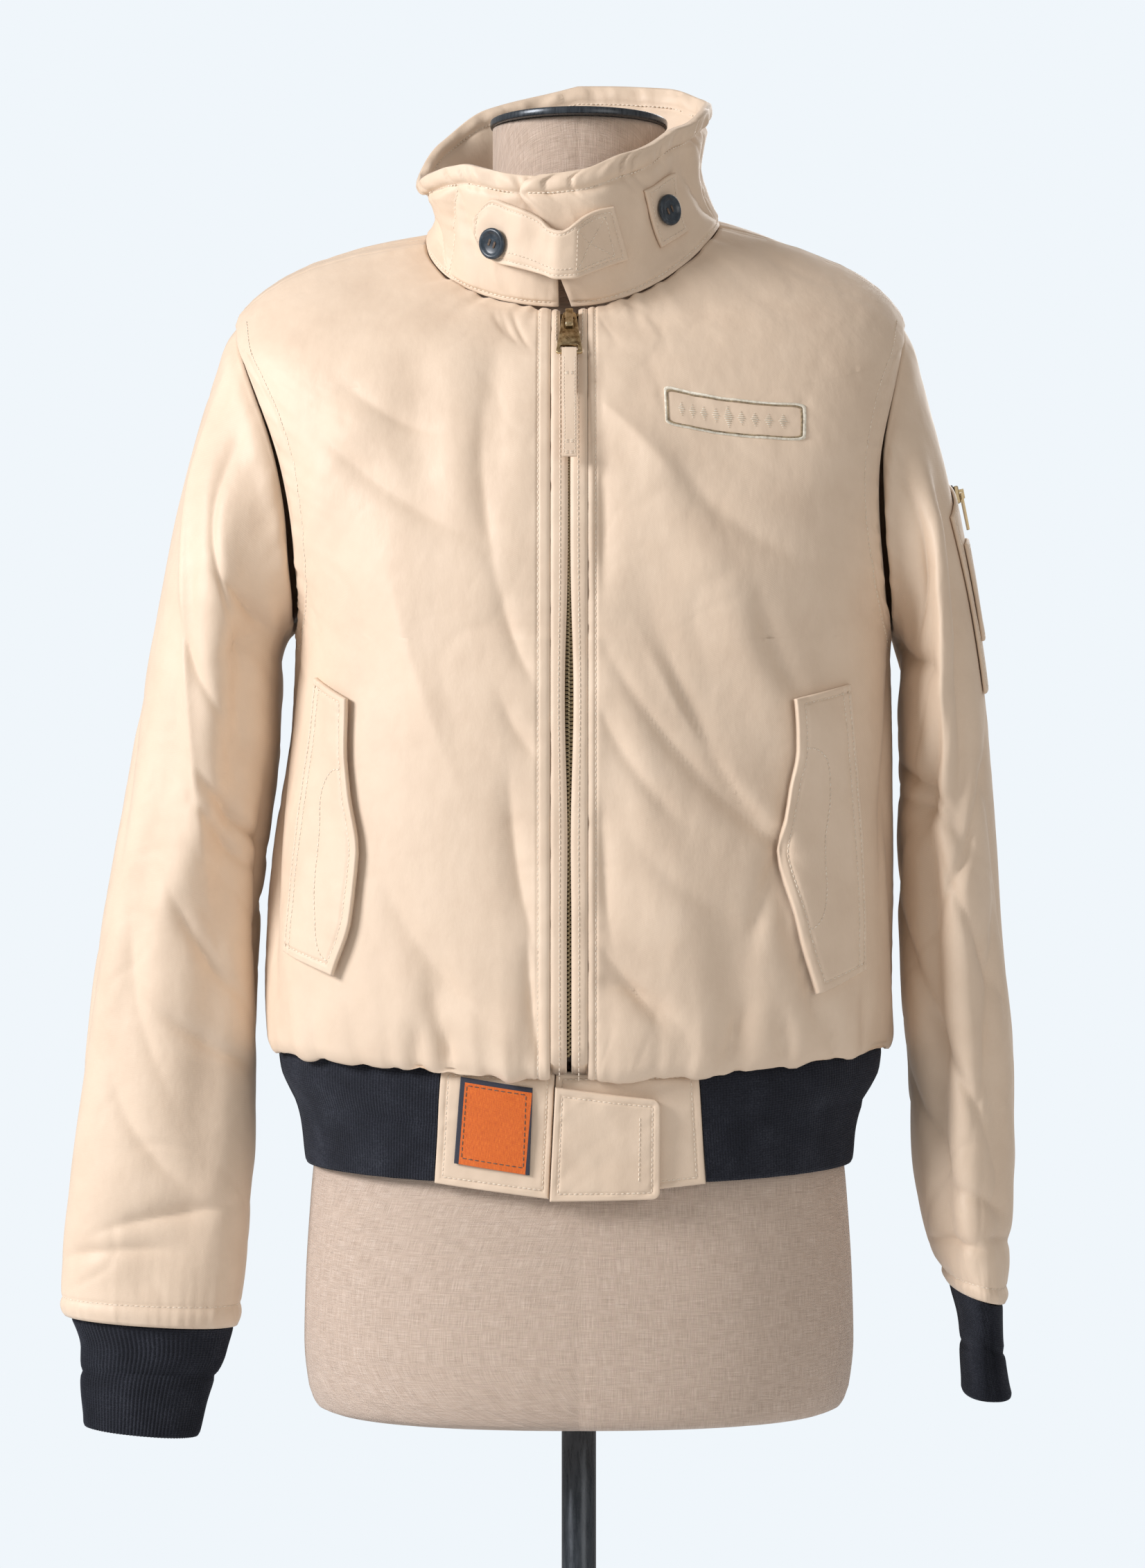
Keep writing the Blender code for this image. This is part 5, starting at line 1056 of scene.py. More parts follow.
def body_relief(turn, up):
    """What the fine cloth adds to the body's main folds: creases, gathers, and the pull of each seam."""
    turn, up = paired(turn, up)
    plain, front_side = body_plain(turn, up), np.cos(turn) > 0
    arc = np.where(front_side, turn, np.sign(np.sin(turn)) * math.pi - turn) * BODY_RADIUS
    round_arc = np.arctan2(np.sin(turn), np.cos(turn)) * BODY_RADIUS
    from_zip = np.where(front_side, np.abs(plain[..., 0] - ZIP_X) - STRIP_OUTER, FAR)
    arm = np.minimum(armhole_distance("right", turn, up), armhole_distance("left", turn, up))
    beside_seam = np.where((up < UNDERARM) | (up > SHOULDER), np.abs(plain[..., 1]), FAR)
    near_edge = smoothstep(from_zip / 12) * smoothstep(arm / 16) * smoothstep(beside_seam / 10)
    near_edge = near_edge * smoothstep((NECK - up) / 14)
    front = CREASE_GAIN * creases(FRONT_CREASES, turn, up, BODY_RADIUS)
    back = CREASE_GAIN * creases(BACK_CREASES, turn, up, BODY_RADIUS)
    relief = np.where(front_side, front, back) * near_edge * smoothstep((up + 6) / 14)
    slack = noise2(round_arc, up, 3, 60, 90) + noise2(round_arc, up, 8, 26, 40) * 0.6
    slack += wrinkles(round_arc + up * 0.35, up - round_arc * 0.2, 5, 46, 74) * 0.6
    slack += wrinkles(round_arc - up * 0.5, up, 6, 24, 42) * 0.3
    relief += slack * near_edge * smoothstep(up / 20)
    hem = noise(round_arc, 11, HEM_PERIOD) + 0.4 * noise(round_arc, 12, HEM_PERIOD * 0.45)
    relief += HEM_GATHER * hem * np.exp(-up / HEM_REACH) * smoothstep(from_zip / 10)
    neck = noise(round_arc, 21, NECK_PERIOD) * np.exp(-(NECK - up) / NECK_REACH)
    relief += NECK_GATHER * neck * smoothstep(from_zip / 10)
    relief += dip(beside_seam, SEAM_DIP, SEAM_WIDTH) + dip(arm, SEAM_DIP * 1.2, SEAM_WIDTH)
    relief += stitched(up, beside_seam - SIDE_STITCH, 31, 0.3, 7, 9)
    relief += puckers(up * 1.7 + arc, arm, 32, 1.0, 14, 10) * smoothstep(arm / 3)
    relief += dip(arm - ARM_STITCH, 0.5, 1.2)
    stitch = np.where(np.sin(turn) < 0, PLACKET_STITCH["right"], PLACKET_STITCH["left"])
    relief += stitched(up, from_zip - stitch, 33, 0.55, 11, 9) * (from_zip < FAR / 2)
    return relief + dip(from_zip, 0.9, 1.6) + badge_relief(turn, up)


# The badge place on the left chest. Its corners are given as turn and height up: its lower edge, then its
# upper, each from the end nearest the zip.
BADGE_CORNERS = (((25.0, 448.0), (54.0, 426.0)), ((26.5, 481.0), (56.0, 456.5)))
BADGE_SLOPE = 0.28  # how far its rows fall for each millimetre outward
BADGE_HALF_WIDE, BADGE_HALF_TALL = 43.0, 15.5


def badge_relief(turn, up):
    """Puckers round the embroidered border, where the cloth is drawn in."""
    middle_turn, middle_up = np.mean(BADGE_CORNERS, axis=(0, 1))
    x = np.radians(np.degrees(turn) - middle_turn) * BODY_RADIUS
    y = up - middle_up + x * BADGE_SLOPE
    away = np.maximum(np.abs(x) - BADGE_HALF_WIDE, np.abs(y) - BADGE_HALF_TALL)
    draw = np.exp(-np.abs(away) / 7) * (np.abs(away) < 60)
    return 0.55 * noise(x + y * 0.3, 41, 5.5) * draw + dip(away, 0.4, 2.0)


def body_cloth(turn, up, out=0.0):
    return body(turn, up, out + body_relief(turn, up))


def panel_rows(below, beside, above):
    """Heights up the side of a panel's rows, closer together at the hem, the armhole's ends and the neck."""
    low = np.linspace(0, 1, below, endpoint=False) ** 1.25 * UNDERARM
    share = (1 - np.cos(np.linspace(0, math.pi, beside, endpoint=False))) / 2
    middle = UNDERARM + share * (SHOULDER - UNDERARM)
    high = SHOULDER + np.linspace(0, 1, above + 1) ** 0.85 * (NECK - SHOULDER)
    return np.concatenate([low, middle, high])


def panel_piece(node, first_turns, last_turns, rows, columns, material):
    """A body panel between two edges, given as an angle for each row."""
    share = eased(columns, 0.1)[None, :]
    turn = first_turns[:, None] * (1 - share) + last_turns[:, None] * share
    up = np.repeat(rows[:, None], columns, axis=1)
    return keep(wall_of(f"cloth_{node}", body_cloth, turn, up, BODY_WALL, material), node)


def body_panels(cloth):
    rows = panel_rows(112, 84, 52)  # 248 steps
    made = {}
    for side in ("right", "left"):
        edge_x = ZIP_X + SIDE_SIGN[side] * (STRIP_OUTER + SEAM_GAP)
        centre = np.array([turn_at_x(edge_x, up) for up in rows])
        node = f"front_{side}"
        made[node] = panel_piece(node, centre, side_turns(rows, side, +1), rows, 121, cloth)
    left, right = side_turns(rows, "left", -1), 2 * math.pi + side_turns(rows, "right", -1)
    made["back"] = panel_piece("back", left, right, rows, 193, cloth)
    return made


# ---------------------------------------------------------------- the sleeves' cloth
SLEEVE_HEM_STITCH, SLEEVE_ROLL = 630.0, 1.4
POCKET_MIDDLE, POCKET_HALF = 130.0, 78.0  # down the sleeve, for where the cloth lies calm under the pocket


def sleeve_relief(side, turn, down):
    """What the fine cloth adds to a sleeve's main folds, with its gathered head and its rolled hem."""
    turn, down = paired(turn, down)
    end = SLEEVES[side].keys[-1]
    x, y = np.cos(turn) * 9.0, np.sin(turn) * 9.0
    seed = 51 if side == "right" else 61
    fade = smoothstep(down / 22) * smoothstep((end - 4 - down) / 26) * pocket_calm(side, turn, down)
    relief = CREASE_GAIN * creases(SLEEVE_CREASES[side], turn, down, SLEEVE_RADIUS)
    relief += noise2(x * 5 + down * 0.25, y * 5 + down * 0.6, seed, 34, 46) * 0.9
    relief += noise2(x * 6 - down * 0.2, y * 6 + down, seed + 1, 17, 24) * 0.4
    relief += wrinkles(x * 6 + down * 0.3, y * 6 + down * 0.8, seed + 6, 30, 34) * 0.8
    head = noise(x * 14, seed + 2, 9) * 0.6 + noise(y * 14, seed + 3, 9) * 0.6
    relief = relief * fade + head * np.exp(-np.abs(down - 6) / 12) * smoothstep(down / 4)
    relief += dip(down, SEAM_DIP * 1.3, 3.6) + dip(down - 9, -1.0, 5)
    gather = noise(x * 15, seed + 4, 4.6) + noise(y * 15, seed + 5, 4.6)
    from_hem = end - down
    relief += 0.55 * gather * np.exp(-from_hem / 20) * smoothstep(from_hem / 2)
    return relief + dip(from_hem - 5, -SLEEVE_ROLL, 4.5) + dip(down - SLEEVE_HEM_STITCH, 0.8, 1.4)


def pocket_calm(side, turn, down):
    """The creases fade where the sleeve pocket lies flat on the left sleeve."""
    if side == "right":
        return 1.0
    first, last = SLEEVE_POCKET["first"], SLEEVE_POCKET["last"]
    wide = np.abs(half_turn(np.degrees(turn)) - (first + last) / 2) - (last - first) / 2
    tall = np.abs(down - POCKET_MIDDLE) - POCKET_HALF
    return 1 - 0.9 * (1 - smoothstep(wide / 12)) * (1 - smoothstep(tall / 14))


def sleeve_cloth(side):
    return lambda turn, down, out=0.0: sleeve(side, turn, down, out + sleeve_relief(side, turn, down))


def sleeve_piece(side, cloth):
    down = SLEEVES[side].keys[-1] * eased(241, 0.05)[:, None]
    turn = np.linspace(0, 2 * math.pi, 160, endpoint=False)[None, :]
    turn, down = np.broadcast_arrays(turn, down)
    item = wall_of(f"cloth_sleeve_{side}", sleeve_cloth(side), turn, down, SLEEVE_WALL, cloth, True)
    return keep(item, f"sleeve_{side}")


CUFF_FINE_RIBS, RIB_STEPS = 104, 4
CUFF_CREASE = {"right": 33.0, "left": 31.0}


def cuff_piece(side, knit):
    """Ribs run down the cuff, which gathers at the sleeve and has one soft crease round it."""
    table = CUFFS[side]
    length = table.keys[-1]

    def surface(turn, down):
        return sleeve_oval(table, side, np.asarray(turn, float), np.asarray(down, float))

    def knitted(turn, down, out):
        edge = np.minimum(down, length - down)
        relief = 0.7 * noise2(np.cos(turn) * 30, np.sin(turn) * 30 + down, 72, 14, 18)
        relief += dip(down - CUFF_CREASE[side] - 2 * np.cos(turn * 2), 1.4, 2.6)
        raised = out + relief * smoothstep(edge / 8)
        if out == 0:
            rib = 0.5 + 0.5 * np.cos(turn * CUFF_FINE_RIBS + 0.5 * noise(down, 71, 22))
            ribs = RIB_HEIGHT * (rib**0.8 - 1) * smoothstep(down / 3 + 0.3)
            raised = raised + ribs + dip(edge, 0.7, 1.2)
        return moved_out(surface, turn, down, raised * SIDE_SIGN[side])

    down = (length * eased(33, 0.08))[:, None]
    turn = np.linspace(0, 2 * math.pi, CUFF_FINE_RIBS * RIB_STEPS, endpoint=False)[None, :]
    turn, down = np.broadcast_arrays(turn, down)
    item = wall_of(f"knit_cuff_{side}", knitted, turn, down, CUFF_WALL + RIB_HEIGHT, knit, True)
    return keep(item, f"cuff_{side}", slot="navy_knit")


# ---------------------------------------------------------------- collar
COLLAR_HEIGHT = 84.0  # about how tall it is, for relief that is sized in millimetres
COLLAR_RADIUS = 84.0
RIM_PERIOD = 11.0
RIM_AT = COLLAR_STITCH * COLLAR_HEIGHT
COLLAR_ROUND = 2 * math.pi * COLLAR_RADIUS


def collar_span(share):
    """The collar's two ends at a share of its height, in radians from the centre front round by the left."""
    left = np.radians(COLLAR_ENDS.read("left_end", share))
    right = np.radians(360 + COLLAR_ENDS.read("right_end", share))
    return left, right


def collar_turn(where, share):
    """Angle on the collar at a share of the way from its left end to its right one."""
    left, right = collar_span(share)
    return left + (right - left) * where


def rim_relief(up, fold, sharp, gains, reach):
    """The rolled rim, puckered over the stitching that holds it, and the cloth it draws in below."""
    roll = np.maximum(np.sin(math.pi * np.clip((up - RIM_AT) / (COLLAR_HEIGHT - RIM_AT), 0, 1)), 0)
    below = np.exp(-np.abs(RIM_AT - up) / reach) * (up < RIM_AT)
    rolled = (ROLL_PUFF * 1.5 + gains[0] * fold - gains[1] * sharp) * roll
    return rolled + (0.8 * fold - 1.2 * sharp) * below + dip(up - RIM_AT, 1.0, 1.7)


def collar_relief(turn, share):
    """Puffs between the quilting's zigzag, sharp puckers over the rolled rim, and the pull of each seam."""
    left, right = collar_span(share)
    where = (turn - left) / (right - left)
    cell = where * QUILT_CELLS + 0.12 * noise(share, 81, 0.3)
    lean = np.clip(share / COLLAR_STITCH, 0, 1)
    zig = np.abs((cell - np.floor(cell)) * 2 - 1)  # 1 at a cell's edges, 0 at its middle
    away = np.abs(zig - (1 - lean)) * COLLAR_ROUND / QUILT_CELLS / 2 * 0.86
    arc, up = where * COLLAR_ROUND, share * COLLAR_HEIGHT
    degrees = half_turn(np.degrees(turn))
    trims = (1 - smoothstep((degrees - 62) / 8)) * (1 - smoothstep((-46 - degrees) / 8))
    relief = QUILT_PUFF * 1.6 * (1 + dip(away, 1.0, 6.5)) * (1 - 0.6 * trims)
    relief += puckers(up + arc * 0.4, away, 82, 0.6, 6, 6.5) * (1 - 0.4 * trims)
    relief += dip(away, 0.9, 1.2) * (1 - trims)
    relief += 0.7 * noise2(arc, up, 83, 24, 20) + 0.35 * noise2(arc, up, 84, 10, 14)
    relief *= smoothstep((RIM_AT - up) / 6) * smoothstep(up / 6)
    fold = noise(arc + up * 0.35, 85, RIM_PERIOD) + 0.55 * noise(arc + up * 0.3, 86, RIM_PERIOD * 0.5)
    sharp = np.exp(-((noise(arc + up * 0.5, 87, RIM_PERIOD * 0.8) / 0.2) ** 2))
    relief += rim_relief(up, fold, sharp, (1.2, 2.3), 8)
    relief += stitched(arc, up - 3.0, 88, 0.4, 5, 7) + dip(up, 0.3, 1.6)
    ends = np.minimum(where, 1 - where) * COLLAR_ROUND
    return relief * smoothstep(ends / 5) + dip(ends, 0.9, 1.8)


def collar_cloth(turn, share, out=0.0):
    turn, share = paired(turn, share)
    return collar(turn, share, out + collar_relief(turn, share))


def collar_inside(turn, share, out=0.0):
    """The collar's inner face: the same rolled rim, puckered over its stitching, at the back and sides."""
    turn, share = paired(turn, share)
    arc, up = turn * COLLAR_RADIUS, share * COLLAR_HEIGHT
    fold = noise(arc + up * 0.3, 91, RIM_PERIOD) + 0.55 * noise(arc - up * 0.2, 92, RIM_PERIOD * 0.5)
    sharp = np.exp(-((noise(arc - up * 0.4, 93, RIM_PERIOD * 0.8) / 0.2) ** 2))
    relief = rim_relief(up, fold, sharp, (1.1, 2.1), 10)
    relief += 0.7 * noise2(arc, up, 94, 26, 22) * smoothstep(up / 8)
    shown = smoothstep((np.abs(half_turn(np.degrees(turn))) - 62) / 14)
    return collar(turn, share, -(COLLAR_WALL + relief * shown + out))


def collar_piece(cloth):
    share = eased(65, 0.08)[:, None]
    turn, share = np.broadcast_arrays(collar_turn(eased(385, 0.02)[None, :], share), share)
    inner = collar_inside(turn[::2, ::2], share[::2, ::2])
    return keep(shell("cloth_collar", collar_cloth(turn, share), inner, cloth), "collar")


# ---------------------------------------------------------------- trims that lie on the cloth
def from_edge(first, second, wide, tall):
    """How far a place lies inside a trim's nearest edge; the shares run over its width and its height."""
    return np.minimum(np.minimum(first, 1 - first) * wide, np.minimum(second, 1 - second) * tall)


def rounding(away, radius):
    """How far a face drops towards an edge rounded by that radius."""
    inside = np.clip(1 - away / radius, 0, 1)
    return -radius * (1 - np.sqrt(np.clip(1 - inside**2, 0, 1)))


def inset_lines(surface, wide, tall, margin, sides="abcd", lift=0.12):
    """Stitch lines inside a trim's edges, one for each side asked for."""
    a, b, count = margin / wide, margin / tall, 50
    places = {
        "a": (between(a, 1 - a, count), np.full(count, b)),
        "b": (np.full(count, 1 - a), between(b, 1 - b, count)),
        "c": (between(1 - a, a, count), np.full(count, 1 - b)),
        "d": (np.full(count, a), between(1 - b, b, count)),
    }
    return [line_on(surface, *places[side], lift) for side in sides]


LATCH_WIDE, LATCH_TALL = 118.0, 40.0


def latch_cloth(first, second, out=0.0):
    """The throat latch with rounded, stitched edges; both shares run from 0 to 1."""
    first, second = paired(first, second)
    edge = from_edge(first, second, LATCH_WIDE, LATCH_TALL)
    relief = rounding(edge, 1.3) + dip(edge - 3.4, 0.45, 1.0)
    relief += 0.35 * noise2(first * LATCH_WIDE, second * LATCH_TALL, 91, 9, 9) * smoothstep(edge / 3)
    return latch(first * 10, second, LATCH_WALL + out + relief)


def trim_shell(name, face, back, columns, rows, material):
    """A closed trim from a fine face and a plain back, each a surface over two shares."""
    first, second = np.meshgrid(eased(columns, 0.1), eased(rows, 0.1), indexing="ij")
    inner = back(first[::INNER_STEP, ::INNER_STEP], second[::INNER_STEP, ::INNER_STEP])
    return shell(name, face(first, second), inner, material)


def collar_trim_pieces(cloth, thread):
    made = trim_shell("cloth_latch", latch_cloth, lambda a, b: latch(a * 10, b), 121, 41, cloth)
    lines = inset_lines(latch_cloth, LATCH_WIDE, LATCH_TALL, 3.4)
    for first, second in X_BOX_LINES:
        lines.append(line_on(latch_cloth, between(first[0], second[0]), between(first[1], second[1])))
    wide, tall = 27.0, 38.0

    def patch_cloth(first, second, out=0.0):
        drop = rounding(from_edge(np.asarray(first), np.asarray(second), wide, tall), 0.9)
        return patch(first, second, PATCH_SEAT + PATCH_WALL + out + drop)

    under = trim_shell("cloth_button_patch", patch_cloth, lambda a, b: patch(a, b, PATCH_SEAT), 41, 41, cloth)
    lines += inset_lines(patch_cloth, wide, tall, 2.6)
    stitch_object("stitches_collar_trims", lines, thread, 2.6, 0.3)
    return keep(made, "throat_latch"), keep(under, "button_patch")


# The box with a cross in it that holds the latch's sewn end, as pairs of (along, across).
BOX = ((0.72, 0.14), (0.93, 0.14), (0.93, 0.86), (0.72, 0.86))
X_BOX_LINES = ((BOX[0], BOX[1]), (BOX[1], BOX[2]), (BOX[2], BOX[3]), (BOX[3], BOX[0]), (BOX[0], BOX[2]))
X_BOX_LINES += ((BOX[1], BOX[3]), ((0.10, 0.24), (0.70, 0.20)))


# ---------------------------------------------------------------- waist
WAIST_RIB, WAIST_RIB_HIGH = 2.1, 0.55
WAIST_RIBS = 432
WAIST_LENGTH = 79.0
QUILT_MARGIN = 4.5  # from a waist panel's edge to its topstitch


def waist_edge(ends, gap=0.0):
    """Angle of a slanted edge down the waistband, from its places across at the top and the bottom."""
    top_x, bottom_x = ends[0] + gap, ends[1] + gap
    return lambda down: turn_at_x(top_x + (bottom_x - top_x) * down / WAIST_LENGTH, down, WAIST)


def waist_face(first, last, length, drops, out, first_row=0.0):
    """A surface over two shares: across a strip of the waistband from one edge to the other, and down it."""
    keys = np.linspace(first_row, length, 60)
    starts, ends = np.array([first(d) for d in keys]), np.array([last(d) for d in keys])
    (top_first, top_last), (low_first, low_last) = drops

    def face(across, share, more=0.0):
        across, share = paired(across, share)
        down = first_row + (length - first_row) * share
        start, end = np.interp(down, keys, starts), np.interp(down, keys, ends)
        deep = down / WAIST_LENGTH
        top = top_first + (top_last - top_first) * across
        low = low_first + (low_last - low_first) * across
        lowered = points(0, 0, -top * (1 - deep) - low * deep)
        return waist(start + (end - start) * across, down, out + more) + lowered

    return face


def quilted_face(face, wide, tall, seed, rough):
    """The same surface as soft cloth with rounded edges and a topstitch inside them."""

    def cloth(first, second, out=0.0):
        first, second = paired(first, second)
        x, y, edge = first * wide, second * tall, from_edge(first, second, wide, tall)
        relief = rounding(edge, 1.2) + dip(edge - QUILT_MARGIN, 0.5, 1.1)
        calm = smoothstep(edge / QUILT_MARGIN)
        relief += rough * (noise2(x, y, seed, 20, 15) + 0.5 * noise2(x, y, seed + 1, 8, 9)) * calm
        relief += 0.3 * noise(x + y, seed + 2, 6) * np.exp(-np.abs(edge - QUILT_MARGIN) / 4) * calm
        return face(first, second, relief + out)

    return cloth


def waist_pieces(cloth, knit, woven, thread, orange_thread):
    meet, start = waist_edge(WAIST_MEET_X), waist_edge(WAIST_MEET_X, SEAM_GAP + 0.3)
    right, left = waist_edge(WAIST_PANEL_RIGHT_X), waist_edge(WAIST_PANEL_LEFT_X)
    made, lines = {}, []
    panels = (
        ("waist_panel_right", right, meet, ((0, 0), (1, 8.5)), 0.7, 76.0, 101),
        ("waist_panel_left", start, left, ((0, 0), (8.5, 1)), 0.0, 94.0, 105),
    )
    for name, first, last, drops, out, wide, seed in panels:
        face = waist_face(first, last, WAIST_LENGTH, drops, out)
        surface = quilted_face(face, wide, WAIST_LENGTH, seed, 0.4)
        item = trim_shell(f"cloth_{name}", surface, lambda a, b, f=face: f(a, b, -BODY_WALL), 97, 81, cloth)
        made[name] = keep(item, name)
        lines += inset_lines(surface, wide, WAIST_LENGTH, 5.0)
    tab_end, tab_drops = waist_edge((TAB_END_X, TAB_END_X)), ((0, 9.5), (9.5, 8.5))
    tab = waist_face(start, tab_end, WAIST_LENGTH, tab_drops, TAB_LIFT + TAB_WALL, TAB_TOP)
    tab_wide, tab_tall = 65.0, WAIST_LENGTH - TAB_TOP

    def tab_corners(first, second, out=0.0):
        """The free end's corners are rounded by drawing the end in towards them."""
        first, second = paired(first, second)
        corner = np.clip(1 - np.minimum(second, 1 - second) * tab_tall / 5, 0, 1)
        draw = 1 - (1 - np.sqrt(np.clip(1 - corner**2, 0, 1))) * 4.5 / tab_wide
        return tab(first * draw, second, out)

    surface = quilted_face(tab_corners, tab_wide, tab_tall, 109, 0.45)
    item = trim_shell("cloth_waist_tab", surface, lambda a, b: tab_corners(a, b, -TAB_WALL), 97, 73, cloth)
    made["waist_tab"] = keep(item, "waist_tab")
    lines += inset_lines(surface, tab_wide, tab_tall, 4.6)
    lines += inset_lines(surface, tab_wide, tab_tall, 12.0, sides="b")
    stitch_object("stitches_waist", lines, thread, 3.0, 0.33)
    label_edges = waist_edge(LABEL_RIGHT_X), waist_edge(LABEL_LEFT_X)
    label = waist_face(*label_edges, LABEL_BOTTOM, ((0, 5), (0, 6)), LABEL_OUT, LABEL_TOP)
    wide, tall = 48.0, 60.0

    def label_cloth(first, second, out=0.0):
        first, second = np.asarray(first), np.asarray(second)
        drop = rounding(from_edge(first, second, wide, tall), 0.45)
        return label(first, second, out + drop + 0.16 * noise2(first * wide, second * tall, 113, 14, 11))

    item = trim_shell("woven_label", label_cloth, lambda a, b: label(a, b, -LABEL_WALL), 65, 81, woven)
    made["front_label"] = keep(item, "front_label", slot="orange_woven")
    lines = inset_lines(label_cloth, wide, tall, 4.4, lift=0.05)
    stitch_object("stitches_label", lines, orange_thread, 3.6, 0.3, slot="orange_woven")
    made["waistband_knit"] = knit_piece(knit)
    return made


def knit_piece(knit):
    """The ribbed waistband: ribs run down it, it is gathered at the seam and creased round its middle."""
    gap = SEAM_GAP + 0.3
    first, last = waist_edge(WAIST_PANEL_LEFT_X, gap), waist_edge(WAIST_PANEL_RIGHT_X, -gap)
    face = waist_face(first, lambda down: 2 * math.pi + last(down), WAIST_LENGTH, ((0, 0), (0, 0)), 0.0)

    def knitted(across, share):
        rib = 0.5 + 0.5 * np.cos(across * WAIST_RIBS * 2 * math.pi)
        down = share * WAIST_LENGTH
        edge = np.minimum(down, WAIST_LENGTH - down)
        arc = across * WAIST_RIBS * WAIST_RIB
        wave = 0.8 * noise2(arc, down, 121, 40, 26) + 0.4 * noise2(arc, down, 122, 15, 20)
        crease = dip(down - 37 - 4 * noise(arc, 123, 90), 1.8, 3.0) * (0.55 + 0.45 * noise(arc, 124, 70))
        ribs = WAIST_RIB_HIGH * (rib - 1) + dip(edge, 0.8, 1.4)
        return face(across, share, ribs + (wave + crease) * smoothstep(edge / 10))

    across = np.linspace(0, 1, WAIST_RIBS * RIB_STEPS + 1)[None, :]
    across, share = np.broadcast_arrays(across, eased(25, 0.06)[:, None])
    inner = face(across[::INNER_STEP, ::INNER_STEP], share[::INNER_STEP, ::INNER_STEP], -RIB_WALL)
    item = shell("knit_waistband", knitted(across, share), inner, knit)
    return keep(item, "waistband_knit", slot="navy_knit")


# ---------------------------------------------------------------- zip
TOOTH_PITCH, TOOTH_WIDE, TOOTH_LONG, TOOTH_THICK = 2.6, 3.4, 1.15, 1.5


def strip_opening(up):
    """How far a zip strip's inner edge lies from the zip's line."""
    top = 4.9 * smoothstep((up - SLIDER_UP + 62) / 34)
    return STRIP_INNER + top + dip(up - 239, -1.9, 60) + 0.7 * smoothstep((160 - up) / 60)


def strip_cloth(side):
    """A zip strip over a height up and a share from its inner edge to its outer one."""
    sign = SIDE_SIGN[side]

    def strip(up, share, out=0.0):
        up, share = paired(up, share)
        inner = strip_opening(up)
        wide = STRIP_OUTER - inner
        turn = np.arctan2(ZIP_X + sign * (inner + wide * share), BODY.read("front", up))
        lip = dip(share * wide, 1.1, 1.3) + dip((1 - share) * wide, 0.9, 1.2)
        wave = 0.5 * noise(up, 131 + sign, 17) * (1 - share) + 0.35 * noise(up, 133 + sign, 8) * share
        return body(turn, up, out + lip + wave)

    return strip


def zip_pieces(cloth, brass, thread):
    rows = np.concatenate([[3, 20], np.linspace(30, NECK - 2, 176)])
    up, share = np.meshgrid(rows, eased(13, 0.1), indexing="ij")
    made, lines = {}, []
    for side in ("right", "left"):
        strip, node = strip_cloth(side), f"zip_strip_{side}"
        inner = strip(up[::3, ::4], share[::3, ::4], -BODY_WALL)
        made[node] = keep(shell(f"cloth_{node}", strip(up, share), inner, cloth), node)
        lines.append(line_on(strip, between(6, NECK - 6, 260), np.full(260, 0.45)))
    stitch_object("stitches_zip", lines, thread, 3.2, 0.32)
    zip_teeth(brass)
    return made


def zip_teeth(brass):
    """Interlocked brass teeth along the zip, which part above the slider."""
    count = int(2 * (NECK - 30) / TOOTH_PITCH)
    up = 24 + np.arange(count) * TOOTH_PITCH / 2
    sign = np.where(np.arange(count) % 2, 1.0, -1.0)
    clear = np.abs(up - SLIDER_UP) > SLIDER_SIZE[1] / 2
    up, sign = up[clear], sign[clear]
    apart = 3.4 * smoothstep((up - SLIDER_UP - 6) / 22)
    turn = np.arctan2(ZIP_X + sign * (TOOTH_WIDE * 0.28 + apart), BODY.read("front", up))
    seat = -BODY_WALL - TAPE_CLEAR + 0.1
    place = body(turn, up, seat)
    out = body(turn, up, seat + 1) - place
    forward = unit(body(turn, up + 1) - body(turn, up))
    across = np.cross(forward, out) * -sign[:, None]
    levels = []
    for high, small in ((0.0, 1.0), (TOOTH_THICK * 0.7, 0.95), (TOOTH_THICK, 0.7)):
        for x_share, y_share in ((-1, -0.5), (0.9, -0.42), (0.9, 0.42), (-1, 0.5)):
            sideways = across * (x_share * TOOTH_WIDE / 2 * small)
            levels.append(place + sideways + forward * (y_share * 2 * TOOTH_LONG / 1.1 * small) + out * high)
    vertices = np.stack(levels, axis=1)
    one = grid_quads(0, 3, 4, True).tolist() + [[3, 2, 1, 0], [8, 9, 10, 11]]
    faces = (np.array(one)[None] + 12 * np.arange(len(up))[:, None, None]).reshape(-1, 4).tolist()
    item = new_object("zip_teeth", vertices, faces, brass)
    return keep(item, slot="aged_brass")


def outline_piece(name, outlines, thick, matrix, material, bevel=0.3):
    """A flat plate from an outline and its windows, with rounded edges, as a mesh."""
    curve = bpy.data.curves.new(name, "CURVE")
    curve.dimensions = "2D"
    curve.fill_mode = "BOTH"
    curve.extrude = (thick / 2 - bevel) * MM
    curve.bevel_depth = bevel * MM
    curve.bevel_resolution = 2
    curve.offset = -bevel * MM
    for outline in outlines:
        spline = curve.splines.new("POLY")
        spline.points.add(len(outline) - 1)
        for point, (x, y) in zip(spline.points, outline):
            point.co = (x * MM, y * MM, 0, 1)
        spline.use_cyclic_u = True
    source = linked(name + "_outline", curve)
    bpy.context.view_layer.update()
    graph = bpy.context.evaluated_depsgraph_get()
    mesh = bpy.data.meshes.new_from_object(source.evaluated_get(graph))
    bpy.data.objects.remove(source)
    mesh.transform(matrix)
    mesh.materials.clear()
    mesh.materials.append(material)
    work = bmesh.new()
    work.from_mesh(mesh)
    bmesh.ops.remove_doubles(work, verts=work.verts, dist=0.005 * MM)
    bmesh.ops.recalc_face_normals(work, faces=work.faces)
    work.to_mesh(mesh)
    work.free()
    mesh.shade_smooth()
    mesh.set_sharp_from_angle(angle=math.radians(50))
    return linked(name, mesh)


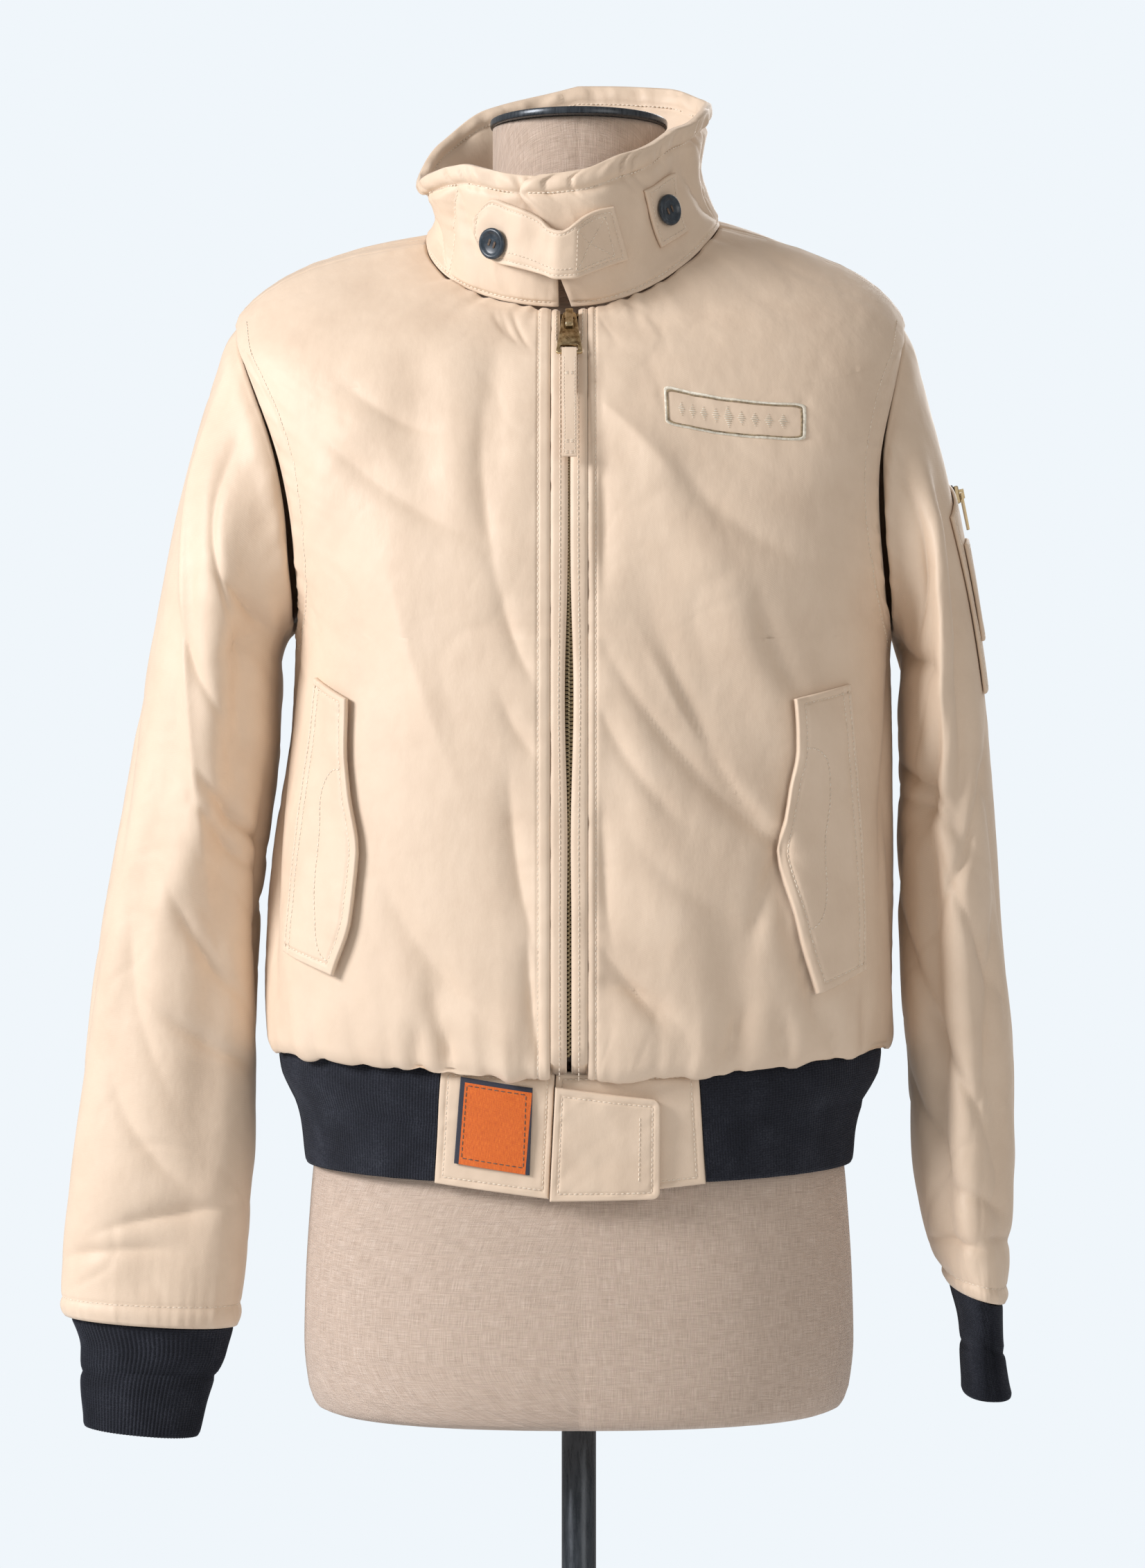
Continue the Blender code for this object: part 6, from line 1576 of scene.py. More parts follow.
def rounded(outline, radius, steps=5):
    """The same closed outline with each corner cut by an arc."""
    corners = [np.array(corner, float) for corner in outline]
    path = []
    for before, here, after in zip(corners[-1:] + corners[:-1], corners, corners[1:] + corners[:1]):
        first, second = before - here, after - here
        reach = min(radius, 0.45 * np.linalg.norm(first), 0.45 * np.linalg.norm(second))
        start, end = here + unit(first) * reach, here + unit(second) * reach
        for t in np.linspace(0, 1, steps):
            path.append(tuple((1 - t) ** 2 * start + 2 * t * (1 - t) * here + t * t * end))
    return path


def box_outline(x, y, wide, tall):
    return [(x + i * wide / 2, y + j * tall / 2) for i, j in ((-1, -1), (1, -1), (1, 1), (-1, 1))]


def pull_pieces(brass, cloth, thread):
    """The zip's pull tab and its strap, which turn on the slider's bridge."""
    pull_frame = slider_frame() @ Matrix.Translation(Vector((0, PULL_AXLE_Y, PULL_AXLE)) * MM)
    outlines = [rounded(PULL_OUTLINE, 2.2)] + [rounded(box_outline(*window), 1.2) for window in PULL_WINDOWS]
    pull = outline_piece("brass_zip_pull", outlines, PULL_THICK, pull_frame, brass, 0.35)
    keep(pull, "zip_pull", slot="aged_brass", body="front_pull")
    half = STRAP_THICK / 2
    middle = STRAP_TURN + half
    arc = [math.radians(a) for a in np.linspace(90, -90, 13)]
    centre = strap_leg(STRAP_BAR_Y - STRAP_LENGTH, STRAP_BAR_Y - 2, 66, middle, STRAP_SETTLE)
    centre += [(STRAP_BAR_Y + middle * math.cos(a), middle * math.sin(a)) for a in arc]
    centre = np.array(centre + strap_leg(STRAP_BAR_Y - 2, STRAP_BAR_Y - STRAP_SHORT, 24, -middle))
    tangent = unit(np.gradient(centre, axis=0))
    line = np.column_stack([centre, -tangent[:, 1], tangent[:, 0]])
    along = lengths(centre, 0)

    def strap(place, across, out=0.0):
        place, across = paired(place, across)
        y, z, ny, nz = (np.interp(place, along, column) for column in line.T)
        edge = (1 - np.abs(across)) * STRAP_WIDTH / 2
        thin = dip(edge, 0.22, 0.8) + dip(edge - 1.4, 0.1, 0.6)
        bend = 0.35 * np.sin(place / 13.0) * smoothstep((60 - place) / 30)
        away = out + np.where(np.asarray(out) > 0, thin, -thin)
        return in_world(pull_frame, points(across * STRAP_WIDTH / 2 + bend, y + ny * away, z + nz * away))

    def sewn(place, across, lift):
        return strap(place, across, half + lift), strap(place, across, half + lift + 1)

    place, across = np.meshgrid(np.linspace(0, along[-1], 117), 1 - 2 * eased(21, 0.08), indexing="ij")
    inner = strap(place[::INNER_STEP, ::INNER_STEP], across[::INNER_STEP, ::INNER_STEP], -half)
    item = shell("cloth_pull_strap", strap(place, across, half), inner, cloth)
    lines = [sewn(between(2.0, STRAP_LENGTH - 2.0, 80), side * 0.7, 0.05) for side in (-1, 1)]
    bars = [bar + step for bar in (1.8, 9.0, 54.0) for step in (0.0, 0.8, 1.6)]
    lines += [sewn(bar, between(-0.66, 0.66, 12), 0.1) for bar in bars]
    stitch_object("stitches_strap", lines, thread, 2.2, 0.26, body="front_pull")
    return pull, keep(item, "pull_strap", body="front_pull")


def slider_piece(brass):
    """The slider's rounded body and its arched bridge."""
    frame_here = slider_frame()
    wide, long, high = SLIDER_SIZE
    body_outline = ((-wide / 2, 3), (-wide / 2 + 1.4, long / 2), (wide / 2 - 1.4, long / 2), (wide / 2, 3),
                    (wide / 2 - 1.9, -long / 2), (-wide / 2 + 1.9, -long / 2))
    flat = frame_here @ Matrix.Translation(Vector((0, 0, high / 2)) * MM)
    item = outline_piece("brass_zip_slider", [rounded(body_outline, 2.0)], high, flat, brass, 0.6)
    top, half = high + BRIDGE_CLEAR, BRIDGE_LENGTH / 2
    arch = [(-half, high - 1), (-half, top + 0.6), (-half + 1.4, top + BRIDGE_THICK)]
    arch += [(-y, z) for y, z in arch[::-1]]
    foot = half - 2.0
    arch += [(foot, high - 1), (foot, top), (-foot, top), (-foot, high - 1)]
    sideways = frame_here @ Matrix(((0, 0, 1, 0), (1, 0, 0, 0), (0, 1, 0, 0), (0, 0, 0, 1)))
    bridge = outline_piece("slider_bridge", [rounded(arch, 1.2)], BRIDGE_WIDTH, sideways, brass, 0.5)
    joined = join("brass_slider", [item, bridge])
    return keep(joined, "zip_slider", slot="aged_brass")


def join(name, items):
    """One mesh from several, which all lie at the origin."""
    work = bmesh.new()
    for item in items:
        work.from_mesh(item.data)
    mesh = bpy.data.meshes.new(name)
    work.to_mesh(mesh)
    work.free()
    mesh.materials.append(items[0].data.materials[0])
    for item in items:
        bpy.data.objects.remove(item)
    return linked(name, mesh)


# ---------------------------------------------------------------- buttons
BUTTON_PROFILE = (
    (0.0, 0.0), (7.6, 0.0), (9.1, 0.7), (9.6, 1.9), (9.4, 2.8), (8.7, 3.4), (7.9, 3.55), (7.1, 3.3),
    (6.4, 2.6), (5.2, 2.15), (0.0, 2.1),
)
BUTTON_SIDES = 72


def turned(name, profile, sides, material, matrix=None):
    """A profile of (radius, height) pairs turned about Z as one closed mesh."""
    angle = np.linspace(0, 2 * math.pi, sides, endpoint=False)
    radius, height = np.array(profile, float)[1:-1, :, None].transpose(1, 0, 2)
    vertices = points(radius * np.cos(angle), radius * np.sin(angle), height).reshape(-1, 3)
    low, last = len(vertices), len(vertices) - sides
    vertices = np.concatenate([vertices, [[0, 0, profile[0][1]], [0, 0, profile[-1][1]]]])
    faces = grid_quads(0, len(radius), sides, True).tolist()
    for k in range(sides):
        after = (k + 1) % sides
        faces += [(low, after, k), (low + 1, last + k, last + after)]
    if matrix is not None:
        vertices = in_world(matrix, vertices)
    item = new_object(name, vertices, faces, material)
    item.data.set_sharp_from_angle(angle=math.radians(55))
    return item


def button_piece(name, node, surface, along, across, lift, plastic, thread):
    """A bare button with a raised rim, sewn on with thick thread in two bars across the places of its four
    holes, which are not cut.
    """
    place = surface(along, across, lift)
    out = surface(along, across, lift + 1) - place
    sideways = surface(along + 0.1, across, lift) - surface(along - 0.1, across, lift)
    matrix = frame_at(place, sideways, out)
    keep(turned(f"button_{name}", BUTTON_PROFILE, BUTTON_SIDES, plastic, matrix), node, slot="button_plastic")
    y = np.linspace(-2.2, 2.2, 9)
    high = 2.3 + 0.5 * np.cos(y / 2.2 * math.pi / 2)
    lines = []
    for x in (-BUTTON_HOLE_AT, BUTTON_HOLE_AT):
        for step in (-0.35, 0.35):
            lines.append(tuple(in_world(matrix, points(x + step, y, high + up)) for up in (0, 1)))
    stitch_object(f"thread_{name}", lines, thread, 5.0, 0.42, 1.0)


# ---------------------------------------------------------------- pockets
FLAP_STITCH = 5.0


def flap_length(side):
    up = FLAPS[side].columns["up"]
    return up[-1] - up[0]


def flap_cloth(side):
    """A flap over the body's own relief, with rounded edges and a stitched border."""
    length = flap_length(side)

    def cloth(share, across, out=0.0):
        share, across = paired(share, across)
        reach = FLAPS[side].read("reach", share)
        x, y = across * reach, share * length
        edge = np.minimum(reach - x, np.minimum(y, length - y))
        ends = np.minimum(edge, x)
        relief = rounding(ends, 1.1)
        relief += stitched(y, edge - FLAP_STITCH, 141, 0.3, 5, 8) * smoothstep(edge / 3)
        relief += dip(x - 6.0, 0.6, 1.3) + dip(x - 2.2, 0.4, 1.0)
        relief += (0.6 * noise2(x, y, 143, 22, 34) + 0.35 * noise2(x, y, 144, 9, 13)) * smoothstep(ends / 6)
        under = body_relief(*flap_place(side, share, across))
        return flap(side, share, across, out + relief + under + 0.4)

    return cloth


def flap_piece(side, material):
    surface, node = flap_cloth(side), f"pocket_flap_{side}"
    item = trim_shell(f"cloth_{node}", lambda a, b: surface(a, b, FLAP_WALL), surface, 121, 49, material)
    return keep(item, node)


def flap_lines(side):
    surface, table = flap_cloth(side), FLAPS[side]
    end = FLAP_STITCH / flap_length(side)

    def sewn(share, from_sewn=None, from_free=None):
        """A line at a distance from a flap's sewn edge or from its free one."""
        reach = table.read("reach", share)
        across = from_sewn / reach if from_free is None else 1 - from_free / reach
        return line_on(surface, share, across, FLAP_WALL + 0.12)

    lines = [sewn(between(end, 1 - end, 120), from_free=FLAP_STITCH)]
    for share in (end, 1 - end):
        wide = float(table.read("reach", share))
        spots = between(2.5, wide - FLAP_STITCH, 30)
        lines.append(sewn(np.full(30, share), from_sewn=spots))
    lines += [sewn(between(0.02, 0.98, 120), from_sewn=x) for x in (2.2, 6.0)]
    middle, half, deep = FLAP_ARC[side]
    turn = between(0, math.pi, 90)
    lines.append(sewn(middle + half * np.cos(turn), from_free=FLAP_STITCH + deep * np.sin(turn)))
    return lines


# The half-round line of stitching on each flap: its middle and half length as shares, and its depth.
FLAP_ARC = {"right": (0.37, 0.33, 22.0), "left": (0.50, 0.30, 22.0)}

SLEEVE_PATCH_RADIUS = 62.0


def sleeve_patch_cloth(spec, seed):
    """A patch on the left sleeve over two shares: across it, and from its bottom up."""
    wide = math.radians(spec["last"] - spec["first"]) * SLEEVE_PATCH_RADIUS
    tall = spec["bottom"] - (spec["top_first"] + spec["top_last"]) / 2

    def place(first, second, out):
        first, second = paired(first, second)
        turn = np.radians(spec["first"] + (spec["last"] - spec["first"]) * first)
        top = spec["top_first"] + (spec["top_last"] - spec["top_first"]) * first
        down = spec["bottom"] + (top - spec["bottom"]) * second
        return sleeve("left", turn, down, out + sleeve_relief("left", turn, down))

    def face(first, second, out=0.0):
        first, second = paired(first, second)
        edge = from_edge(first, second, wide, tall)
        relief = rounding(edge, min(0.9, spec["thick"] * 0.6)) + dip(edge - 3.2, 0.35, 1.0)
        relief += 0.35 * noise2(first * wide, second * tall, seed, 18, 22) * smoothstep(edge / 4)
        return place(first, second, spec["seat"] + spec["thick"] + relief + out)

    return face, lambda first, second: place(first, second, spec["seat"]), wide, tall


SLEEVE_TOOTH_PITCH = 1.7


def sleeve_pocket_pieces(cloth, brass, tape, thread):
    made, lines = {}, []
    specs = (("sleeve_pocket", SLEEVE_POCKET, 81, 97), ("pen_pocket", PEN_POCKET, 49, 65))
    for seed, (name, spec, columns, rows) in enumerate(specs):
        face, back, wide, tall = sleeve_patch_cloth(spec, 151 + seed)
        made[name] = keep(trim_shell(f"cloth_{name}", face, back, columns, rows, cloth), name)
        lines += inset_lines(face, wide, tall, 3.2)
    stitch_object("stitches_sleeve_pocket", lines, thread, 3.0, 0.32)
    face, back, wide, tall = sleeve_patch_cloth(SLEEVE_ZIP, 155)
    item = trim_shell("tape_sleeve_zip", face, back, 13, 97, tape)
    made["sleeve_zip"] = keep(item, "sleeve_zip", slot="zip_tape")
    count = int(tall / SLEEVE_TOOTH_PITCH)
    share = 0.02 + 0.96 * (np.arange(count)[:, None] + np.array([[0.0, 0.5]])) / count
    spots = 0.5 + np.array([-1, 1])[None, :, None] * between(0.02, 0.17, 4)
    spots, share = (values.reshape(-1, 4) for values in np.broadcast_arrays(spots, share[..., None]))
    teeth = list(zip(face(spots, share, 0.25), face(spots, share, 1.25)))
    stitch_object("sleeve_zip_teeth", teeth, brass, 5.0, 0.42, 0.95, slot="aged_brass")
    return made


# ---------------------------------------------------------------- badge
BADGE_LOZENGES = 9
BADGE_SIZE = np.array([88.0, 30.0])


def badge_pieces(pale, ochre):
    """A bare place for a name badge: a corded border in two tones, with a generic line of small lozenges."""
    corners = rounded(((0, 0), (1, 0), (1, 1), (0, 1)), 0.09, 6)
    corners = np.array(corners + corners[:1])
    along = lengths(corners * BADGE_SIZE, 0)

    def border(inward, count):
        """Shares across and up the badge, along a line that lies a little inside its edge."""
        where = np.linspace(0, along[-1], count)
        spots = np.stack([np.interp(where, along, corners[:, axis]) for axis in (0, 1)])
        return 0.5 + (spots - 0.5) * (1 - 2 * inward / BADGE_SIZE[:, None])

    def laid(x, y, lift):
        """One short thread for each row of places."""
        turn, up = across_corners(BADGE_CORNERS, x, y)
        return list(zip(*(body_cloth(turn, up, np.asarray(lift) + more) for more in (0, 1))))

    def cross_threads(inside, outside, count):
        """Short threads laid across the border, side by side."""
        first, second = border(inside, count), border(outside, count)
        x, y = np.stack([second, (first + second) / 2, first], axis=-1)
        return laid(x, y, np.broadcast_to((0.25, 0.75, 0.25), x.shape))

    stitch_object("badge_border_pale", cross_threads(1.5, -0.3, 480), pale, 9.0, 0.42, 1.0)
    stitch_object("badge_border_ochre", cross_threads(2.7, 1.5, 460), ochre, 9.0, 0.3, 1.0)
    xs, ys = [], []
    for k in range(BADGE_LOZENGES):
        middle = 0.14 + 0.72 * k / (BADGE_LOZENGES - 1)
        large = k == BADGE_LOZENGES // 2
        for row in np.linspace(-1, 1, 11 if large else 7):
            half = (1 - abs(row)) * (0.034 if large else 0.026) + 0.003
            xs.append((middle - half, middle, middle + half))
            ys.append([0.5 + row * (0.28 if large else 0.17)] * 3)
    lozenges = laid(np.array(xs), np.array(ys), np.full((len(xs), 3), 0.35))
    stitch_object("badge_lozenges", lozenges, pale, 9.0, 0.27, 1.0)


# ---------------------------------------------------------------- dress form and stand
def form_piece(linen, steel):
    """Linen over a smooth form, with a seam down each side, the centre and the princess lines."""
    turn = np.linspace(0, 2 * math.pi, 160, endpoint=False)[None, :]
    z = [np.linspace(717, 724, 6)[:-1], np.linspace(724, 1380, 96)[:-1], np.linspace(1380, 1516, 56)]
    turn, z = np.broadcast_arrays(turn, np.concatenate(z)[:, None])
    seam = np.zeros(turn.shape)
    for degrees in FORM_SEAMS:
        seam = seam + dip(np.radians(half_turn(np.degrees(turn) - degrees)) * FORM_RADIUS, 0.5, 2.2)
    outer = form_points(turn, z) + points(np.sin(turn), -np.cos(turn), 0) * seam[..., None]
    rows, columns = turn.shape
    ring = list(range(columns))
    faces = grid_quads(0, rows, columns, True).tolist()
    faces += [ring[::-1], [(rows - 1) * columns + k for k in ring]]
    uvs = np.concatenate([grid_uvs(outer, True), np.zeros((2 * columns, 2))])
    keep(new_object("linen_form", outer.reshape(-1, 3), faces, linen, uvs), "dress_form", slot="form_linen")
    r, t = NECK_CAP_RADIUS, NECK_CAP_THICK
    profile = [(0, 0), (r - 1, 0), (r - 0.3, 0.3), (r, 1), (r, t - 1), (r - 0.3, t - 0.3), (r - 1, t)]
    profile += [(r - 3, t), (r - 3.6, t - 0.5), (r - 4, t - 1.6), (0, t - 1.6)]
    matrix = Matrix.Translation(Vector((0, -3.0, FORM_ROWS[-1][0] + SEAM_GAP)) * MM)
    keep(turned("steel_neck_cap", profile, 128, steel, matrix), "neck_cap", slot="blackened_steel")


FORM_SEAMS = (0, 52, -52, 90, -90, 180, 128, -128)  # degrees round
FORM_RADIUS = 150


def stand_pieces(steel):
    top, foot, r = FORM_ROWS[0][0] + POLE_SOCKET, BASE_EDGE + SEAM_GAP, POLE_RADIUS
    pole = [(0, foot), (r - 1, foot), (r - 0.3, foot + 0.3), (r, foot + 1), (r, 400.0), (r, top - 1)]
    pole += [(r - 1, top), (0, top)]
    keep(turned("steel_pole", pole, 96, steel), "pole", slot="blackened_steel")
    bore, r, edge, hub = POLE_RADIUS + SEAM_GAP, BASE_RADIUS, BASE_EDGE, HUB_RADIUS
    base = [(0, 0), (r - 0.6, 0), (r, 0.8), (r, edge - 2), (r - 0.6, edge - 0.7), (r - 2, edge)]
    base += [(r - 12, edge + 1), (hub + 5, BASE_TOP + 1), (hub + 1.4, BASE_TOP + 2.6), (hub, BASE_TOP + 6)]
    base += [(hub, HUB_TOP - 2), (hub - 0.6, HUB_TOP - 0.6), (hub - 2, HUB_TOP), (bore, HUB_TOP)]
    base += [(bore, edge), (0, edge)]
    keep(turned("steel_base", base, 160, steel), "base", slot="blackened_steel")


# ---------------------------------------------------------------- long lines of stitching
def long_stitches(thread):
    """The topstitching by the zip, the armholes and seams, the sleeves' hems, the collar and the flaps."""
    lines = []
    for side in ("right", "left"):
        sign = SIDE_SIGN[side]
        rows = between(8, NECK - 6, 320)
        x = ZIP_X + sign * (STRIP_OUTER + PLACKET_STITCH[side])
        lines.append(line_on(body_cloth, [turn_at_x(x, up) for up in rows], rows))
        for face in (1, -1):
            share = (1 - np.cos(between(0.12, math.pi - 0.1, 160))) / 2
            up = UNDERARM - ARM_STITCH + share * (SHOULDER - UNDERARM + 2 * ARM_STITCH)
            lines.append(line_on(body_cloth, armhole_turn(share, side, face, -ARM_STITCH), up))
        for low, high in ((6.0, UNDERARM - 16), (SHOULDER + 16, NECK - 5)):
            rows = between(low, high, 120)
            behind = sign * (math.pi / 2 + SIDE_STITCH / BODY.read(side, rows))
            lines.append(line_on(body_cloth, behind, rows))
        turn = np.linspace(0, 2 * math.pi, 241)
        lines.append(line_on(sleeve_cloth(side), turn, np.full(241, SLEEVE_HEM_STITCH)))
    stitch_object("stitches_body", lines, thread, 3.3, 0.34)
    share, low = np.full(700, COLLAR_STITCH), np.full(500, 3.0 / COLLAR_HEIGHT)
    lines = [
        line_on(collar_cloth, collar_turn(between(0.008, 0.992, 700), share), share, 0.15),
        line_on(collar_cloth, collar_turn(between(0.01, 0.99, 500), low), low, 0.15),
        line_on(collar_inside, np.radians(between(80, 280, 420)), np.full(420, COLLAR_STITCH), 0.15),
    ]
    share = between(0.06, COLLAR_STITCH - 0.03, 40)
    for k in range(QUILT_CELLS):
        for start, end in ((k, k + 0.5), (k + 1, k + 0.5)):
            cell = start + (end - start) * share / COLLAR_STITCH - 0.12 * noise(share, 81, 0.3)
            turn = collar_turn(cell / QUILT_CELLS, share)
            degrees = half_turn(np.degrees(turn))
            if not np.any((degrees < 64) & (degrees > -50)):
                lines.append(line_on(collar_cloth, turn, share))
    stitch_object("stitches_collar", lines, thread, 2.9, 0.42)
    stitch_object("stitches_flaps", flap_lines("right") + flap_lines("left"), thread, 3.1, 0.42)


# ---------------------------------------------------------------- materials
class Nodes:
    """A short way to write a material's nodes."""

    def __init__(self, name, colour, roughness, metallic=0.0):
        self.material = bpy.data.materials.new(name)
        self.material.use_nodes = True
        self.tree = self.material.node_tree
        self.shader = self.tree.nodes["Principled BSDF"]
        self.shader.inputs["Base Color"].default_value = (*colour, 1)
        self.shader.inputs["Roughness"].default_value = roughness
        self.shader.inputs["Metallic"].default_value = metallic

    def add(self, kind, **inputs):
        node = self.tree.nodes.new("ShaderNode" + kind)
        for name, value in inputs.items():
            self.feed(node.inputs[name.replace("_", " ")], value)
        return node

    def feed(self, socket, value):
        """A socket takes another node's output or a plain value."""
        if isinstance(value, bpy.types.NodeSocket):
            self.tree.links.new(value, socket)
        else:
            socket.default_value = value

    def link(self, value, name):
        self.feed(self.shader.inputs[name], value)

    def math(self, operation, first, second=0.0, third=0.0):
        node = self.tree.nodes.new("ShaderNodeMath")
        node.operation = operation
        for socket, value in zip(node.inputs, (first, second, third)):
            self.feed(socket, value)
        return node.outputs[0]

    def wave(self, where, scale, distortion, direction="X", detail=1.0):
        node = self.add("TexWave", Vector=where, Scale=scale, Distortion=distortion, Detail=detail)
        node.wave_type, node.bands_direction = "BANDS", direction
        return node.outputs["Fac"]

    def noise(self, where, scale, detail=2.0, roughness=0.5):
        node = self.add("TexNoise", Vector=where, Scale=scale, Detail=detail, Roughness=roughness)
        return node.outputs["Fac"]

    def ramp(self, value, stops):
        node = self.add("ValToRGB", Fac=value)
        ramp = node.color_ramp
        ramp.elements[0].position, ramp.elements[0].color = stops[0][0], (*stops[0][1], 1)
        ramp.elements[1].position, ramp.elements[1].color = stops[-1][0], (*stops[-1][1], 1)
        for position, colour in stops[1:-1]:
            ramp.elements.new(position).color = (*colour, 1)
        return node.outputs["Color"]

    def bump(self, height, strength, distance, normal=None):
        node = self.add("Bump", Height=height, Strength=strength, Distance=distance)
        if normal is not None:
            self.tree.links.new(normal, node.inputs["Normal"])
        return node.outputs["Normal"]

    def places(self, kind="Object"):
        return self.add("TexCoord").outputs[kind]

    def stretched(self, where, scale):
        node = self.add("Mapping", Vector=where)
        node.inputs["Scale"].default_value = scale
        return node.outputs["Vector"]


SATIN_LOW, SATIN_MID, SATIN_HIGH = (0.715, 0.562, 0.422), (0.750, 0.597, 0.452), (0.780, 0.627, 0.480)


def satin_material():
    """Sand satin nylon: a fine diagonal weave, faint wandering tone and small soft wrinkles."""
    n = Nodes("sand_satin_cloth", SATIN_MID, 0.56)
    place, cloth = n.places(), n.places("UV")
    tone = n.noise(place, 26.0, 4.0, 0.6)
    n.link(n.ramp(tone, ((0.3, SATIN_LOW), (0.5, SATIN_MID), (0.72, SATIN_HIGH))), "Base Color")
    twill = n.wave(cloth, 0.55, 0.6, "DIAGONAL")
    wrinkle = n.noise(n.stretched(place, (1.0, 1.0, 0.6)), 120.0, 3.0, 0.55)
    broad = n.noise(n.stretched(place, (1.0, 1.0, 0.5)), 42.0, 2.0, 0.5)
    soft = n.bump(broad, 0.35, 0.003)
    small = n.bump(wrinkle, 0.35, 0.0010, soft)
    n.link(n.bump(twill, 0.12, 0.0002, small), "Normal")
    rough = n.math("MULTIPLY_ADD", n.noise(place, 60.0, 3.0), 0.16, 0.48)
    n.link(rough, "Roughness")
    n.link(0.25, "Sheen Weight")
    n.link(0.4, "Sheen Roughness")
    n.link((1.0, 0.93, 0.85, 1), "Sheen Tint")
    n.link(0.42, "Specular IOR Level")
    return n.material


def knit_material():
    """Blue-black wool rib: fuzzy stitches down each rib, a touch paler in random patches."""
    n = Nodes("navy_rib_knit", (0.022, 0.026, 0.036), 0.92)
    place, cloth = n.places(), n.places("UV")
    fuzz = n.noise(place, 900.0, 3.0, 0.7)
    tone = n.noise(place, 45.0, 3.0)
    mixed = n.math("MULTIPLY_ADD", fuzz, 0.6, n.math("MULTIPLY", tone, 0.4))
    tones = ((0.32, (0.007, 0.008, 0.012)), (0.52, (0.016, 0.018, 0.026)), (0.72, (0.042, 0.046, 0.060)))
    n.link(n.ramp(mixed, tones), "Base Color")
    rows = n.wave(cloth, 0.21, 1.2, "Y")
    loops = n.bump(rows, 0.45, 0.0006)
    n.link(n.bump(fuzz, 0.5, 0.0004, loops), "Normal")
    n.link(0.12, "Sheen Weight")
    n.link(0.5, "Sheen Roughness")
    n.link((0.62, 0.68, 0.80, 1), "Sheen Tint")
    n.link(0.25, "Specular IOR Level")
    return n.material


def linen_material():
    """Natural linen: crossed slubby threads, with a pinkish beige tone that varies from thread to thread."""
    n = Nodes("linen_cover", (0.60, 0.47, 0.375), 0.88)
    cloth = n.places("UV")
    across = n.noise(n.stretched(cloth, (0.09, 2.1, 1.0)), 1.0, 2.0, 0.6)
    down = n.noise(n.stretched(cloth, (2.1, 0.09, 1.0)), 1.0, 2.0, 0.6)
    weave_x = n.wave(cloth, 0.40, 0.6, "X")
    weave_y = n.wave(cloth, 0.40, 0.6, "Y")
    threads = n.math("MULTIPLY_ADD", n.math("ADD", across, down), 0.5, 0.0)
    tones = ((0.36, (0.48, 0.365, 0.285)), (0.5, (0.60, 0.470, 0.375)), (0.64, (0.71, 0.585, 0.49)))
    n.link(n.ramp(threads, tones), "Base Color")
    grid = n.math("MULTIPLY", weave_x, weave_y)
    woven = n.bump(grid, 0.5, 0.0006)
    n.link(n.bump(threads, 0.6, 0.0008, woven), "Normal")
    n.link(0.2, "Sheen Weight")
    return n.material


def brass_material(name, share=1.0):
    """Aged brass: dark in its hollows and brown patches, rubbed bright along the edges."""
    # A share under 1 darkens every colour. The zip teeth's 0.42 is partly their own darker brass and partly
    # painted shade for the narrow slit they sit in.
    n = Nodes(name, (0.30 * share, 0.22 * share, 0.11 * share), 0.36, 1.0)
    place = n.places()
    patches = n.noise(place, 320.0, 4.0, 0.65)
    edge = n.add("NewGeometry").outputs["Pointiness"]
    worn = n.math("MULTIPLY_ADD", n.math("SUBTRACT", edge, 0.5), 6.0, patches)
    colours = ((0.38, (0.10, 0.065, 0.035)), (0.52, (0.30, 0.21, 0.11)), (0.74, (0.62, 0.49, 0.29)))
    toned = [(at, tuple(share * value for value in colour)) for at, colour in colours]
    n.link(n.ramp(worn, toned), "Base Color")
    n.link(n.math("MULTIPLY_ADD", patches, 0.3, 0.2), "Roughness")
    n.link(n.bump(n.noise(place, 900.0, 2.0), 0.2, 0.0001), "Normal")
    return n.material


def steel_material():
    """Dark painted steel, half gloss, with a faint orange-peel skin and fine scuffs."""
    n = Nodes("blackened_steel_paint", (0.035, 0.045, 0.055), 0.28, 0.3)
    place = n.places()
    scuffs = n.noise(n.stretched(place, (6.0, 6.0, 0.8)), 60.0, 4.0, 0.7)
    n.link(n.ramp(scuffs, ((0.35, (0.020, 0.027, 0.035)), (0.7, (0.060, 0.072, 0.085)))), "Base Color")
    n.link(n.math("MULTIPLY_ADD", scuffs, 0.25, 0.16), "Roughness")
    n.link(n.bump(n.noise(place, 400.0, 2.0), 0.15, 0.0002), "Normal")
    return n.material


def plastic_material():
    """Dark slate button plastic with cloudy tone and fine turning scratches."""
    n = Nodes("slate_plastic", (0.030, 0.045, 0.060), 0.32)
    place = n.places()
    cloud = n.noise(place, 260.0, 3.0, 0.6)
    colours = ((0.3, (0.014, 0.022, 0.032)), (0.55, (0.030, 0.045, 0.060)), (0.75, (0.075, 0.092, 0.110)))
    n.link(n.ramp(cloud, colours), "Base Color")
    n.link(n.math("MULTIPLY_ADD", n.noise(place, 1500.0, 2.0), 0.25, 0.2), "Roughness")
    n.link(n.bump(n.noise(place, 1200.0, 2.0), 0.12, 0.0001), "Normal")
    return n.material


LABEL_WIDE_MM, LABEL_TALL_MM, LABEL_BORDER_MM = 47.0, 59.0, 3.2


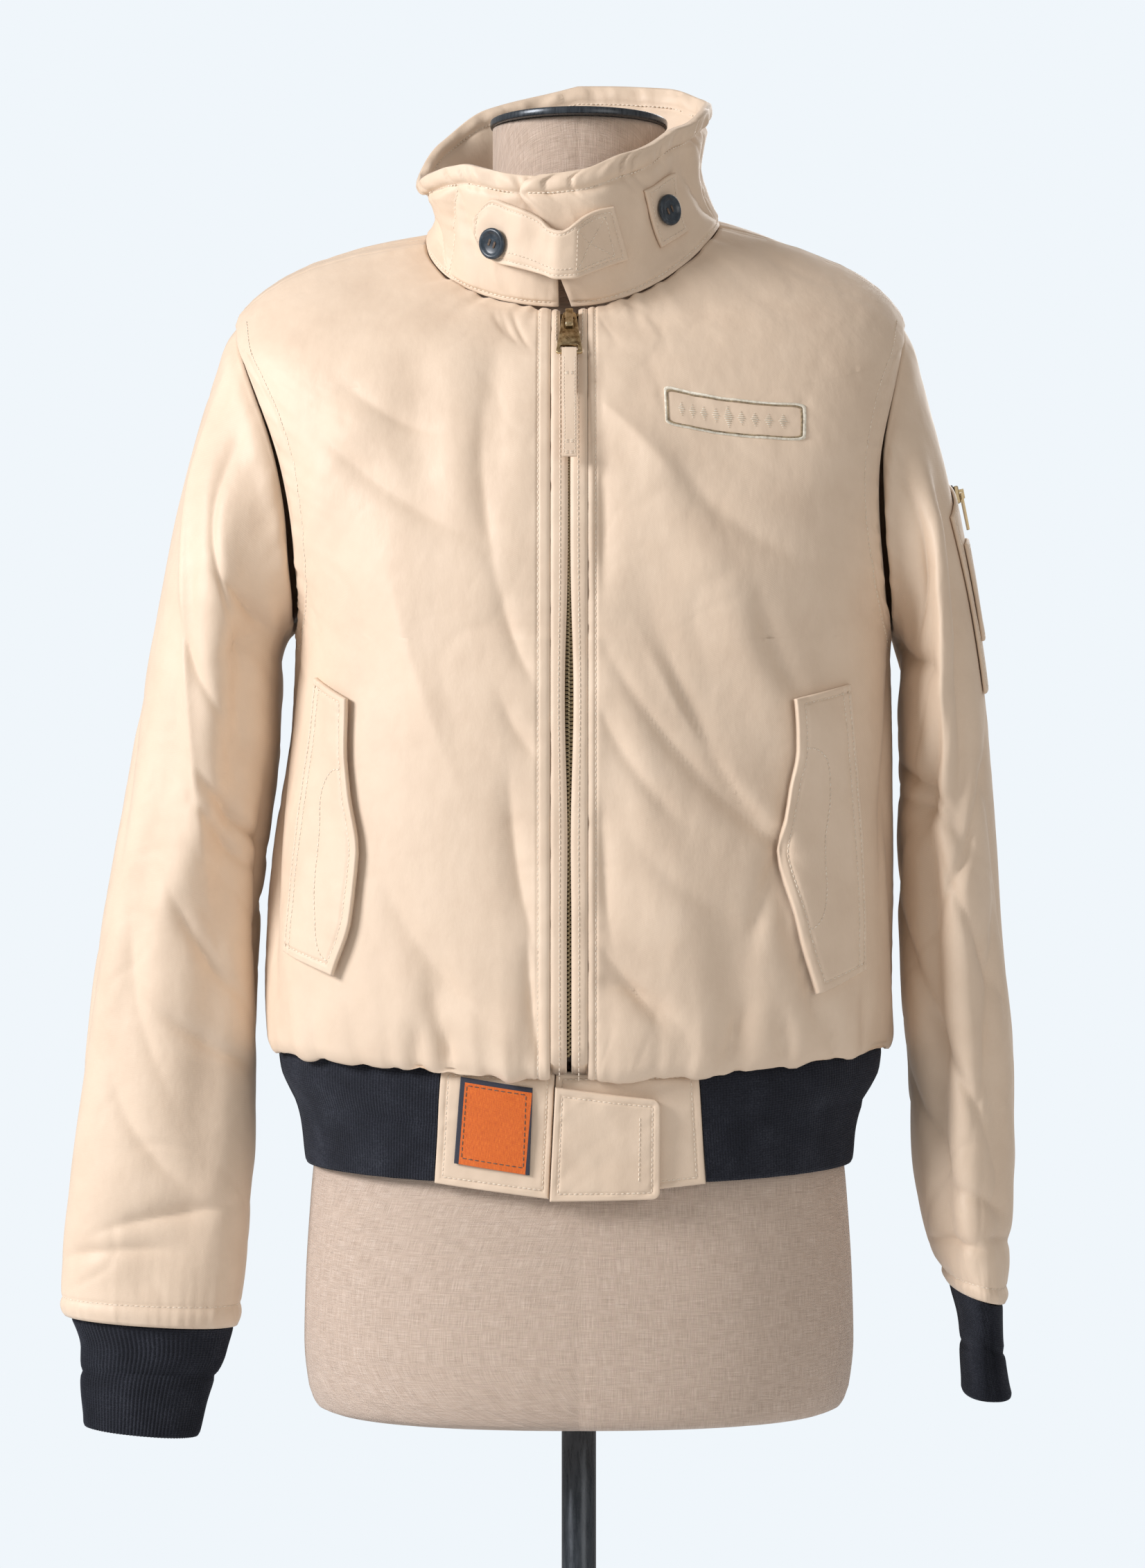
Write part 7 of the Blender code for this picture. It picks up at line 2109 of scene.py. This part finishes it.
def woven_material():
    """Plain orange ribbon with cross ribs and a dark woven border."""
    n = Nodes("orange_ribbon", (0.74, 0.145, 0.009), 0.62)
    cloth = n.places("UV")
    parts = n.add("SeparateXYZ", Vector=cloth)
    across = n.math("ABSOLUTE", n.math("SUBTRACT", parts.outputs["Y"], LABEL_WIDE_MM / 2))
    down = n.math("ABSOLUTE", n.math("SUBTRACT", parts.outputs["X"], LABEL_TALL_MM / 2))
    side = n.math("GREATER_THAN", across, LABEL_WIDE_MM / 2 - LABEL_BORDER_MM)
    end = n.math("GREATER_THAN", down, LABEL_TALL_MM / 2 - LABEL_BORDER_MM)
    border = n.math("MAXIMUM", side, end)
    tone = n.ramp(n.noise(n.stretched(cloth, (0.3, 2.0, 1.0)), 1.0, 3.0),
                  ((0.3, (0.60, 0.10, 0.006)), (0.55, (0.74, 0.145, 0.009)), (0.75, (0.84, 0.20, 0.018))))
    mix = n.add("MixRGB", Fac=border, Color1=tone)
    mix.inputs["Color2"].default_value = (0.022, 0.026, 0.045, 1)
    n.link(mix.outputs["Color"], "Base Color")
    ribs = n.wave(cloth, 0.45, 0.4, "X")
    n.link(n.bump(ribs, 0.4, 0.0003), "Normal")
    n.link(0.2, "Sheen Weight")
    return n.material


def tape_material():
    """Dark brown zip tape with a fine herringbone. Above the slider, where the zip stands open, its dark
    colour is also painted shade for the hollow inside.
    """
    n = Nodes("brown_zip_tape_and_painted_shade", (0.030, 0.022, 0.016), 0.85)
    place = n.places()
    tone = n.noise(place, 700.0, 3.0, 0.6)
    n.link(n.ramp(tone, ((0.35, (0.014, 0.010, 0.008)), (0.65, (0.055, 0.042, 0.032)))), "Base Color")
    wave = n.wave(place, 420.0, 0.8, "Z")
    n.link(n.bump(wave, 0.4, 0.0003), "Normal")
    return n.material


def thread_material(name, colour, dark):
    """Twisted sewing thread, with a tone that varies at random."""
    n = Nodes(name, colour, 0.55)
    tone = n.noise(n.places(), 500.0, 2.0)
    n.link(n.ramp(tone, ((0.35, dark), (0.62, colour))), "Base Color")
    n.link(n.bump(n.wave(n.places(), 900.0, 1.0, detail=2.0), 0.3, 0.0001), "Normal")
    n.link(0.3, "Sheen Weight")
    return n.material


# ---------------------------------------------------------------- the pieces
def dress(nodes):
    """Makes every piece in its material and returns the cloth ones by node."""
    satin, knit, linen, steel = satin_material(), knit_material(), linen_material(), steel_material()
    # The zip teeth take the brass at 0.42 of its colour: partly their own darker tone, partly painted shade
    # for the narrow slit between the strips.
    brass, teeth_brass_with_painted_shade = brass_material("aged_brass_metal"), brass_material("dark_brass_teeth_and_painted_shade", 0.42)
    plastic, woven, tape = plastic_material(), woven_material(), tape_material()
    thread = thread_material("sand_thread", (0.88, 0.78, 0.64), (0.70, 0.58, 0.45))
    pale = thread_material("pale_thread", (0.86, 0.82, 0.70), (0.66, 0.60, 0.48))
    ochre = thread_material("ochre_thread", (0.40, 0.30, 0.17), (0.22, 0.16, 0.09))
    brown = thread_material("brown_thread", (0.16, 0.10, 0.06), (0.07, 0.045, 0.03))
    panels = body_panels(satin)
    for side in ("right", "left"):
        panels[f"sleeve_{side}"] = sleeve_piece(side, satin)
        panels[f"cuff_{side}"] = cuff_piece(side, knit)
        panels[f"pocket_flap_{side}"] = flap_piece(side, satin)
    panels["collar"] = collar_piece(satin)
    panels["throat_latch"], panels["button_patch"] = collar_trim_pieces(satin, thread)
    panels.update(waist_pieces(satin, knit, woven, thread, brown))
    panels.update(zip_pieces(satin, teeth_brass_with_painted_shade, thread))
    panels["pull"], panels["pull_strap"] = pull_pieces(brass, satin, thread)
    slider_piece(brass)
    panels.update(sleeve_pocket_pieces(satin, brass, tape, thread))
    badge_pieces(pale, ochre)
    button_piece("throat", "button_latch", latch, 1.75, 0.30, LATCH_WALL + 0.7, plastic, brown)
    button_piece("spare", "button_spare", patch, 0.5, 0.5, PATCH_SEAT + PATCH_WALL + 1.1, plastic, brown)
    form_piece(linen, steel)
    stand_pieces(steel)
    long_stitches(thread)
    # Above the slider the zip tape's dark colour is painted shade for the open zip's hollow; below it, it is
    # the tape's own colour.
    for name, material in (("zip_tape", tape), ("sleeve_zip_slider", brass), ("sleeve_zip_pull", brass)):
        for slot in nodes[name].material_slots:
            slot.material = material
    return panels


# ---------------------------------------------------------------- camera, light and floor
LENS, SENSOR = 85.0, 36.0
CAMERA_AT = (-0.004, -2.323, 1.1059)
FLOOR_RADIUS = 2.4
BACKGROUND = (0.871, 0.922, 0.965)
WORLD_COLOUR, WORLD_STRENGTH = (0.98, 0.93, 0.90), 0.36
# Each light's place and what it is aimed at in metres, its size, its power in watts and its colour.
LIGHTS = (
    ("key", (-2.4, -1.3, 2.3), (0.0, 0.0, 1.15), 1.1, 90.0, (0.985, 0.975, 1.0)),
    ("fill", (1.6, -2.4, 1.5), (0.0, 0.0, 1.1), 1.6, 13.0, (1.0, 0.97, 0.94)),
    ("back", (0.9, 2.1, 2.2), (0.0, 0.0, 1.2), 1.5, 30.0, (1.0, 1.0, 1.0)),
)


def area_light(name, place, aim, size, power, colour):
    data = bpy.data.lights.new(name, "AREA")
    data.shape, data.size, data.energy, data.color = "DISK", size, power, colour
    item = linked(name, data)
    item.location = place
    item.rotation_euler = (Vector(aim) - Vector(place)).to_track_quat("-Z", "Y").to_euler()


def set_stage():
    scene = bpy.context.scene
    camera = linked("camera", bpy.data.cameras.new("camera"))
    camera.data.lens, camera.data.sensor_width = LENS, SENSOR
    camera.location = CAMERA_AT
    camera.rotation_euler = (math.pi / 2, 0, 0)
    scene.camera = camera
    for light in LIGHTS:
        area_light(*light)
    world = bpy.data.worlds.new("studio")
    world.use_nodes = True
    tree = world.node_tree
    light = tree.nodes["Background"]
    light.inputs["Color"].default_value = (*WORLD_COLOUR, 1)
    light.inputs["Strength"].default_value = WORLD_STRENGTH
    seen = tree.nodes.new("ShaderNodeBackground")
    seen.inputs["Color"].default_value = (*BACKGROUND, 1)
    mix = tree.nodes.new("ShaderNodeMixShader")
    rays = tree.nodes.new("ShaderNodeLightPath")
    tree.links.new(rays.outputs["Is Camera Ray"], mix.inputs["Fac"])
    tree.links.new(light.outputs["Background"], mix.inputs[1])
    tree.links.new(seen.outputs["Background"], mix.inputs[2])
    tree.links.new(mix.outputs["Shader"], tree.nodes["World Output"].inputs["Surface"])
    scene.world = world
    scene.view_settings.view_transform = "Standard"
    scene.view_settings.look = "None"
    mesh = bpy.data.meshes.new("floor")
    angles = np.linspace(0, 2 * math.pi, 128, endpoint=False)
    ring = [(FLOOR_RADIUS * math.cos(a), FLOOR_RADIUS * math.sin(a), -0.0005) for a in angles]
    mesh.from_pydata(ring, [], [list(range(128))])
    floor = linked("floor", mesh)
    paint = Nodes("pale_floor", (0.80, 0.82, 0.84), 0.7)
    tone = paint.noise(paint.places(), 3.0, 2.0)
    paint.link(paint.ramp(tone, ((0.3, (0.78, 0.80, 0.82)), (0.7, (0.82, 0.84, 0.86)))), "Base Color")
    mesh.materials.append(paint.material)
    floor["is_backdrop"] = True


made_pieces = dress(frame["nodes"])
set_stage()
boxes = {"cad": CAD_BOX, "visual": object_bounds()}
{name: [[float(v) for v in corner] for corner in box] for name, box in boxes.items()}
